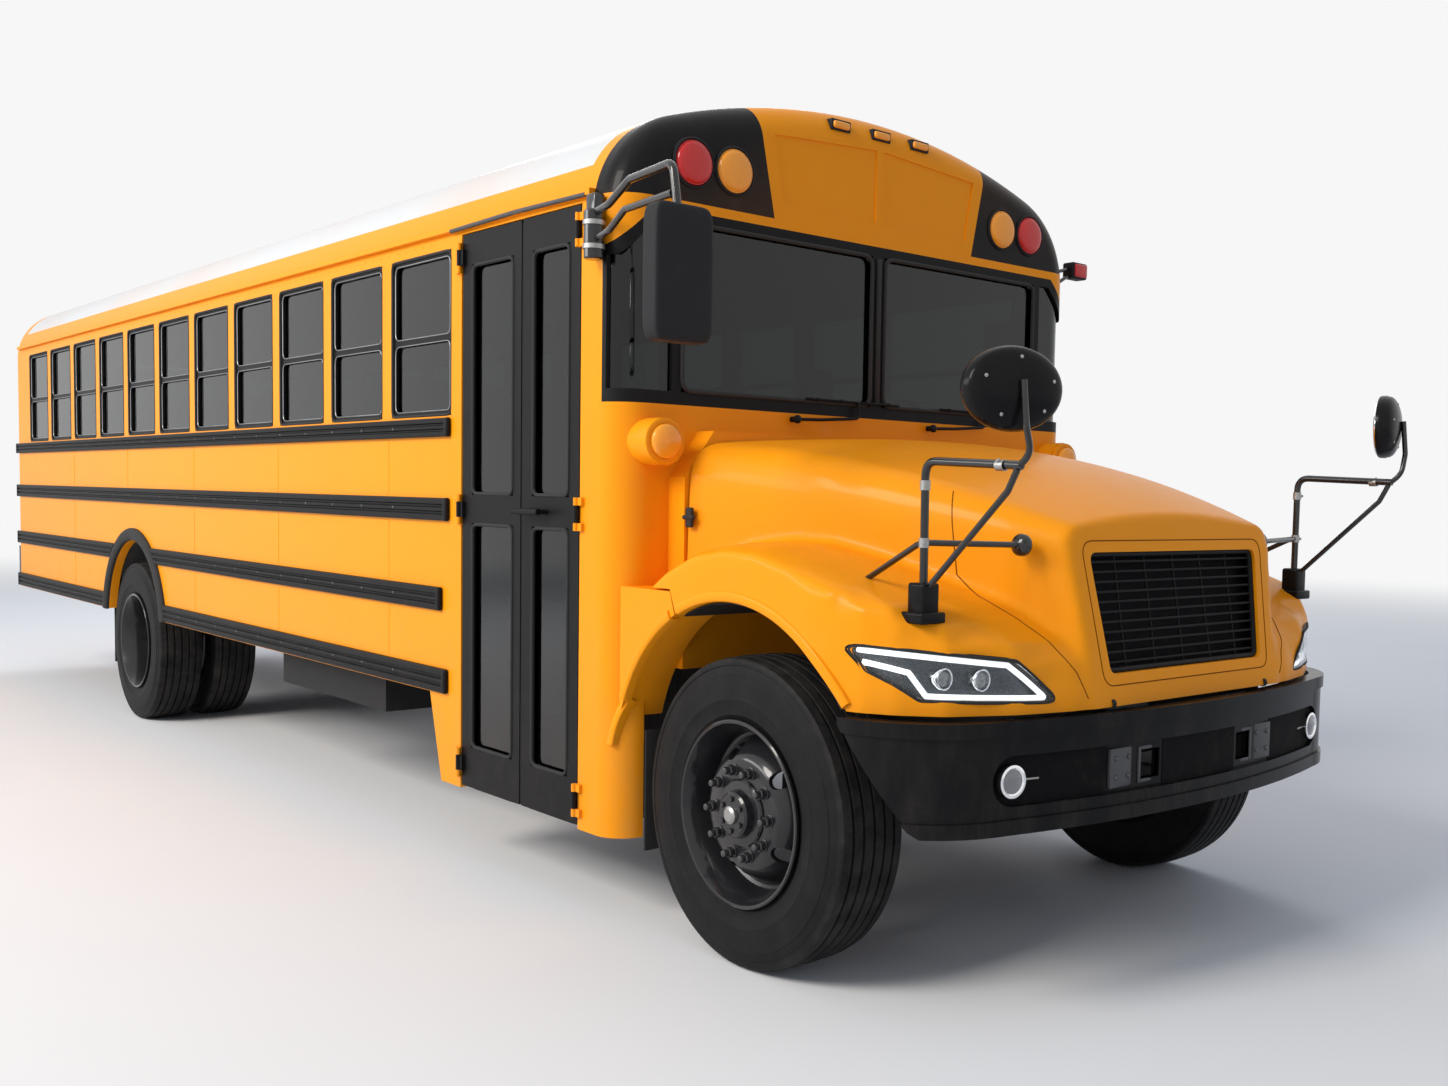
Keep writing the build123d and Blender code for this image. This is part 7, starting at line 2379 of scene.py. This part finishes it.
@dataclass
class TailTrim:
    """Seals of the rear windows and door, and the blank number-plate holder.

    Attributes:
        window: Middle, half width, lower and upper edge of the left rear window's seal.
        panes: Lower and upper edge of the door's panes.
        pane_half: Half width of their seals.
        plate: Middle of the plate holder, out and up.
    """

    window: tuple[float, float, float, float] = (0.805, 0.229, 1.886, 2.515)
    panes: tuple[Pair, Pair] = ((1.180, 1.720), (1.860, 2.440))
    pane_half: float = 0.356
    plate: Pair = (0.78, 1.29)

    def build(self) -> None:
        """Make the trim."""
        body, leaf = Form("tail_seals", Finish.RUBBER), Form("rear_door_seals", Finish.RUBBER)
        for side in SIDES:
            middle, *opening = self.window
            body.gasket(lambda y, z: (TAIL_X + 0.002, y, z), side * middle, *opening, 0.010, 0.04, 10)
        y, z = self.plate
        body.use(Finish.PLASTIC).block((TAIL_X - 0.005, y, z), (0.007, 0.16, 0.09), 0.005)
        body.use(Finish.STOP_WHITE).block((TAIL_X - 0.01275, y, z), (0.00275, 0.148, 0.078), 0.002)
        body.finish("bus", smooth=45)
        for low, high in self.panes:
            pane = (0.0, self.pane_half, low + 0.004, high - 0.004)
            leaf.gasket(lambda y, z: (TAIL_X + 0.004, y, z), *pane, 0.009, 0.04, 10)
        leaf.finish("emergency_door", smooth=45)


@dataclass
class Seats:
    """Vinyl benches and the driver's seat: inflated pads on tube frames.

    Attributes:
        rows: Rows of benches.
        pitch: Distance between rows.
        first: Front of the first row's back from the front axle.
        out: Outer end of a bench.
        inner: Its end at the aisle.
        floor: Height of the floor.
        leg: Distance out of a bench's legs.
        driver: The driver's seat: front of its back from the front axle, and its middle.
        slack: How much smaller a pad starts before it is inflated.
        swell: The furthest that a point may move outward.
        voxel: Size of the bench pads' facets.
        driver_voxel: Size of the driver's pads' facets.
    """

    rows: int = 10
    pitch: float = 0.700
    first: float = -2.750
    out: float = 1.166
    inner: float = 0.176
    floor: float = 1.000
    leg: float = 0.326
    driver: Pair = (-1.650, 0.620)
    slack: float = 0.016
    swell: float = 0.015
    voxel: float = 0.028
    driver_voxel: float = 0.018

    def blow(self, pad: bpy.types.Object, low: Point, high: Point) -> None:
        """Swell a pad by cloth simulation, kept between two corners."""
        rest = [vert.co.copy() for vert in pad.data.vertices]
        cloth = pad.modifiers.new("cloth", "CLOTH")
        cloth.settings.use_pressure = True
        cloth.settings.uniform_pressure_force = 4
        cloth.settings.effector_weights.gravity = 0
        for step in range(1, 21):
            bpy.context.scene.frame_set(step)
        blown = pad.evaluated_get(bpy.context.evaluated_depsgraph_get()).data
        moved = [vert.co.copy() for vert in blown.vertices]
        pad.modifiers.clear()
        bpy.context.scene.frame_set(1)
        for vert, before, after in zip(pad.data.vertices, rest, moved):
            shift = after - before
            if shift.length > self.swell:
                shift = shift.normalized() * self.swell
            vert.co = Vector(min(max(c, a), b) for c, a, b in zip(before + shift, low, high))

    def inflated(self, low: Point, high: Point, voxel: float) -> bpy.types.Mesh:
        """Make a pad that swells between its edges.

        Args:
            low: Lowest corner of its space.
            high: Highest corner.
            voxel: Size of its facets.

        Returns:
            The pad's mesh, in place.
        """
        form = Form("pad")
        form.box([a + self.slack for a in low], [b - self.slack for b in high], 0.028, 4)
        pad = working(form.mesh)
        voxelled(pad, voxel)
        even = evaluated(pad)
        pad.modifiers.clear()
        pad.data = even
        self.blow(pad, low, high)
        bpy.data.objects.remove(pad)
        return even

    def repeat(self, form: Form, pad: bpy.types.Mesh, shifts: Sequence[Point]) -> None:
        """Add a pad at each shift from where it was made."""
        for shift in shifts:
            part = bmesh.new()
            part.from_mesh(pad)
            bmesh.ops.translate(part, vec=Vector(shift), verts=part.verts)
            form.join(part)

    def bench_frame(self, form: Form, x: float, shift: float) -> None:
        """Add the frame and legs of one bench; shift is 0 on the right side."""
        z, leg = self.floor, -self.leg if shift == 0.0 else self.leg
        rear, front = shift - self.out + 0.04, shift - self.inner - 0.04
        form.box((x + 0.01, rear, z + 0.325), (x + 0.385, front, z + 0.345), 0.005)
        for foot_x in (x + 0.08, x + 0.32):
            form.bar((foot_x, leg, z + 0.004), (foot_x, leg, z + 0.33), 0.0125, 12)
        form.box((x + 0.05, leg - 0.035, z + 0.001), (x + 0.35, leg + 0.035, z + 0.008), 0.003)

    def build(self) -> None:
        """Make pads and frames."""
        x, z = AXLE + self.first, self.floor
        sides = (0.0, self.out + self.inner)
        shifts = [(-self.pitch * row, y, 0.0) for row in range(self.rows) for y in sides]
        pads = Form("bench_pads", Finish.VINYL)
        for low, high in (
            ((x + 0.004, -self.out, z + 0.330), (x + 0.400, -self.inner, z + 0.450)),
            ((x - 0.110, -self.out, z + 0.345), (x, -self.inner, z + 1.090)),
        ):
            self.repeat(pads, self.inflated(low, high, self.voxel), shifts)
        pads.finish("bus", ["seats"], 60)
        driver = Form("driver_pads", Finish.VINYL)
        dx, dy = AXLE + self.driver[0], self.driver[1]
        for low, high in (
            ((dx, dy - 0.240, z + 0.380), (dx + 0.460, dy + 0.240, z + 0.500)),
            ((dx - 0.110, dy - 0.230, z + 0.400), (dx, dy + 0.230, z + 1.000)),
            ((dx - 0.105, dy - 0.130, z + 1.010), (dx - 0.010, dy + 0.130, z + 1.180)),
        ):
            self.repeat(driver, self.inflated(low, high, self.driver_voxel), [(0, 0, 0)])
        driver.finish("bus", smooth=60)
        frames = Form("seat_frames", Finish.CHASSIS)
        for back, shift, _ in shifts:
            self.bench_frame(frames, x + back, shift)
        frames.box((dx + 0.10, dy - 0.12, z + 0.001), (dx + 0.36, dy + 0.12, z + 0.375), 0.020, 3)
        for y in (dy - 0.06, dy + 0.06):
            frames.pipe([(dx - 0.055, y, z + 0.98), (dx - 0.055, y, z + 1.05)], 0.006)
        frames.finish("bus", smooth=40)


@dataclass
class Studio:
    """Pale floor, soft lights and the camera at the photograph's angle.

    Attributes:
        camera_place: Where the camera stands, from the front axle.
        yaw: Its heading in degrees from +x.
        pitch: Its tilt in degrees.
        roll: Its lean in degrees.
        focal_pixels: Focal length in pixels of the photograph.
        centre: The view's centre in the photograph's pixels.
        frame_size: The photograph's width and height in pixels.
        pale: Brightness of the plain surround.
        fade: Distances between which the lit floor turns into the plain surround.
        reach: Half the floor's side.
    """

    camera_place: Point = (3.5197, -3.8647, 1.5444)
    yaw: float = 137.055
    pitch: float = -3.510
    roll: float = 1.164
    focal_pixels: float = 1386.5
    centre: Pair = (866.65, 581.68)
    frame_size: tuple[int, int] = (1448, 1086)
    pale: Colour = (0.93, 0.93, 0.93)
    fade: Pair = (9, 26)
    reach: float = 70.0

    def camera(self) -> None:
        """Create the camera."""
        (along, across), (level, rise), (upright, lean) = polar(self.yaw), polar(self.pitch), polar(self.roll)
        ahead, right = Vector((along * level, across * level, rise)), Vector((across, -along, 0))
        up = right.cross(ahead)
        wide, high = self.frame_size
        data = bpy.data.cameras.new("camera")
        data.sensor_width = 36
        data.lens = self.focal_pixels * data.sensor_width / wide
        data.shift_x = (wide / 2 - self.centre[0]) / wide
        data.shift_y = (self.centre[1] - high / 2) / wide
        data.clip_end = 200
        camera = linked("camera", data)
        axes = (right * upright + up * lean, up * upright - right * lean, -ahead)
        place = Matrix.Translation(from_axle(self.camera_place))
        camera.matrix_world = place @ Matrix(axes).transposed().to_4x4()
        bpy.context.scene.camera = camera

    def seen(self, graph: Graph) -> Value:
        """One for what the camera sees directly, mirrored or through glass, none for light on things."""
        path = graph.node("ShaderNodeLightPath").socket.node
        kinds = ("Is Camera Ray", "Is Transmission Ray", "Is Glossy Ray")
        direct, through, mirrored = (Value(graph, path.outputs[kind]) for kind in kinds)
        return graph.math("MAXIMUM", graph.math("MAXIMUM", direct, through), mirrored)

    def floor(self) -> None:
        """Lay a pale floor that fades into the pale surround far from the bus."""
        mesh = bpy.data.meshes.new("floor_sheet")
        corners = [(x * self.reach, y * self.reach, 0) for x, y in ((-1, -1), (1, -1), (1, 1), (-1, 1))]
        mesh.from_pydata(corners, [], [range(4)])
        graph = Graph(bpy.data.materials.new("floor_pale"))
        along, across, _ = graph.axes()
        far = (along ** 2.0 + across ** 2.0) ** 0.5
        tone = graph.mix(graph.noise(0.8, 4), (0.80, 0.80, 0.80), (0.83, 0.83, 0.83))
        lit = graph.node("ShaderNodeBsdfDiffuse", inputs={"Color": tone})
        glow = graph.node("ShaderNodeEmission", inputs={"Color": self.pale, "Strength": 1.0})
        share = self.seen(graph) * far.step(*self.fade)
        graph.close(graph.node("ShaderNodeMixShader", inputs={0: share, 1: lit, 2: glow}))
        mesh.materials.append(graph.owner)
        floor = linked("studio_floor", mesh)

    def world(self) -> None:
        """Surround the bus with an even pale sky."""
        graph = Graph(bpy.data.worlds.new("surround"))
        fill = graph.node("ShaderNodeBackground", inputs={"Color": (0.80, 0.87, 1.0), "Strength": 0.55})
        view = graph.node("ShaderNodeBackground", inputs={"Color": self.pale})
        blend = graph.node("ShaderNodeMixShader", inputs={0: self.seen(graph), 1: fill, 2: view})
        graph.close(blend, "ShaderNodeOutputWorld")
        bpy.context.scene.world = graph.owner

    def light(self, name: str, place: Point, aim: Point, size: Pair, power: float, colour: Colour) -> None:
        """Hang one soft area light, aimed at a point."""
        data = bpy.data.lights.new(name, "AREA")
        data.shape = "RECTANGLE"
        data.size, data.size_y = size
        data.energy = power
        data.color = colour
        lamp = linked(name, data)
        lamp.location = place
        lamp.rotation_euler = (Vector(aim) - Vector(place)).to_track_quat("-Z", "Y").to_euler()

    def build(self) -> None:
        """Set up the whole studio."""
        self.camera()
        self.floor()
        self.world()
        self.light("key", (3.0, -12.0, 9.5), (1.0, 0, 1.2), (5, 5), 1380, (1.0, 0.95, 0.88))
        self.light("side", (-3.5, -11.0, 5.5), (-2.0, 0, 1.6), (9, 3), 520, (1, 1, 1))
        self.light("rear", (-10.0, 8.0, 8.0), (0, 0, 1.5), (6, 5), 560, (0.93, 0.96, 1.0))
        bpy.context.scene.view_settings.view_transform = "Standard"
        log.info("studio ready")


def main() -> None:
    """Dress the bus."""
    logging.basicConfig(level=logging.INFO, format="%(name)s: %(message)s")
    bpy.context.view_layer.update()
    dress_nodes()
    Wheels().build()
    Bonnet().build()
    Headlamps().build()
    GrilleBars().build()
    CrossoverMirrors().build()
    SideMirrors().build()
    Lamps().build()
    BumperTrim().build()
    BonnetTrim().build()
    BonnetGrooveShade().build()
    SideBody().build()
    Windscreen().build()
    Entrance().build()
    Cab().build()
    StopArm().build()
    TailTrim().build()
    Seats().build()
    Studio().build()


if __name__ == "__main__":
    main()
